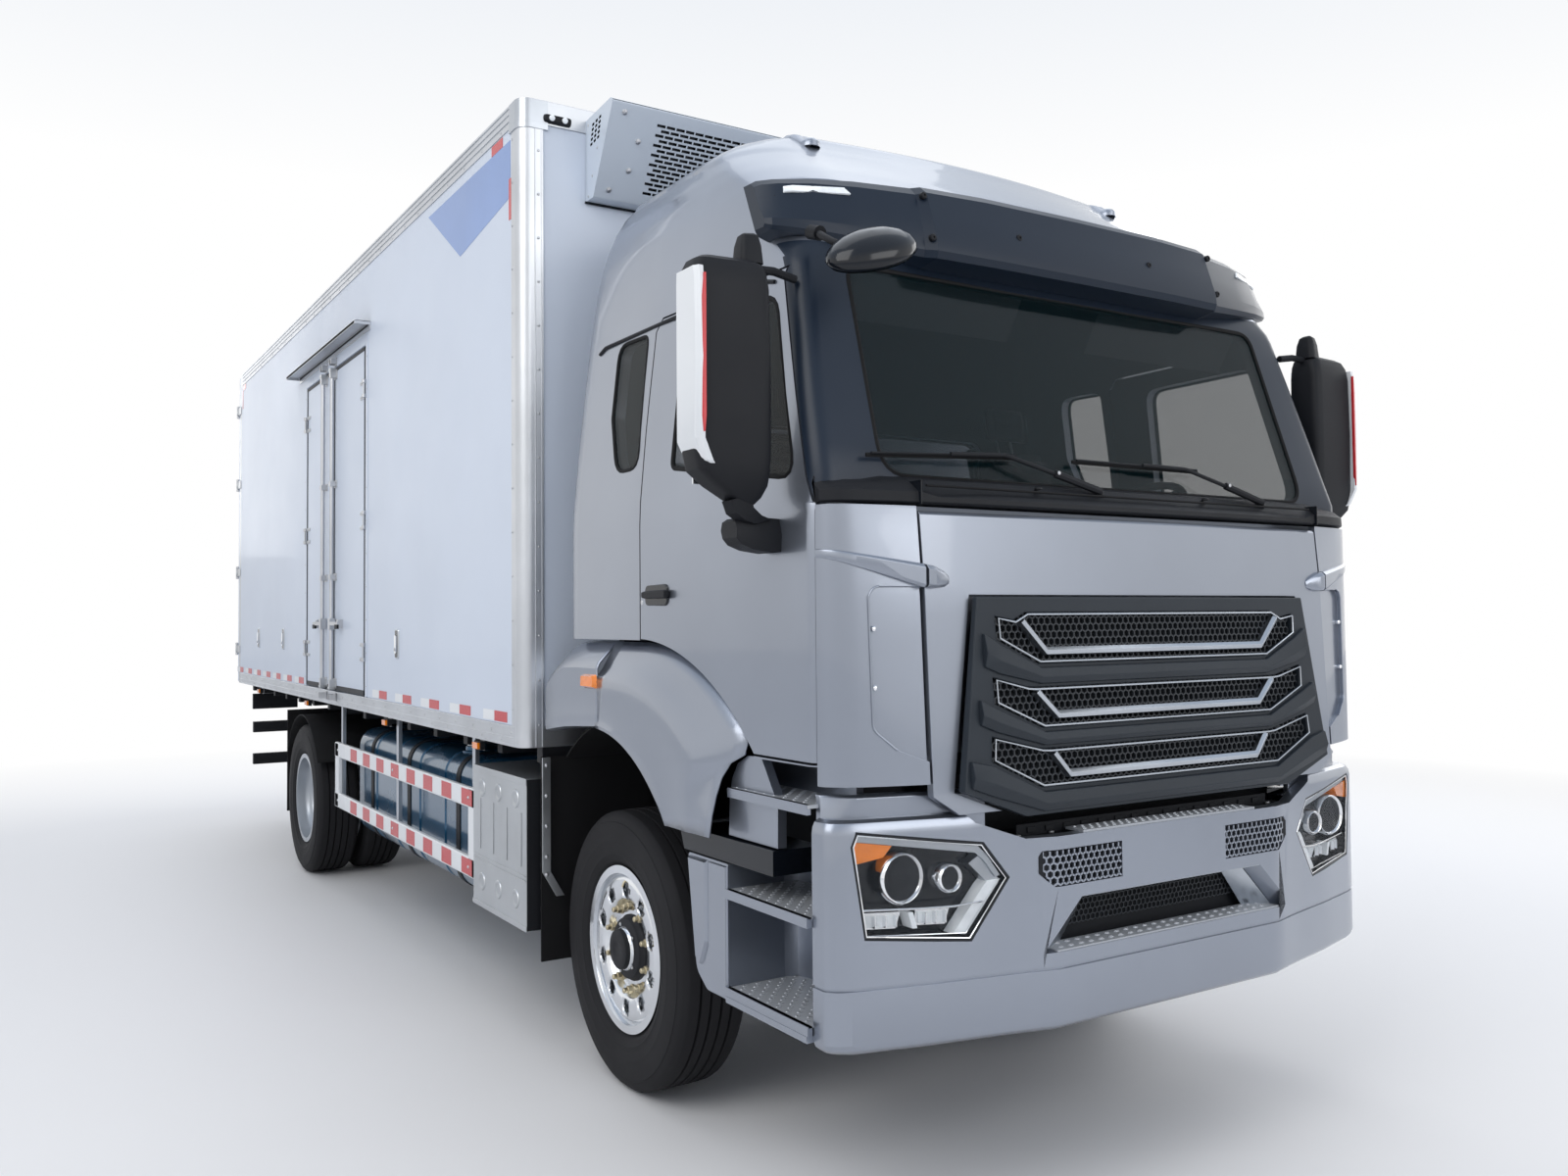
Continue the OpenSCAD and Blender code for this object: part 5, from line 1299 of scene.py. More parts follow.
def fender(side, name):
    """A front fender: the arch, its tail, the side lamp and the upper step."""
    low = 1035
    top = [(-868, low), (-871, 1100), (-876, 1160), (-890, 1215), (-925, 1262), (-985, 1290)]
    top += arc(ARCH_C, ARCH_R - 9, 134, 90, 12) + [(-250, 1616), (-150, 1616), (-64, 1616)]
    a_end = 93
    bottom = arc(OPEN_C, OPEN_R, 180 - math.degrees(math.asin((low - OPEN_C[1]) / OPEN_R)), a_end, len(top) - 1)
    rows = []
    for k, (a, b) in enumerate(zip(top, bottom)):
        a, b = Vector(a), Vector(b)
        f = k / (len(top) - 1)
        lean = min(1, max(0, (f - 0.02) / 0.25))
        row = []
        for t, x in ((0, 1218 - 66 * lean), (0.12, 1219 - 50 * lean), (0.30, 1220 - 22 * lean),
                     (0.40, 1223 - 3 * lean), (0.46, 1225), (0.60, 1222), (0.90, 1222), (0.965, 1225), (1.0, 1221)):
            q = a.lerp(b, t)
            row.append((x, q.x, q.y))
        inner = b + (Vector(OPEN_C) - b).normalized() * -6
        row.append((1180, inner.x, inner.y))
        row.append((1120, inner.x, inner.y))
        rows.append(row)
    sheet("fender_arch_" + name, "cab", rows, "paint", 6, side, replaces=["fenders"] if side == 1 else (),
          slot="cab_paint")

    tail = []
    for y, top_z, low_z, out in ((-58, 1616, 1311, 0), (-40, 1616, 1310, 0), (120, 1616, 1300, 0),
                                 (250, 1612, 1290, 0), (330, 1590, 1280, 0),
                                 (420, 1545, 1268, 3), (468, 1512, 1262, 14), (486, 1490, 1262, 40)):
        tail.append([(1118, y, top_z), (1150, y, top_z - 8), (1214 - out, y, top_z - 74), (1224 - out, y, top_z - 96),
                     (1222 - out, y, top_z - 200), (1223 - out, y, low_z + 52), (1225 - out, y, low_z + 34),
                     (1222 - out, y, low_z + 6), (1208 - out, y, low_z), (1140, y, low_z)])
    tail.append([(1118, 490, 1480)] * 2 + [(1150, 492, 1460)] * 2 + [(1160, 492, 1400)] * 2 +
                [(1160, 492, 1300)] * 2 + [(1150, 490, 1270)] * 2)
    sheet("fender_tail_" + name, "cab", tail, "paint", 6, side, slot="cab_paint")

    p = Part("fender_detail_" + name, "cab", side)
    lamp_ring = round_outline([(-62, 1448), (62, 1448), (58, 1500), (-58, 1500)], 12)
    p.taper(grow(lamp_ring, 5), lamp_ring, "x", 1218, 1226, "gloss")
    p.taper(lamp_ring, grow(lamp_ring, -8), "x", 1224, 1243, "amber")
    liner = []
    for k in range(19):
        a = math.radians(141 - k * 5)
        y, z = OPEN_C[0] + (OPEN_R + 8) * math.cos(a), OPEN_C[1] + (OPEN_R + 8) * math.sin(a)
        liner.append((y, z))
    p.prism(liner + [(OPEN_C[0] + (y - OPEN_C[0]) * 1.012, OPEN_C[1] + (z - OPEN_C[1]) * 1.012)
                     for y, z in reversed(liner)],
            "x", 640, 1120, "rubber")
    p.prism([(-868, low + 2), (-1148, low + 2), (-1150, 1160), (-1060, 1290), (-985, 1288), (-925, 1260),
             (-890, 1213), (-874, 1160)],
            "x", 1120, 1150, "paint")
    p.box((985, -1340, 1150), (1010, -870, 1298), "paint")
    p.box((985, -1340, 1176), (1172, -900, 1186), "tread")
    p.box((1160, -1335, 1158), (1174, -900, 1186), "paint")
    tread(p, (1015, -1325, 1186), (1156, -905, 1186), pitch=40, hole=(7, 3.6))
    p.done(bevel=2, slot="cab_paint")


def steps(side, name):
    """The lower entry steps."""
    p = Part("steps_" + name, "root", side)
    outline = round_outline([(-652, 957, 14), (-905, 957, 4), (-905, 552, 4), (-772, 552, 40), (-704, 600, 60)], 10)
    p.prism(outline, "x", 905, 1176, "paint")
    face = round_outline([(-658, 951, 8), (-782, 951, 6), (-782, 700, 14), (-740, 612, 30), (-706, 640, 14)], 8)
    p.taper(face, grow(face, -8), "x", 1174, 1186, "paint")
    front = round_outline([(-790, 951, 6), (-903, 951, 4), (-903, 558, 4), (-776, 558, 30), (-748, 600, 20),
                           (-790, 692, 14)], 8)
    p.taper(front, grow(front, -4), "x", 1174, 1182, "paint")
    wall = [(905, -1345), (925, -1345), (925, -960), (940, -925), (970, -906), (1010, -900), (1010, -880),
            (905, -880)]
    p.prism(wall, "z", 560, 956, "paint")
    p.lathe([(0, 20), (3, 20), (3.5, 15), (-4, 14)], "x", (926, -1255, 905), "gloss", 16)
    for z in (592, 884):
        p.box((925, -1346, z - 4), (1180, -906, z), "tread")
        p.box((1168, -1346, z - 28), (1184, -900, z), "paint")
        tread(p, (935, -1338, z), (1164, -912, z), pitch=40, hole=(7, 3.6))
    p.box((925, -1345, 552), (1184, -900, 566), "paint")
    p.prism([(-1344, 548), (-905, 548), (-905, 566), (-1344, 566)], "x", 1150, 1186, "paint")
    band = [(-610, 960), (-1150, 960), (-1150, 1032), (-578, 1032)]
    p.prism(band, "x", 1000, 1168, "gloss")
    p.done(bevel=5, segments=2, angle=28, replaces=["lower_steps"] if side == 1 else (), slot="cab_paint")


def mirror(side, name):
    """The main mirror: a tall black head with a bright outer shell, on its arm."""
    body = "cab_door_" + name
    p = Part("mirror_head_" + name, body, side)

    def ring(z, xa, xb, ya, yb, r=34, n=5):
        pts = round_outline([(xa, yb, 12), (xa, ya, r), (xb, ya + 14, r), (xb, yb, 14)], r, n)
        return [(x, y, z) for x, y in pts]

    rows = [(2012, 1262, 1318, -1236, -1168), (2030, 1244, 1345, -1250, -1160), (2062, 1232, 1398, -1264, -1154),
            (2100, 1228, 1446, -1270, -1152), (2150, 1226, 1458, -1274, -1152), (2400, 1226, 1462, -1276, -1152),
            (2610, 1228, 1462, -1272, -1152), (2655, 1232, 1458, -1266, -1154), (2680, 1240, 1446, -1256, -1158),
            (2692, 1256, 1424, -1240, -1170)]
    p.loft([ring(*r) for r in rows], "trim")
    p.loft([ring(2686, 1236, 1304, -1250, -1168, 20), ring(2740, 1240, 1300, -1244, -1172, 18),
            ring(2768, 1246, 1294, -1236, -1180, 14), ring(2775, 1254, 1286, -1226, -1190, 8)], "trim")
    arm = [(1312, -1206, 2030), (1300, -1203, 1995), (1268, -1198, 1975), (1230, -1190, 1966)]
    section = ((-1, 0, .3), (-.7, -.8, .2), (.7, -.8, -.2), (1, 0, -.3), (.7, .8, -.2), (-.7, .8, .2))
    p.loft([[(c[0] + u * w, c[1] + v * 34, c[2] + e * w) for u, v, e in section]
            for c, w in zip(arm, (46, 42, 38, 36))], "trim")
    base = [(1150, 1884, 1976), (1200, 1880, 1978), (1262, 1888, 1980), (1300, 1902, 1976), (1316, 1920, 1966)]
    p.loft([[(x, -1212, a), (x, -1216, (a + b) / 2), (x, -1204, b), (x, -1130, b), (x, -1122, (a + b) / 2),
             (x, -1132, a)]
            for x, a, b in base], "trim")
    p.tube([(1105, -1195, 2672), (1180, -1198, 2684), (1250, -1202, 2680)], 13, "trim", n=8)
    p.box((1244, -1153, 2200), (1446, -1146, 2640), "mirror")
    p.box((1250, -1153, 2068), (1420, -1146, 2184), "mirror")
    p.done(bevel=4, segments=2, angle=30, replaces=["mirror_" + name], slot="trim_black", smooth=40)
    q = Part("mirror_shell_" + name, body, side)
    shell_rows = []
    for z, xa, ya, yb in ((2104, 1392, -1246, -1160), (2122, 1416, -1262, -1156), (2180, 1446, -1272, -1154),
                          (2400, 1448, -1276, -1154), (2610, 1448, -1272, -1154), (2648, 1446, -1264, -1156)):
        xb = min(1470, xa + 26)
        shell_rows.append([(xa, ya - 4, z), (xb - 10, ya - 3, z), (xb, ya + 14, z), (xb, yb, z),
                           (xb - 12, yb + 4, z), (xa, yb + 4, z)])
    q.loft(shell_rows, "white")
    strip = [(2196, 1449, 1453), (2240, 1445, 1457), (2560, 1444, 1456), (2626, 1444, 1450)]
    q.loft([[(xa, -1281.5, z), (xb, -1279, z), (xb, -1270, z), (xa, -1270, z)] for z, xa, xb in strip], "red_tape")
    q.done(bevel=3, segments=2, angle=30, slot="mirror_black", smooth=40)


def kerb():
    """The kerb mirror: an oval dish on a short arm under the visor."""
    p = Part("kerb_mirror_dish", "cab")
    c = Vector((-995, -1418, 2722))
    u = Vector((0.93, -0.05, 0.36)).normalized()
    n = Vector((-0.30, -0.48, 0.82))
    v = n.cross(u).normalized()
    n = u.cross(v).normalized()
    rings = []
    for h, k in ((-30, 0.02), (-31, 0.80), (-26, 0.94), (-16, 1.0), (-4, 0.99), (8, 0.94), (24, 0.82), (38, 0.62),
                 (48, 0.36), (52, 0.02)):
        rings.append([c + u * (146 * k * math.cos(a)) + v * (98 * k * math.sin(a)) + n * h for a in turns(32)])
    p.loft(rings, "gloss")
    face = [[c + u * (132 * k * math.cos(a)) + v * (86 * k * math.sin(a)) + n * h for a in turns(32)]
            for h, k in ((-31.5, 1.0), (-34, 0.96), (-36, 0.5), (-36.5, 0.02))]
    p.loft(face, "mirror")
    p.tube([(-1062, -1250, 2800), (-1078, -1300, 2775), (-1075, -1350, 2745), (-1050, -1392, 2724)], 11, "trim", n=8)
    p.tube([(-1062, -1215, 2812), (-1062, -1262, 2796)], 22, "trim", n=10)
    p.lathe([(-14, 6), (-10, 16), (0, 19), (10, 16), (14, 6)], "z", (-1046, -1396, 2726), "trim", 12)
    p.done(replaces=["kerb_mirror"], slot="mirror_black", smooth=50)


# ---------------------------------------------------------------- wheels

def tyre_profile():
    """The tyre's section, as (across, radius), from one bead to the other."""
    right = [(16, 498), (19, 484), (23, 484), (26, 498), (56, 497.5), (59, 483), (63, 483), (66, 497), (100, 495.5),
             (106, 494),
             (112, 488), (119, 483), (126, 472), (131, 458), (134, 456), (136, 440), (137, 428), (138, 412),
             (137.5, 392), (138, 389),
             (137, 384), (134, 360), (130, 342), (130.5, 339), (127, 333), (122, 318), (117, 311), (106, 304),
             (104.5, 299), (104, 285)]
    return [(-t, r) for t, r in reversed(right)] + right


def tyre(p, x, y):
    """A tyre round a wheel's centre."""
    p.lathe(tyre_profile(), "x", (x, y, AXLE_Z), "tyre", n=96, closed=True)


def nut(p, x, y, z, key, tall):
    """A wheel nut with its washer and stud."""
    p.lathe([(0, 19), (5, 19), (6, 15)], "x", (x, y, z), key, 14)
    p.lathe([(5, 15.5), (tall * 0.55, 15.5), (tall * 0.6, 12)], "x", (x, y, z), key, 6)
    p.lathe([(tall * 0.55, 10), (tall - 3, 10), (tall, 7), (tall + 0.5, 0.01)], "x", (x, y, z), key, 10)


def wheels():
    """The tyres, wheel nuts and front hubs."""
    front_x = span("front_tyre_left")[1].x - 138
    out_x = span("rear_tyres_left")[1].x - 138
    in_x = span("rear_tyres_left")[0].x + 138
    for side, name in SIDES:
        p = Part("front_tyre_ribbed_" + name, "front_wheel_" + name, side)
        tyre(p, front_x, 0)
        p.done(replaces=["front_tyre_" + name], slot="tyre", smooth=32)
        q = Part("front_wheel_fittings_" + name, "front_wheel_" + name, side)
        for k in range(10):
            a = math.radians(36 * k + 18)
            nut(q, front_x + 77, 152 * math.cos(a), AXLE_Z + 152 * math.sin(a), "brass", 40)
        q.lathe([(76, 119), (84, 119), (90, 112), (104, 108), (110, 100), (112, 74), (137, 70), (141, 62),
                 (141.5, 30), (139, 26), (139, 0.01)],
                "x", (front_x, 0, AXLE_Z), "iron", 40)
        for k in range(5):
            a = math.radians(72 * k)
            q.lathe([(111, 7), (116, 7), (117, 4), (117.2, 0.01)], "x",
                    (front_x, 88 * math.cos(a), AXLE_Z + 88 * math.sin(a)), "zinc", 8)
        q.tube([(front_x + 104, 0, AXLE_Z + 246), (front_x + 112, 0, AXLE_Z + 238),
                (front_x + 118, 0, AXLE_Z + 222)], 4, "brass", n=8)
        q.done(bevel=1, slot="rim_polished", smooth=40)
        p = Part("rear_tyres_ribbed_" + name, "rear_wheels_" + name, side)
        tyre(p, out_x, REAR_AXLE)
        tyre(p, in_x, REAR_AXLE)
        p.done(replaces=["rear_tyres_" + name], slot="tyre", smooth=32)
        q = Part("rear_wheel_fittings_" + name, "rear_wheels_" + name, side)
        for k in range(10):
            a = math.radians(36 * k)
            nut(q, out_x - 143, REAR_AXLE + 146 * math.cos(a), AXLE_Z + 146 * math.sin(a), "zinc", 44)
        q.done(bevel=1, slot="rim_silver", smooth=40)


for s, n in SIDES:
    fender(s, n)
    steps(s, n)
    mirror(s, n)
kerb()
wheels()


# ---------------------------------------------------------------- box

HALF = span("box_side_walls")[1].x
BOX_FRONT, BOX_LOW = span("box_rails")[0].y, span("box_rails")[0].z
BOX_TOP = span("box_rails")[1].z
FLOOR_TOP, ROOF_LOW_Z = BOX_LOW + 85, BOX_TOP - 100
SIDE_Y0, SIDE_Y1, SIDE_TOP = 2992, 4553, FLOOR_TOP + 1990
REAR_PLANE, DOOR_FACE = 7257, 7337
# How far tape stands out of a wall
TAPE = (0.2, 1.6)


def side_wall(x, way=1):
    """Places on a wall square to X: u along the wall, v out of it, z up."""
    return lambda u, v, z: (x + way * v, u, z)


def end_wall(y, way=1):
    """Places on a wall square to Y: u along the wall, v out of it, z up."""
    return lambda u, v, z: (u, y + way * v, z)


TO_SIDE, TO_REAR = side_wall(-HALF, -1), end_wall(DOOR_FACE)


def slab(p, at, u, v, z, key):
    """A block on a wall: u along the wall, v out of it, z up, each a pair of limits."""
    corners = [at(u[i], v[j], z[k]) for k in (0, 1) for i, j in ((0, 0), (1, 0), (1, 1), (0, 1))]
    return p.faces(corners, [[3, 2, 1, 0], [4, 5, 6, 7], [0, 1, 5, 4], [1, 2, 6, 5], [2, 3, 7, 6], [3, 0, 4, 7]], key)


def dome(p, at, u, z, r, key, high=3.0, foot=0.0):
    """A rivet or bolt head on a wall."""
    rings = [[at(u + r * k * math.cos(a), foot + h, z + r * k * math.sin(a)) for a in turns(8)]
             for h, k in ((0, 1), (high * 0.6, 0.85), (high, 0.3))]
    p.loft(rings, key)


def two_tapes(p, at, u, red, white, end, v, z):
    """A red tape from u to u + red, then a white one from u + white to u + end."""
    slab(p, at, (u, u + red), v, z, "red_tape")
    slab(p, at, (u + white, u + end), v, z, "white_tape")


def box_trim():
    """Rails, posts, rivets, tape, patches and lamps on the box's walls."""
    at = side_wall(HALF)
    for s, name in SIDES:
        p = Part("box_rail_ribs_" + name, "root", s)
        for base, low, high in ((BOX_LOW, 1, 10), (BOX_LOW, 34, 39), (BOX_LOW, 74, 83), (ROOF_LOW_Z, 1, 9),
                                (ROOF_LOW_Z, 34, 39), (ROOF_LOW_Z, 62, 67), (BOX_TOP, -12, -2)):
            slab(p, at, (612, 7150), (-1, 4), (base + low, base + high), "alu")
        for i in range(54):
            y = 650 + 120 * i
            dome(p, at, y, BOX_LOW + (22 if i % 2 else 56), 6, "zinc")
            if i % 2:
                dome(p, at, y, ROOF_LOW_Z + 20, 5, "zinc")
        post = [(HALF + 3, 640), (HALF + 3, BOX_FRONT + 50)] + arc((HALF - 47, BOX_FRONT + 50), 50, 0, -90, 8) + \
               [(HALF - 96, BOX_FRONT - 3), (HALF - 96, BOX_FRONT + 2), (HALF - 50, BOX_FRONT + 2),
                (HALF - 6, BOX_FRONT + 46), (HALF - 2, 640)]
        post = [(x if x < HALF + 3 else HALF + 3, y) for x, y in post]
        p.prism(post, "z", BOX_LOW + 2, ROOF_LOW_Z - 4, "alu")
        for z0, z1, d in ((ROOF_LOW_Z - 22, ROOF_LOW_Z + 4, 4), (ROOF_LOW_Z + 4, BOX_TOP - 2, 2)):
            turn = arc((HALF - 47, BOX_FRONT + 50), 50 + d, 0, -90, 8)
            cap = [(HALF + 3 + d, 660), (HALF + 3 + d, BOX_FRONT + 50)] + turn + \
                  [(HALF - 116, BOX_FRONT - 3 - d), (HALF - 116, BOX_FRONT + 3), (HALF - 52, BOX_FRONT + 3),
                   (HALF - 4, 590), (HALF - 4, 660)]
            p.prism(cap, "z", z0, z1, "satin")
        for x in (HALF - 62, HALF - 88):
            p.prism([(x - 2, BOX_FRONT - 6), (x + 2, BOX_FRONT - 6), (x + 2, BOX_FRONT), (x - 2, BOX_FRONT)], "z",
                    BOX_LOW + 4, ROOF_LOW_Z - 24, "alu")
        front = end_wall(BOX_FRONT - 3, -1)
        for k in range(14):
            dome(p, front, HALF - 75, BOX_LOW + 90 + k * 178, 6, "zinc")
            dome(p, at, 630, BOX_LOW + 150 + k * 178, 5, "zinc", foot=3)
        p.done(bevel=1.2, segments=2, angle=30, slot="aluminium", smooth=40)

        t = Part("box_tape_" + name, "root", s)
        spots = [700 + 460 * i for i in range(5)] + [4640 + 400 * i for i in range(7)]
        for y in spots if s == -1 else [700 + 420 * i for i in range(16)]:
            two_tapes(t, at, y, 150, 152, 290, TAPE, (FLOOR_TOP + 8, FLOOR_TOP + 50))
        for u, z in (((745, 880), (ROOF_LOW_Z - 46, ROOF_LOW_Z - 4)), ((644, 672), (3330, 3500)),
                     ((6990, 7130), (ROOF_LOW_Z - 46, ROOF_LOW_Z - 4)),
                     ((7118, 7146), (ROOF_LOW_Z - 200, ROOF_LOW_Z - 48))):
            slab(t, at, u, TAPE, z, "red_tape")
        t.done(slot="box_white")
        sticker = Part("box_sticker_" + name, "root", s)
        outline = [(655, 3658), (655, 3425), (1305, 3341), (1790, 3654)]
        sticker.prism(outline, "x", HALF + 0.2, HALF + 1.2, "sticker")
        sticker.done(slot="box_white")
        lamps = Part("box_side_lamps_" + name, "root", s)
        for y in (1180, 2700, 4700, 6500):
            slab(lamps, at, (y - 30, y + 30), (-60, -58), (BOX_LOW - 62, BOX_LOW + 1), "zinc")
            slab(lamps, at, (y - 42, y + 42), (-58, -36), (BOX_LOW - 58, BOX_LOW - 20), "trim")
            slab(lamps, at, (y - 34, y + 34), (-36, -24), (BOX_LOW - 53, BOX_LOW - 25), "amber")
        lamps.done(bevel=3, slot="lamp_glass")
    latch = Part("box_latches", "root")
    for y, z in ((2332, 1579), (5329, 1576), (6311, 1574)):
        ring = round_outline([(y - 32, z - 78), (y + 32, z - 78), (y + 32, z + 78), (y - 32, z + 78)], 14)
        latch.taper(ring, grow(ring, -5), "x", -HALF + 1, -HALF - 7, "satin")
        inner = grow(ring, -9)
        latch.taper(inner, grow(inner, -3), "x", -HALF - 7.2, -HALF - 3, "gloss")
        latch.prism(inner, "x", -HALF - 7.6, -HALF - 6.9, "gloss")
        latch.prism(round_outline([(y - 14, z - 50), (y + 14, z - 50), (y + 14, z + 44), (y - 14, z + 44)], 8), "x",
                    -HALF - 14, -HALF - 7, "chrome")
        latch.lathe([(0, 9), (-4, 9), (-5, 4), (-5.2, 0.01)], "x", (-HALF - 14, y, z - 28), "zinc", 12)
    latch.done(bevel=1.5, segments=2, slot="aluminium")
    high = Part("box_front_lamps", "root")
    for s in (1, -1):
        c = s * 1129
        oval = round_outline([(c - 62, 3712), (c + 62, 3712), (c + 62, 3750), (c - 62, 3750)], 17, 6)
        high.taper(oval, grow(oval, -6), "y", BOX_FRONT + 1, BOX_FRONT - 18, "trim")
        for x in (c - 28, c + 28):
            high.lathe([(0, 13), (-5, 12), (-8, 7), (-9, 0.01)], "y", (x, BOX_FRONT - 17, 3731), "clear", 14)
    high.done(bevel=1, slot="lamp_glass")


def leaf_hinges(p, at, axis_at, span_u, heights):
    """Knuckles and straps of a leaf's hinges."""
    for z in heights:
        for m in (1, -1):
            lo, hi = sorted((z + m * 31, z + m * 52))
            x, y = axis_at
            p.lathe([(lo, 10), (lo + 1, 11), (hi - 1, 11), (hi, 10)], "z", (x, y, 0), "zinc", 16)
            u0, u1 = sorted(span_u)
            slab(p, at, (u0, u1), (0.3, 5), (lo, hi), "zinc")
            for k in (0.35, 0.62, 0.88):
                dome(p, at, span_u[0] + (span_u[1] - span_u[0]) * k, (lo + hi) / 2, 6, "steel", 4, 5)
        p.lathe([(z - 53, 5.5), (z + 53, 5.5)], "z", (axis_at[0], axis_at[1], 0), "steel", 12)


def lock_rod(p, at, u, z0, z1, toward, hub):
    """A lock rod: cams and keepers at its ends, guides between, a hub with a lever that lies on the leaf."""
    r = 13
    rings = [[at(u + r * math.cos(a), 25 + r * math.sin(a), z) for a in turns(12)]
             for z in (z0 + 6, z1 - 6)]
    p.loft(rings, "zinc")
    mid = (z0 + z1) / 2
    for z, high in ((z0 + 12, 60), (z1 - 72, 60), (mid + 250, 44), (mid - 320, 44)):
        slab(p, at, (u - 40, u + 40), (0.3, 5), (z, z + high), "zinc")
        slab(p, at, (u - 19, u + 19), (4, 39), (z + 6, z + high - 6), "zinc")
        for du in (-29, 29):
            for dz in (14, high - 14):
                dome(p, at, u + du, z + dz, 6, "steel", 5, 5)
    for z in (z0 + 6, z1 - 22):
        slab(p, at, (u - 26, u + 26), (8, 41), (z, z + 16), "steel")
    slab(p, at, (u - 22, u + 22), (6, 41), (hub - 34, hub + 34), "zinc")
    a, b = sorted((u, u + toward * 210))
    slab(p, at, (a, b), (29, 40), (hub - 9, hub + 13), "zinc")
    c, d = sorted((u + toward * 140, u + toward * 186))
    slab(p, at, (c, d), (0.3, 28), (hub - 26, hub + 26), "zinc")
    e, f = sorted((u + toward * 150, u + toward * 214))
    slab(p, at, (e, f), (29, 41), (hub - 30, hub - 4), "trim")
    dome(p, at, u + toward * 163 + 0.5, hub + 18, 5, "steel", 4, 28)


def edge_seal(p, at, u0, u1, z0, z1, w, out):
    """A black rubber edge round a leaf."""
    for u, z in (((u0, u1), (z0, z0 + w * 1.4)), ((u0, u1), (z1 - w, z1)), ((u0, u0 + w), (z0, z1)),
                 ((u1 - w, u1), (z0, z1))):
        slab(p, at, u, (-2, out), z, "box_edge")


def side_doors():
    """The side doorway's frame and canopy, and its two leaves."""
    z0, z1 = FLOOR_TOP + 6, SIDE_TOP - 6
    leaf = (SIDE_Y1 - SIDE_Y0 - 12) / 2 - 8
    frame_part = Part("side_door_frame", "root")
    for u, z in (((SIDE_Y0 - 46, SIDE_Y0 - 1), (FLOOR_TOP + 2, SIDE_TOP + 46)),
                 ((SIDE_Y1 + 1, SIDE_Y1 + 46), (FLOOR_TOP + 2, SIDE_TOP + 46)),
                 ((SIDE_Y0 - 1, SIDE_Y1 + 1), (SIDE_TOP + 1, SIDE_TOP + 46))):
        slab(frame_part, TO_SIDE, u, (-1, 3), z, "box")
    for y in (SIDE_Y0 - 30, SIDE_Y1 + 30):
        for k in range(11):
            dome(frame_part, TO_SIDE, y, FLOOR_TOP + 60 + k * 186, 5, "zinc", foot=3)
    top = span("box_rails")[0].x
    canopy = 3376
    frame_part.prism([(-HALF, canopy), (top + 6, canopy), (top, canopy - 4), (top, canopy - 22),
                      (top + 3, canopy - 22), (top + 5, canopy - 5),
                      (-HALF, canopy - 5)], "y", SIDE_Y0 - 102, SIDE_Y1 + 241, "alu")
    for k in range(13):
        dome(frame_part, TO_SIDE, SIDE_Y0 - 60 + k * 146, canopy - 34, 5, "zinc")
    slab(frame_part, TO_SIDE, (SIDE_Y0 - 100, SIDE_Y1 + 238), (0.3, 4), (canopy - 46, canopy - 5), "alu")
    w = 30
    for u in (SIDE_Y0 + 726.5, SIDE_Y0 + 974.5):
        for z in (FLOOR_TOP - 60, SIDE_TOP + 4):
            slab(frame_part, TO_SIDE, (u - w, u + w), (3, 8), (z, z + 50), "zinc")
            slab(frame_part, TO_SIDE, (u - w, u - w + 12), (8, 40), (z + 8, z + 42), "zinc")
            slab(frame_part, TO_SIDE, (u + w - 12, u + w), (8, 40), (z + 8, z + 42), "zinc")
    frame_part.done(bevel=1, slot="aluminium")
    for name, y0, y1, rod, axis_y, strap, toward in (
            ("front", SIDE_Y0 + 8, SIDE_Y0 + 8 + leaf, SIDE_Y0 + leaf - 40, SIDE_Y0, (SIDE_Y0, SIDE_Y0 + 110), -1),
            ("rear", SIDE_Y1 - 8 - leaf, SIDE_Y1 - 8, SIDE_Y1 - leaf + 180, SIDE_Y1, (SIDE_Y1, SIDE_Y1 - 110), 1)):
        body = "side_leaf_" + name
        panel = Part("side_door_panel_" + name, body)
        slab(panel, TO_SIDE, (y0, y1), (-80, 0), (z0, z1), "box")
        slab(panel, TO_SIDE, (y0 + 40, y1 - 40), (0, 1.2), (z0 + 52, z1 - 44), "box")
        edge_seal(panel, TO_SIDE, y0 + 1, y1 - 1, z0 + 1, z1 - 1, 20, 3)
        panel.done(bevel=2, replaces=["side_door_" + name], slot="box_white")
        fit = Part("side_door_fittings_" + name, body)
        leaf_hinges(fit, TO_SIDE, (-HALF - 12, axis_y), strap, (FLOOR_TOP + 250, FLOOR_TOP + 995, SIDE_TOP - 250))
        lock_rod(fit, TO_SIDE, rod, z0, z1, toward, FLOOR_TOP + 410)
        fit.done(bevel=1.2, segments=2, slot="stainless")


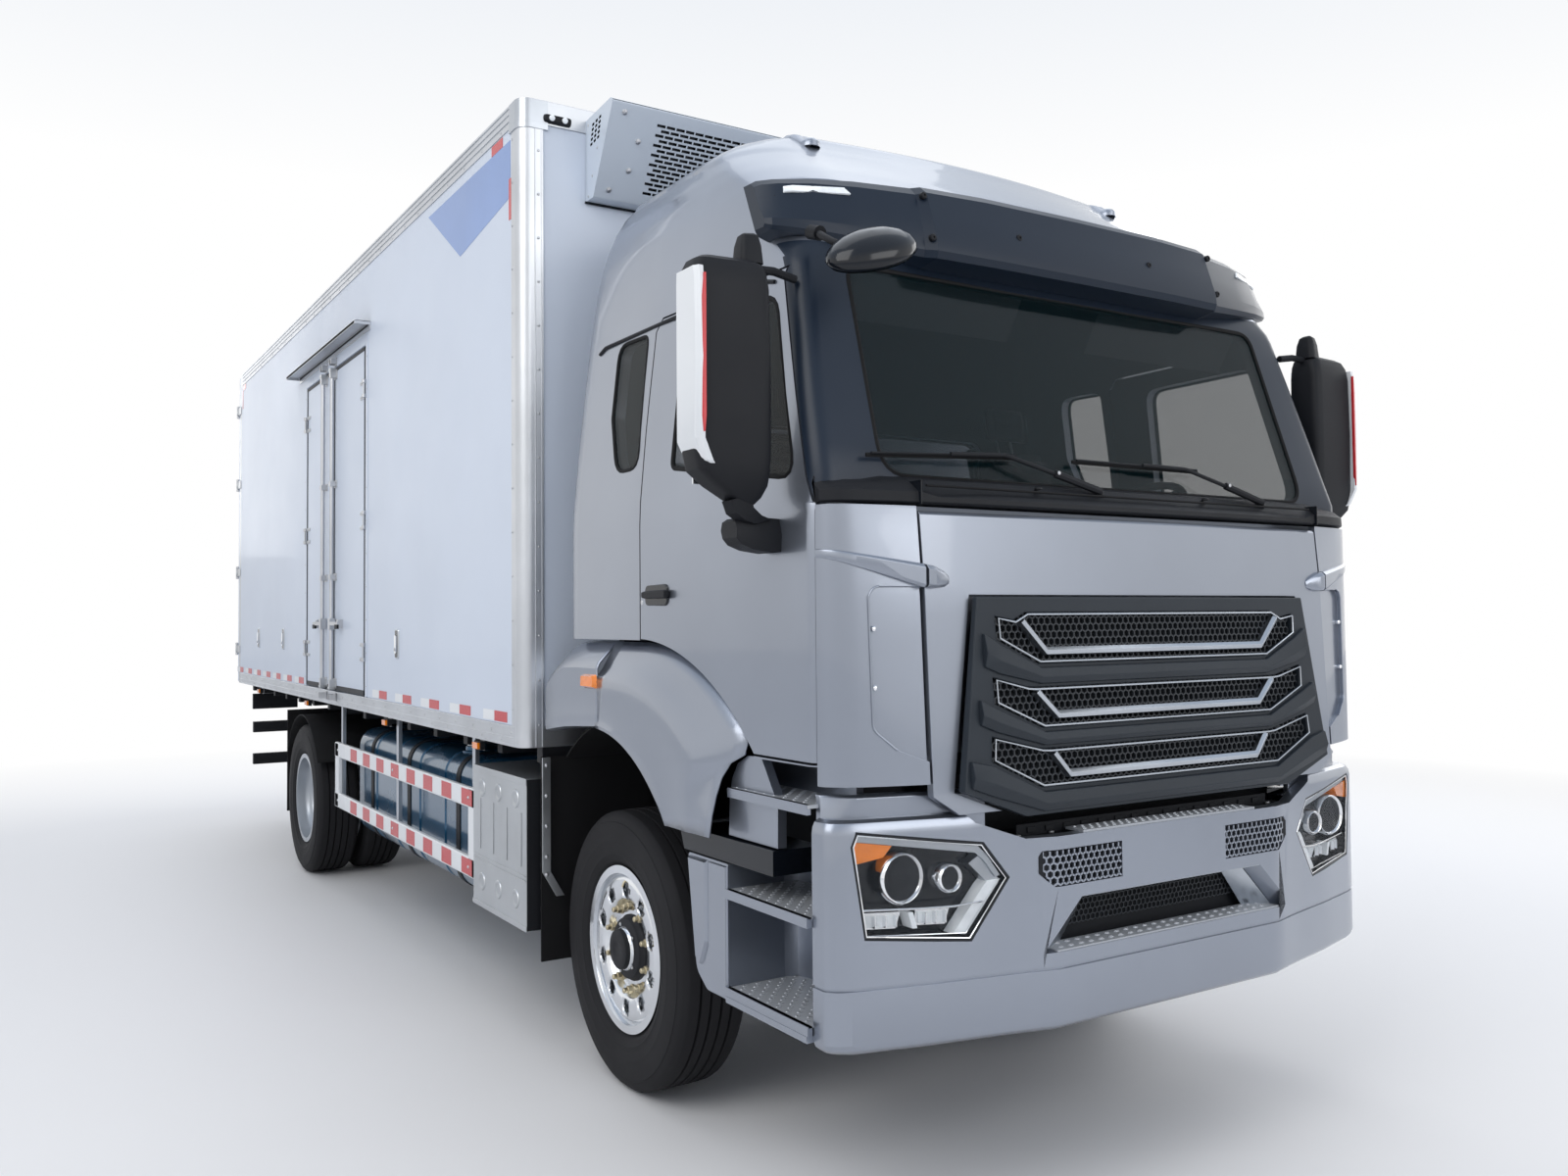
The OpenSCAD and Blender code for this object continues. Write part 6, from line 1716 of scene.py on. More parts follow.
def rear_doors():
    """The rear doors, and the lamps, plate and tape under them."""
    z0, z1 = BOX_LOW + 10, BOX_TOP - 10
    for s, name in SIDES:
        body = "rear_leaf_" + name
        panel = Part("rear_door_panel_" + name, body, s)
        slab(panel, TO_REAR, (6, HALF - 5), (-79.7, 0), (z0, z1), "box")
        slab(panel, TO_REAR, (50, HALF - 50), (0, 1.2), (z0 + 55, z1 - 55), "box")
        edge_seal(panel, TO_REAR, 7, HALF - 6, z0 + 1, z1 - 1, 22, 3)
        panel.done(bevel=2, replaces=["rear_door_" + name], slot="box_white")
        fit = Part("rear_door_fittings_" + name, body, s)
        heights = (FLOOR_TOP + 200, FLOOR_TOP + 850, FLOOR_TOP + 1600, ROOF_LOW_Z - 200)
        leaf_hinges(fit, TO_REAR, (HALF + 4, DOOR_FACE + 12), (HALF + 4, HALF - 256), heights)
        lock_rod(fit, TO_REAR, 260, z0, z1, 1, BOX_LOW + 420)
        lock_rod(fit, TO_REAR, 780, z0, z1, -1, BOX_LOW + 420)
        fit.done(bevel=1.2, segments=2, slot="stainless")
        tape = Part("rear_door_tape_" + name, body, s)
        for x in (60, 980):
            two_tapes(tape, TO_REAR, x, 130, 132, 250, (1.3, 2.6), (z0 + 80, z0 + 125))
        slab(tape, TO_REAR, (1000, 1150), (1.3, 2.6), (z1 - 110, z1 - 65), "red_tape")
        slab(tape, TO_REAR, (1180, 1225), (1.3, 2.6), (z1 - 280, z1 - 65), "red_tape")
        tape.done(slot="box_white")
    p = Part("rear_frame_lamps", "root")
    for s in (1, -1):
        x0, x1 = sorted((s * 820, s * 1180))
        p.box((x0, REAR_PLANE - 50, 960), (x1, REAR_PLANE - 14, 1090), "trim")
        for k, key in enumerate(("red", "amber", "clear") if s == 1 else ("clear", "amber", "red")):
            p.box((x0 + 10 + k * 114, REAR_PLANE - 16, 970), (x0 + 120 + k * 114, REAR_PLANE - 4, 1080), key)
        xa, xb = sorted((s * 900, s * 1100))
        p.box((xa, REAR_PLANE - 50, 1090), (xb, REAR_PLANE - 44, BOX_LOW), "zinc")
        p.lathe([(0, 24), (8, 22), (10, 18), (10.5, 0.01)], "y", (s * 740, REAR_PLANE - 12, 1020), "red", 20)
    p.box((-230, REAR_PLANE - 30, 990), (230, REAR_PLANE - 24, 1110), "plate")
    p.box((-60, REAR_PLANE - 40, 1116), (60, REAR_PLANE - 12, 1136), "clear")
    p.box((-760, REAR_PLANE - 40, 985), (760, REAR_PLANE - 31, 1130), "black")
    p.done(bevel=3, replaces=["rear_lamps"], slot="lamp_red")
    bar = Part("underrun_tape", "root")
    y = span("underrun_guard")[1].y
    for k in range(7):
        two_tapes(bar, end_wall(y), -1120 + k * 330, 150, 152, 290, (0, 1.5), (500, 552))
    bar.done(slot="guard_white")


def cooler():
    """The cooling unit on the front wall: a leaning front with a grille of staggered slots, with shade painted in
    them.
    """
    low, high = span("cooling_unit")
    half, y1 = high.x, high.y
    foot, top = (y1 - 67, low.z), (y1 - 264, high.z - 14)
    profile = [foot, (y1, low.z), (y1, top[1]), (y1 - 240, high.z), top]
    p = Part("cooler_case", "root")
    p.prism(round_outline([profile[0] + (14,), profile[1] + (0,), profile[2] + (0,), profile[3] + (10,),
                           profile[4] + (10,)], 10), "x",
            -half, half, "cooler")
    obj = raw(p)
    n = Vector((top[0] - foot[0], top[1] - foot[1])).normalized()
    out = Vector((-n.y, n.x))
    cut = Part("cutter", "root")
    rows, cols, long, tall = 15, 36, 38, 11
    length = (Vector(top) - Vector(foot)).length

    def slot_box(x0, x1, a, b, depth):
        f = Vector(foot)
        quad = [f + n * a - out * -4, f + n * b - out * -4, f + n * b - out * depth, f + n * a - out * depth]
        cut.prism([tuple(q) for q in quad], "x", x0, x1, "cooler")

    for j in range(rows):
        a = 48 + j * (length - 96) / rows
        for i in range(cols):
            x = -790 + i * (long + 6) + (22 if j % 2 else 0)
            if x + long < 800:
                slot_box(x, x + long, a, a + tall, 16)
    for s in (1, -1):
        for j in range(5):
            for i in range(3):
                y = y1 - 150 + i * 34 + j * 5
                z = top[1] - 34 - j * 19 - i * 4
                xs = sorted((s * (half - 14), s * (half + 4)))
                cut.prism(round_outline([(y, z), (y + 22, z - 3), (y + 22, z + 9), (y, z + 12)], 4), "x", xs[0],
                          xs[1], "cooler")
    obj = combine(obj, [raw(cut)], "DIFFERENCE")
    obj.name = "cooler_case"

    def deep(c, _normal):
        """Faces inside the slots, painted gloss black as the shade in them."""
        q = Vector((c[1], c[2])) - Vector(foot)
        front = -17 < q.dot(out) < -3 and 20 < q.dot(n) < length and abs(c[0]) < 820 and c[1] < y1 - 2
        side = half - 15 < abs(c[0]) < half - 1 and c[1] > y1 - 160 and top[1] - 160 < c[2] < top[1] - 10
        return front or side

    # Painted shade: the shallow slots' insides are gloss black, standing for the dark behind the grille.
    paint_faces(obj, "gloss", deep)
    finish_piece(obj, "root", replaces=["cooling_unit"], smooth=30)
    d = Part("cooler_fittings", "root")
    for x, a in ((-872, 130), (-858, 250), (872, 130), (858, 250), (-940, 40), (940, 40), (-940, 350), (940, 350)):
        q = Vector(foot) + n * a
        rings = [[(x + r * math.cos(t), q.x + n.x * r * math.sin(t) + out.x * h,
                   q.y + n.y * r * math.sin(t) + out.y * h)
                  for t in turns(12)] for h, r in ((0, 12), (3, 12), (4, 8), (9, 7), (10, 5))]
        d.loft(rings, "zinc")
    for s in (1, -1):
        face = side_wall(s * half, s)
        for y, z in ((y1 - 20, low.z + 16), (y1 - 60, low.z + 90), (y1 - 110, low.z + 190), (y1 - 20, high.z - 40)):
            dome(d, face, y, z, 6, "zinc", 3)
        slab(d, face, (y1 - 6, y1), (0, 3), (low.z, high.z - 16), "cooler")
    d.box((-half - 8, y1 - 4, low.z - 10), (half + 8, y1, low.z), "gloss")
    d.done(bevel=0.8, slot="cooler_white")


# ---------------------------------------------------------------- tank, battery box, guards

def tank():
    """The fuel tank: swages, straps and a filler neck."""
    low, high = span("fuel_tank")
    x0, x1, y0, y1, z0, z1 = low.x, low.x + 590, low.y, high.y, low.z, high.z
    r = 110
    outline = []
    for x, z, start in ((x0 + r, z0 + r, 180), (x1 - r, z0 + r, 270), (x1 - r, z1 - r, 0), (x0 + r, z1 - r, 90)):
        outline += arc((x, z), r, start, start + 90, 8)
    p = Part("fuel_tank_shell", "root")
    rings = [(y0 + 2, -60), (y0 + 1, -30), (y0 + 10, -12), (y0 + 14, 0), (y0 + 24, 0)]
    for k in range(1, 5):
        y = y0 + (y1 - y0) * k / 5
        rings += [(y - 34, 0), (y - 24, -6), (y + 24, -6), (y + 34, 0)]
    rings += [(y1 - 24, 0), (y1 - 14, 0), (y1 - 10, -12), (y1 - 1, -30), (y1 - 2, -60)]
    p.loft([[(x, y, z) for x, z in grow(outline, d)] for y, d in rings], "tank")
    for y in (y0 + 250, y0 + (y1 - y0) * 0.5, y1 - 330):
        p.loft([[(x, yy, z) for x, z in grow(outline, d + 0.3)]
                for yy, d in ((y - 30, 0), (y - 29, 4), (y + 29, 4), (y + 30, 0))], "trim", caps=False)
        p.box((x1 - 20, y - 30, 640), (-410, y + 30, 980), "black")
    p.lathe([(0, 62), (20, 62), (24, 56), (24, 48), (30, 48), (44, 46), (46, 40), (46.5, 0.01)], "z",
            (x0 + 140, y0 + 420, z1 - 18), "tank", 28)
    p.lathe([(0, 40), (6, 38), (8, 30), (8.5, 0.01)], "z", (x0 + 140, y0 + 420, z1 + 28), "zinc", 24)
    p.done(bevel=1, replaces=["fuel_tank"], slot="tank_blue", smooth=16)


def battery():
    """The battery box: a lidded case of pressed sheet with a vented front."""
    low, high = span("battery_box")
    x0, y0, y1, z0, z1 = low.x, low.y, high.y, low.z, high.z
    p = Part("battery_case", "root")
    p.box((x0 + 4, y0 + 6, z0), (-760, y1, z1), "steel")
    p.box((-770, y0 + 120, 780), (-410, y0 + 200, 960), "black")
    p.box((-770, y1 - 200, 780), (-410, y1 - 120, 960), "black")
    face = side_wall(x0 + 4, -1)
    slab(p, face, (y0 + 2, y1), (0, 4), (z1 - 26, z1), "steel")
    slab(p, face, (y0 + 2, y1), (0, 4), (z0, z0 + 22), "steel")
    for z in (z0 + 196, z0 + 214):
        slab(p, face, (y0 + 14, y1 - 14), (0, 4), (z, z + 7), "steel")
    for z in (z1 - 92, z0 + 110):
        for k in range(3):
            u = y0 + 130 + k * 205
            rings = [[(x0 + 4 - h, u + r * math.cos(a), z + r * math.sin(a)) for a in turns(24)]
                     for h, r in ((-1, 40), (4, 37), (5, 30), (0, 20), (-0.5, 1))]
            p.loft(rings, "steel")
    for k in range(4):
        u = y0 + 60 + k * 165
        slab(p, face, (u, u + 6), (0, 3), (z0 + 250, z1 - 140), "steel")
    p.done(bevel=3, segments=2, replaces=["battery_box"], slot="stainless", smooth=35)
    q = Part("battery_front", "root")
    q.box((x0 + 6, y0, z0 + 4), (-764, y0 + 8, z1 - 4), "trim")
    for k in range(6):
        z = z0 + 70 + k * 86
        q.prism([(y0 + 4, z), (y0 + 0.5, z + 4), (y0 + 1, z + 34), (y0 + 4, z + 44)], "x", x0 + 40, x0 + 440, "trim")
        for i in range(5):
            q.box((x0 + 60 + i * 76, y0 - 0.4, z + 8), (x0 + 106 + i * 76, y0 + 1.5, z + 28), "box_edge")
    q.done(bevel=1, slot="trim_black")


def guards():
    """The side guards with their tape, and the mud flaps' brackets."""
    low, high = span("side_guards")
    y0, y1, z0, z1, out = low.y, high.y, low.z, 945, high.x
    at = side_wall(out)
    for s, name in SIDES:
        p = Part("side_guard_" + name, "root", s)
        for axis, starts, a, b in (("y", (z0, z1 - 90), y0, y1), ("z", (y0, y1 - 90), z0 + 4, z1 - 4)):
            for w in starts:
                bar = [(out - 25, w), (out, w), (out, w + 90), (out - 25, w + 90)]
                p.prism(round_outline(bar, 7, 3), axis, a, b, "white")
        for y in (y0 + 60, (y0 + y1) / 2 - 20, y1 - 100):
            p.box((out - 45, y, z0 + 20), (out - 25, y + 40, BOX_LOW), "satin")
            p.box((out - 70, y - 20, BOX_LOW - 8), (out - 12, y + 60, BOX_LOW), "zinc")
            for z in (z0 + 45, z1 - 45):
                dome(p, at, y + 20, z, 9, "zinc", 6)
        for z in (z0 + 9, z1 - 81):
            for k in range(9):
                u = y0 + 30 + k * 300
                if u + 290 < y1:
                    two_tapes(p, at, u, 148, 149, 290, (0.1, 1.4), (z, z + 72))
        p.done(bevel=1.5, replaces=["side_guards"] if s == 1 else (), slot="guard_white")
        f = Part("flap_bracket_" + name, "root", s)
        flap = [(1208, 1150), (1208, 700), (1150, 600)]
        for a, b in zip(flap, flap[1:]):
            f.faces([(a[0] - 34, 520, a[1]), (a[0], 520, a[1]), (b[0], 520, b[1]), (b[0] - 34, 520, b[1]),
                     (a[0] - 34, 512, a[1]), (a[0], 512, a[1]), (b[0], 512, b[1]), (b[0] - 34, 512, b[1])],
                    [[0, 1, 2, 3], [7, 6, 5, 4], [0, 4, 5, 1], [2, 6, 7, 3], [1, 5, 6, 2], [3, 7, 4, 0]], "steel")
        for z in (1120, 1000, 880, 760, 690):
            f.lathe([(0, 9), (-4, 8), (-6, 4), (-6.5, 0.01)], "y", (1191, 512, z), "zinc", 10)
        f.done(bevel=1, slot="stainless")


# ---------------------------------------------------------------- door handles and window seals

def side_seal(p, outline, r):
    """A rubber seal round a window in the cab's side."""
    p.tube([(side_x(y, z) - 4, y, z) for y, z in outline], r, "rubber", n=8, closed=True, flat=0.9)


def door_trim(side, name):
    """A cab door's window seal, handle and lock, and the quarter window's seal."""
    p = Part("door_trim_" + name, "cab_door_" + name, side)
    side_seal(p, DOOR_WINDOW, 9)
    x = side_x(-470, 1774)
    hole = round_outline([(-560, 1738), (-392, 1738), (-392, 1812), (-560, 1812)], 26, 6)
    p.taper(hole, grow(hole, -4), "x", x - 3, x + 3, "gloss")
    bar = round_outline([(-574, 1762), (-398, 1764), (-398, 1790), (-574, 1792)], 11, 5)
    p.taper(bar, grow(bar, -4), "x", x + 8, x + 21, "trim")
    for y in (-566, -410):
        p.box((x - 2, y - 6, 1768), (x + 12, y + 6, 1786), "trim")
    p.lathe([(0, 9), (3, 9), (3.5, 7), (3.6, 0.01)], "x", (x + 1, -372, 1752), "zinc", 14)
    p.done(bevel=1.5, slot="trim_black")
    q = Part("quarter_seal_" + name, "cab", side)
    side_seal(q, QUARTER, 8)
    q.done(slot="rubber_black")


def windscreen_seal():
    """The seals round the windscreen and the rear window."""
    p = Part("windscreen_seal", "cab")
    p.tube([(x, windscreen_y(z) + 8 * (x / 1000) ** 2 + 3, z) for x, z in WINDSCREEN], 8, "rubber", n=6, closed=True)
    p.tube([(x, 250, z) for x, z in REAR_WINDOW], 8, "rubber", n=6, closed=True)
    p.done(slot="rubber_black")


box_trim()
side_doors()
rear_doors()
cooler()
tank()
battery()
guards()
for s, n in SIDES:
    door_trim(s, n)
windscreen_seal()


# ---------------------------------------------------------------- cab interior

# Voxels in metres, and the cloth's pressure and frames, for the pads
PAD_VOXEL, PAD_PRESSURE, PAD_FRAMES = 0.011, 4, 20


def puff(obj, cap):
    """Blow a pad up a little under cloth pressure, with each point's move capped, and keep the result."""
    remesh = obj.modifiers.new("remesh", "REMESH")
    remesh.mode, remesh.voxel_size = "VOXEL", PAD_VOXEL
    apply_modifiers(obj)
    start = [v.co.copy() for v in obj.data.vertices]
    cloth = obj.modifiers.new("cloth", "CLOTH")
    cloth.settings.use_pressure = True
    cloth.settings.uniform_pressure_force = PAD_PRESSURE
    cloth.settings.effector_weights.gravity = 0
    cloth.point_cache.frame_start, cloth.point_cache.frame_end = 1, PAD_FRAMES
    for f in range(1, PAD_FRAMES + 1):
        scene.frame_set(f)
    apply_modifiers(obj)
    for v, p in zip(obj.data.vertices, start):
        move = v.co - p
        if move.length > cap / 1000:
            v.co = p + move.normalized() * (cap / 1000)
    scene.frame_set(1)


def pad_shape(name, foot, head, width, thick, out):
    """A crowned pad between its foot and head, (y, z) points on its back face; out is the way it faces."""
    foot, head, out = Vector(foot), Vector(head), Vector(out).normalized()
    along = head - foot
    rings = []
    for t in spread(-1, 1, 26):
        end = max(0.0, 1 - abs(t) ** 7) ** 0.30
        w = width * (1 - 0.035 * (1 - t * t)) * (0.80 + 0.20 * end)
        ring = []
        for a in turns(44):
            c, s = math.cos(a), math.sin(a)
            u = math.copysign(abs(c) ** 0.34, c) * w
            v = math.copysign(abs(s) ** 0.42, s)
            crown = 1 + 0.20 * (1 - min(1, abs(u) / width) ** 2) * (1 - t * t)
            q = foot + along * (0.5 + t * 0.5) + out * (thick / 2 * (1 + v * end * (crown if v > 0 else 0.94)))
            ring.append((u, q.x, q.y))
        rings.append(ring)
    p = Part(name, "cab")
    p.loft(rings, "cloth")
    return raw(p)


def sew(obj, foot, head, out, lines, across):
    """Press sewn channels into a pad's front: lines run along it, across them at shares of its length."""
    depth, reach = 7, 16
    foot, along, out = Vector(foot), Vector(head) - Vector(foot), Vector(out).normalized()
    length = along.length
    for v in obj.data.vertices:
        x, q = v.co.x * 1000, Vector(((v.co.y - AXLE_Y) * 1000, v.co.z * 1000)) - foot
        if q.dot(out) < 20:
            continue
        t = q.dot(along) / length
        d = min([abs(abs(x) - u) for u in lines] +
                [abs(t - a * length) if abs(x) < lines[-1] else 99 for a in across])
        if d < reach:
            move = out * (-depth * (0.5 + 0.5 * math.cos(math.pi * d / reach)) / 1000)
            v.co.y += move.x
            v.co.z += move.y


def seats():
    """Two seats of three sewn pads on plain bases."""
    pads = [("cushion", (-760, 1800), (-310, 1772), 225, 104, (0.06, 1), (150,), (0.36, 0.62), 24),
            ("back", (-262, 1915), (-165, 2380), 215, 76, (-1, 0.2), (140,), (0.30, 0.52, 0.72), 22),
            ("headrest", (-158, 2440), (-136, 2586), 118, 52, (-1, 0.15), (80,), (0.5,), 14)]
    for kind, foot, head, width, thick, out, lines, across, cap in pads:
        obj = pad_shape("seat_%s_left" % kind, foot, head, width, thick, out)
        puff(obj, cap)
        sew(obj, foot, head, out, lines, across)
        right = copy_of(obj, "seat_%s_right" % kind)
        for o, s in ((obj, 1), (right, -1)):
            for v in o.data.vertices:
                v.co.x += s * 0.640
            only(o, "cloth")
            finish_piece(o, "cab", replaces=["seats"] if (kind == "cushion" and s == 1) else (),
                         smooth=80)
            sub = o.modifiers.new("smooth", "SUBSURF")
            sub.levels = sub.render_levels = 1
    p = Part("seat_bases", "cab")
    for s in (1, -1):
        c = s * 640
        p.prism(round_outline([(-710, 1400), (-340, 1400), (-360, 1560), (-320, 1780), (-740, 1800), (-690, 1560)],
                              20), "x",
                c - 190, c + 190, "dash")
        p.prism(round_outline([(-800, 1786), (-300, 1756), (-296, 1790), (-796, 1822)], 12), "x", c - 232, c + 232,
                "dash")
        p.prism(round_outline([(-300, 1800), (-262, 1880), (-140, 2400), (-170, 2404), (-246, 2060), (-296, 1900)],
                              12), "x",
                c - 205, c + 205, "dash")
        for x in (c - 40, c + 40):
            p.tube([(x, -172, 2360), (x, -150, 2470)], 6, "satin", n=8)
        p.tube([(c - 215, -560, 1836), (c - 228, -430, 1850), (c - 226, -330, 1860)], 10, "trim", n=8)
    p.done(bevel=6, segments=3, slot="dash_plastic")


def dashboard():
    """The dashboard with its hood, console and vents."""
    p = Part("dash_body", "cab")
    side = [(-1326, 1704), (-1060, 1704), (-975, 1850), (-1000, 1986), (-1070, 2040), (-1180, 2052), (-1326, 2066)]
    p.prism(round_outline(side, 22, 5), "x", -1075, 1075, "dash")
    p.done(bevel=8, segments=3, angle=50, replaces=["dashboard"], slot="dash_plastic")
    q = Part("dash_fittings", "cab")
    hood = [[(x, y, z) for y, z in round_outline([(-1180, 2046), (-1010, 2000), (-985, 2036), (-1020, 2092),
                                                  (-1130, 2090)], 18, 4)]
            for x in (420, 440, 800, 820)]
    hood[0] = [(x, y * 0.97 - 32, 2044 + (z - 2044) * 0.75) for x, y, z in hood[0]]
    hood[3] = [(x, y * 0.97 - 32, 2044 + (z - 2044) * 0.75) for x, y, z in hood[3]]
    q.loft(hood, "dash")
    q.prism([(-1000, 2004), (-992, 2004), (-1016, 2074), (-1024, 2074)], "x", 452, 788, "gloss")
    for x in (520, 720):
        q.lathe([(0, 46), (3, 46), (4, 42), (1, 40)], "y", (x, -1004, 2040), "satin", 24)
    console = round_outline([(-1010, 1760), (-962, 1850), (-990, 1990), (-1050, 2044), (-1080, 2030), (-1070, 1760)],
                            16, 4)
    q.prism(console, "x", -60, 330, "dash")
    q.prism([(-972, 1880), (-966, 1882), (-990, 1978), (-996, 1976)], "x", -20, 290, "gloss")
    for x0 in (-960, -640, -280, 340, 900):
        for k in range(5):
            q.prism([(-1002, 1950 + k * 11), (-984, 1948 + k * 11), (-984, 1953 + k * 11), (-1002, 1956 + k * 11)],
                    "x", x0, x0 + 130, "trim")
        q.prism([(-1006, 1940), (-990, 1940), (-998, 2008), (-1010, 2008)], "x", x0 - 10, x0 - 2, "trim")
        q.prism([(-1006, 1940), (-990, 1940), (-998, 2008), (-1010, 2008)], "x", x0 + 132, x0 + 140, "trim")
    for x in range(-1000, 1001, 40):
        q.box((x, -1310, 2063), (x + 26, -1296, 2068), "trim")
    q.prism([(-984, 1880), (-980, 1880), (-1062, 1726), (-1066, 1728)], "x", -900, -240, "trim")
    q.done(bevel=2, slot="dash_plastic")


def steering():
    """The steering wheel: a leather rim with a groove under each spoke, a padded hub and its column."""
    c, tilt, r = Vector((620, -880, 2060)), math.radians(32), 215
    turn = Matrix.Rotation(-tilt, 3, "X")

    def at(x, y, z):
        q = turn @ Vector((x, y, z))
        return tuple(c + q)

    p = Part("steering_wheel_rim", "cab")
    rings = []
    for k in range(60):
        a = 2 * math.pi * k / 60
        grip = 14.5 - 0.9 * (1 if k % 15 == 0 else 0)
        rings.append([at((r + grip * math.cos(b)) * math.cos(a), (r + grip * math.cos(b)) * math.sin(a),
                         grip * math.sin(b))
                      for b in turns(12)])
    rings.append(rings[0])
    p.loft(rings, "leather", caps=False)
    for a in (0, 180, 250, 290):
        u = (math.cos(math.radians(a)), math.sin(math.radians(a)))
        n = (-u[1], u[0])
        spoke = []
        for d, w, z, h in ((60, 34, -14, 9), (120, 20, -12, 7), (r - 10, 15, -4, 6)):
            spoke.append([at(u[0] * d + n[0] * e * w, u[1] * d + n[1] * e * w, z + f * h) for e, f in
                          ((-1, 0), (-0.7, 1), (0.7, 1), (1, 0), (0.7, -1), (-0.7, -1))])
        p.loft(spoke, "satin")
    hub = [[at(k * 72 * math.cos(t), k * 62 * math.sin(t), z) for t in turns(24)]
           for z, k in ((-34, 0.7), (-30, 1), (-6, 1), (2, 0.9), (5, 0.5), (5.5, 0.05))]
    p.loft(hub, "dash")
    column = [[at(rr * math.cos(t), rr * math.sin(t), z) for t in turns(20)]
              for z, rr in ((-190, 38), (-60, 38), (-36, 30))]
    p.loft(column, "dash")
    for s in (1, -1):
        p.tube([at(s * 30, 10, -62), at(s * 120, 20, -58), at(s * 165, 24, -50)], 7, "trim", n=8)
    p.done(bevel=1, replaces=["steering_wheel"], slot="dash_plastic", smooth=60)


def headliner():
    """The sun blinds, the rear wall's lining and the bunk."""
    p = Part("cab_inner_trim", "cab")
    for s in (1, -1):
        x0, x1 = sorted((s * 180, s * 900))
        p.prism(round_outline([(-1150, 2746), (-1136, 2746), (-1060, 2620), (-1074, 2616)], 4), "x", x0, x1, "lining")
    p.prism(round_outline([(150, 1500), (196, 1500), (196, 2060), (150, 2060)], 20), "x", -1020, 1020, "lining")
    p.prism(round_outline([(-210, 1620), (150, 1620), (150, 1760), (-210, 1760)], 40, 4), "x", -1040, 1040, "cloth")
    p.done(bevel=6, segments=2, slot="dash_plastic")


seats()
dashboard()
steering()
headliner()


# ---------------------------------------------------------------- camera, light and floor

CAMERA_AT = (-3047, -4186, 1696)
YAW, PITCH, ROLL = 0.56489, 0.03274, -0.00838
CAMERA_LENS, CAMERA_SHIFT, SENSOR = 28.607, -0.00686, 36


def camera():
    """The camera, solved from the photograph's straight edges."""
    data = bpy.data.cameras.new("camera")
    data.lens, data.sensor_width, data.shift_y = CAMERA_LENS, SENSOR, CAMERA_SHIFT
    data.clip_start, data.clip_end = 0.05, 200
    cam = bpy.data.objects.new("camera", data)
    forward = Vector((math.sin(YAW) * math.cos(PITCH), math.cos(YAW) * math.cos(PITCH), math.sin(PITCH)))
    right = forward.cross(Vector((0, 0, 1))).normalized()
    up = right.cross(forward)
    x = right * math.cos(ROLL) + up * math.sin(ROLL)
    y = up * math.cos(ROLL) - right * math.sin(ROLL)
    turn = Matrix((x, y, -forward)).transposed()
    cam.matrix_world = Matrix.Translation(place(CAMERA_AT)) @ turn.to_4x4()
    scene.collection.objects.link(cam)
    scene.camera = cam


def lamp(name, at, size, watts, aim, colour=(1, 1, 1)):
    """A soft area lamp."""
    data = bpy.data.lights.new(name, "AREA")
    data.shape, data.size, data.size_y = "RECTANGLE", size[0], size[1]
    data.energy, data.color = watts, colour
    obj = bpy.data.objects.new(name, data)
    obj.location = place(at)
    obj.rotation_mode = "QUATERNION"
    obj.rotation_quaternion = (place(aim) - obj.location).to_track_quat("-Z", "Y")
    scene.collection.objects.link(obj)


def world():
    """A white backdrop, cooler overhead, for the camera, mirrors and glass, and a soft gradient for light."""
    w = bpy.data.worlds.new("studio")
    scene.world = w
    w.use_nodes = True
    t = w.node_tree
    t.nodes.clear()
    out = t.nodes.new("ShaderNodeOutputWorld")
    path = t.nodes.new("ShaderNodeLightPath")
    coord = t.nodes.new("ShaderNodeTexCoord")
    split = t.nodes.new("ShaderNodeSeparateXYZ")
    ramp = t.nodes.new("ShaderNodeValToRGB")
    stops = [(0.0, (0.30, 0.31, 0.33)), (0.48, (0.34, 0.35, 0.38)), (0.53, (0.42, 0.45, 0.50)),
             (0.70, (0.72, 0.77, 0.86)), (1.0, (0.95, 0.97, 1.0))]
    while len(ramp.color_ramp.elements) < len(stops):
        ramp.color_ramp.elements.new(0.5)
    for e, (p, c) in zip(ramp.color_ramp.elements, stops):
        e.position, e.color = p, (*c, 1)
    half = t.nodes.new("ShaderNodeMapRange")
    half.inputs["From Min"].default_value = -1
    shaded = t.nodes.new("ShaderNodeBackground")
    shaded.inputs["Strength"].default_value = 0.8
    white = t.nodes.new("ShaderNodeBackground")
    sky = t.nodes.new("ShaderNodeValToRGB")
    for e, p, c in zip(sky.color_ramp.elements, (0.66, 0.86), ((1, 1, 1, 1), (0.60, 0.68, 0.80, 1))):
        e.position, e.color = p, c
    mix = t.nodes.new("ShaderNodeMixShader")
    seen, seen_all = [t.nodes.new("ShaderNodeMath") for _ in range(2)]
    seen.operation = seen_all.operation = "MAXIMUM"
    t.links.new(coord.outputs["Generated"], split.inputs["Vector"])
    t.links.new(split.outputs["Z"], half.inputs["Value"])
    t.links.new(half.outputs["Result"], ramp.inputs["Fac"])
    t.links.new(ramp.outputs["Color"], shaded.inputs["Color"])
    t.links.new(path.outputs["Is Camera Ray"], seen.inputs[0])
    t.links.new(path.outputs["Is Transmission Ray"], seen.inputs[1])
    t.links.new(seen.outputs["Value"], seen_all.inputs[0])
    t.links.new(path.outputs["Is Glossy Ray"], seen_all.inputs[1])
    t.links.new(seen_all.outputs["Value"], mix.inputs["Fac"])
    t.links.new(half.outputs["Result"], sky.inputs["Fac"])
    t.links.new(sky.outputs["Color"], white.inputs["Color"])
    t.links.new(shaded.outputs["Background"], mix.inputs[1])
    t.links.new(white.outputs["Background"], mix.inputs[2])
    t.links.new(mix.outputs["Shader"], out.inputs["Surface"])


# In metres: the floor's size, and where it starts and ends its fade to white
FLOOR_RADIUS, FLOOR_FADE = 60, (5.5, 11.0)


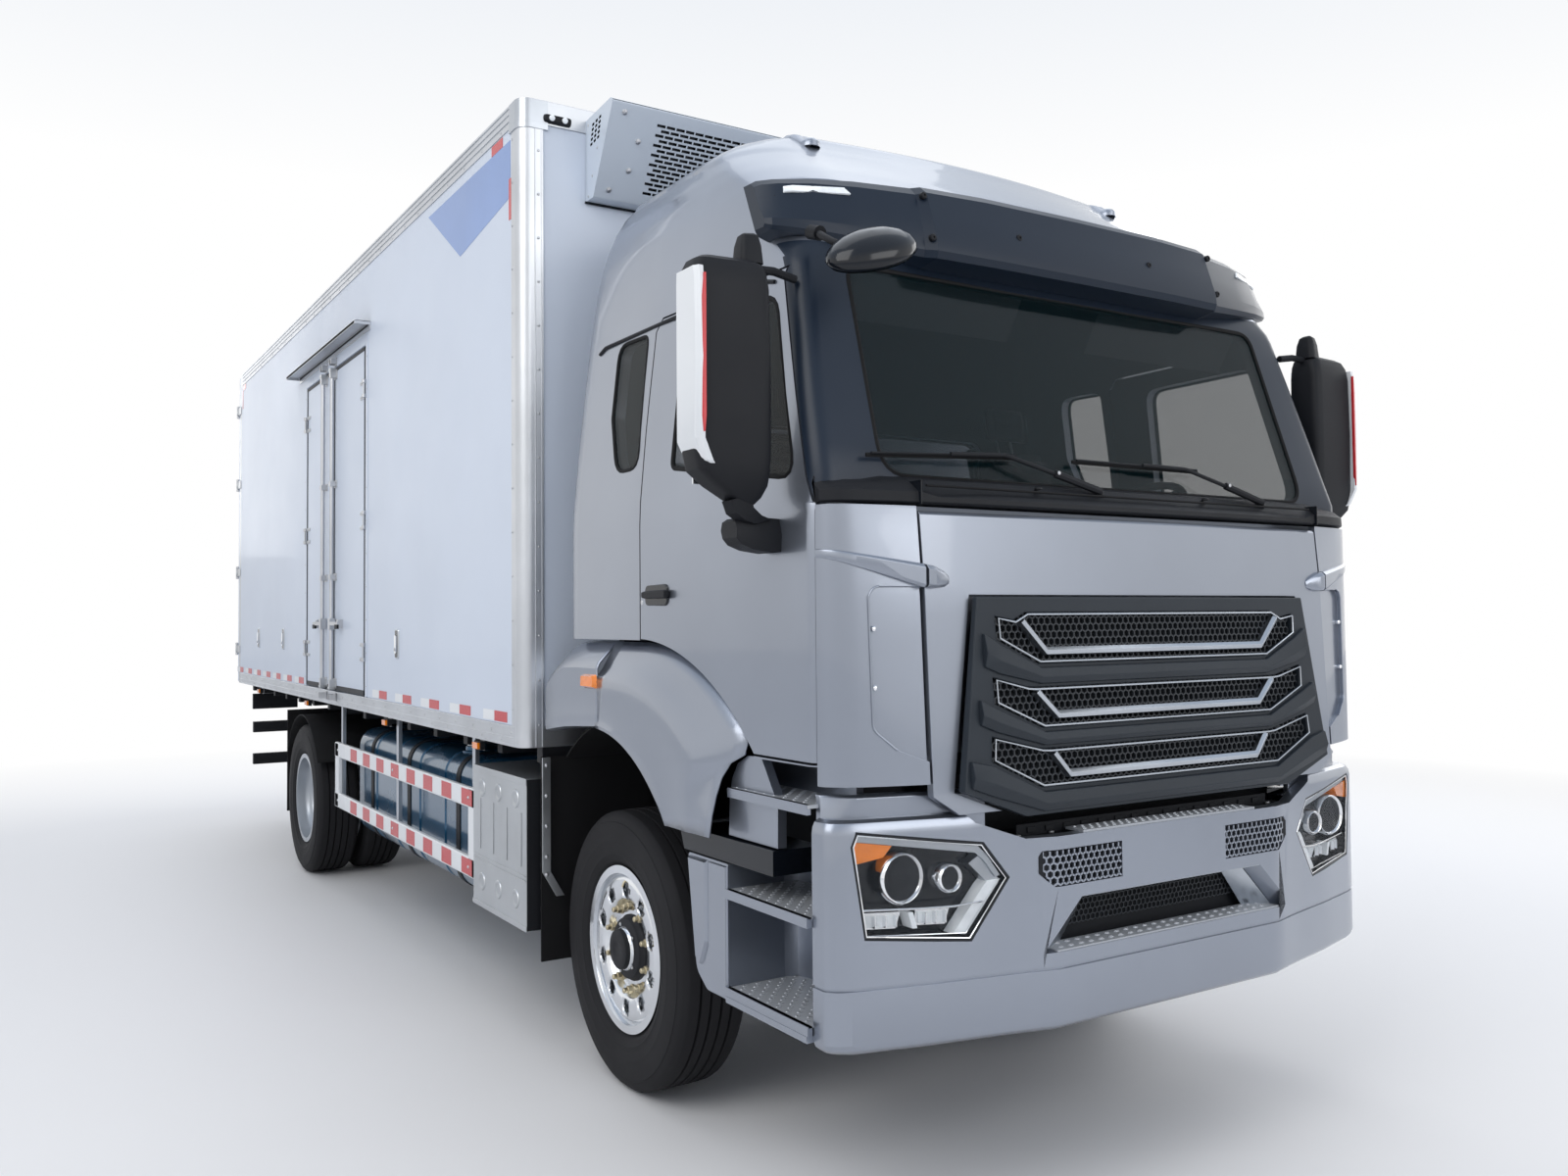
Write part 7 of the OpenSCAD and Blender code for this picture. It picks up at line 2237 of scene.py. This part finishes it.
def floor():
    """A pale floor that fades to the white background."""
    mesh = bpy.data.meshes.new("floor")
    bm = bmesh.new()
    bmesh.ops.create_circle(bm, cap_ends=True, segments=96, radius=FLOOR_RADIUS)
    bm.to_mesh(mesh)
    bm.free()
    obj = bpy.data.objects.new("floor", mesh)
    obj.location = (0, 0, -0.001)
    scene.collection.objects.link(obj)
    m, t, bsdf, add = node_tree("floor")
    bsdf.inputs["Base Color"].default_value = (0.80, 0.80, 0.81, 1)
    bsdf.inputs["Roughness"].default_value = 0.6
    bsdf.inputs["Specular IOR Level"].default_value = 0.2
    coord = add("ShaderNodeTexCoord")
    length = add("ShaderNodeVectorMath", operation="LENGTH")
    fade = add("ShaderNodeMapRange")
    for k, v in zip(("From Min", "From Max"), FLOOR_FADE):
        fade.inputs[k].default_value = v
    path = add("ShaderNodeLightPath")
    only = add("ShaderNodeMath", operation="MULTIPLY")
    white = add("ShaderNodeEmission")
    mix = add("ShaderNodeMixShader")
    t.links.new(coord.outputs["Object"], length.inputs[0])
    t.links.new(length.outputs["Value"], fade.inputs["Value"])
    t.links.new(fade.outputs["Result"], only.inputs[0])
    t.links.new(path.outputs["Is Camera Ray"], only.inputs[1])
    t.links.new(only.outputs["Value"], mix.inputs["Fac"])
    t.links.new(bsdf.outputs["BSDF"], mix.inputs[1])
    t.links.new(white.outputs["Emission"], mix.inputs[2])
    t.links.new(mix.outputs["Shader"], t.nodes["Material Output"].inputs["Surface"])
    mesh.materials.append(m)


camera()
world()
floor()
lamp("key", (-7500, -2500, 7500), (6, 6), 300, aim=(-800, 1500, 1800), colour=(1.0, 0.985, 0.96))
lamp("front", (1500, -9500, 5200), (7, 4), 200, aim=(0, -1400, 1500))
lamp("top", (500, 2500, 9500), (7, 10), 150, aim=(0, 2500, 0))
lamp("far", (8500, 1500, 5200), (8, 5), 190, aim=(1000, 2000, 1500))
lamp("back", (0, 13500, 4500), (6, 4), 150, aim=(0, 6000, 2000))
scene.view_settings.view_transform = "Standard"
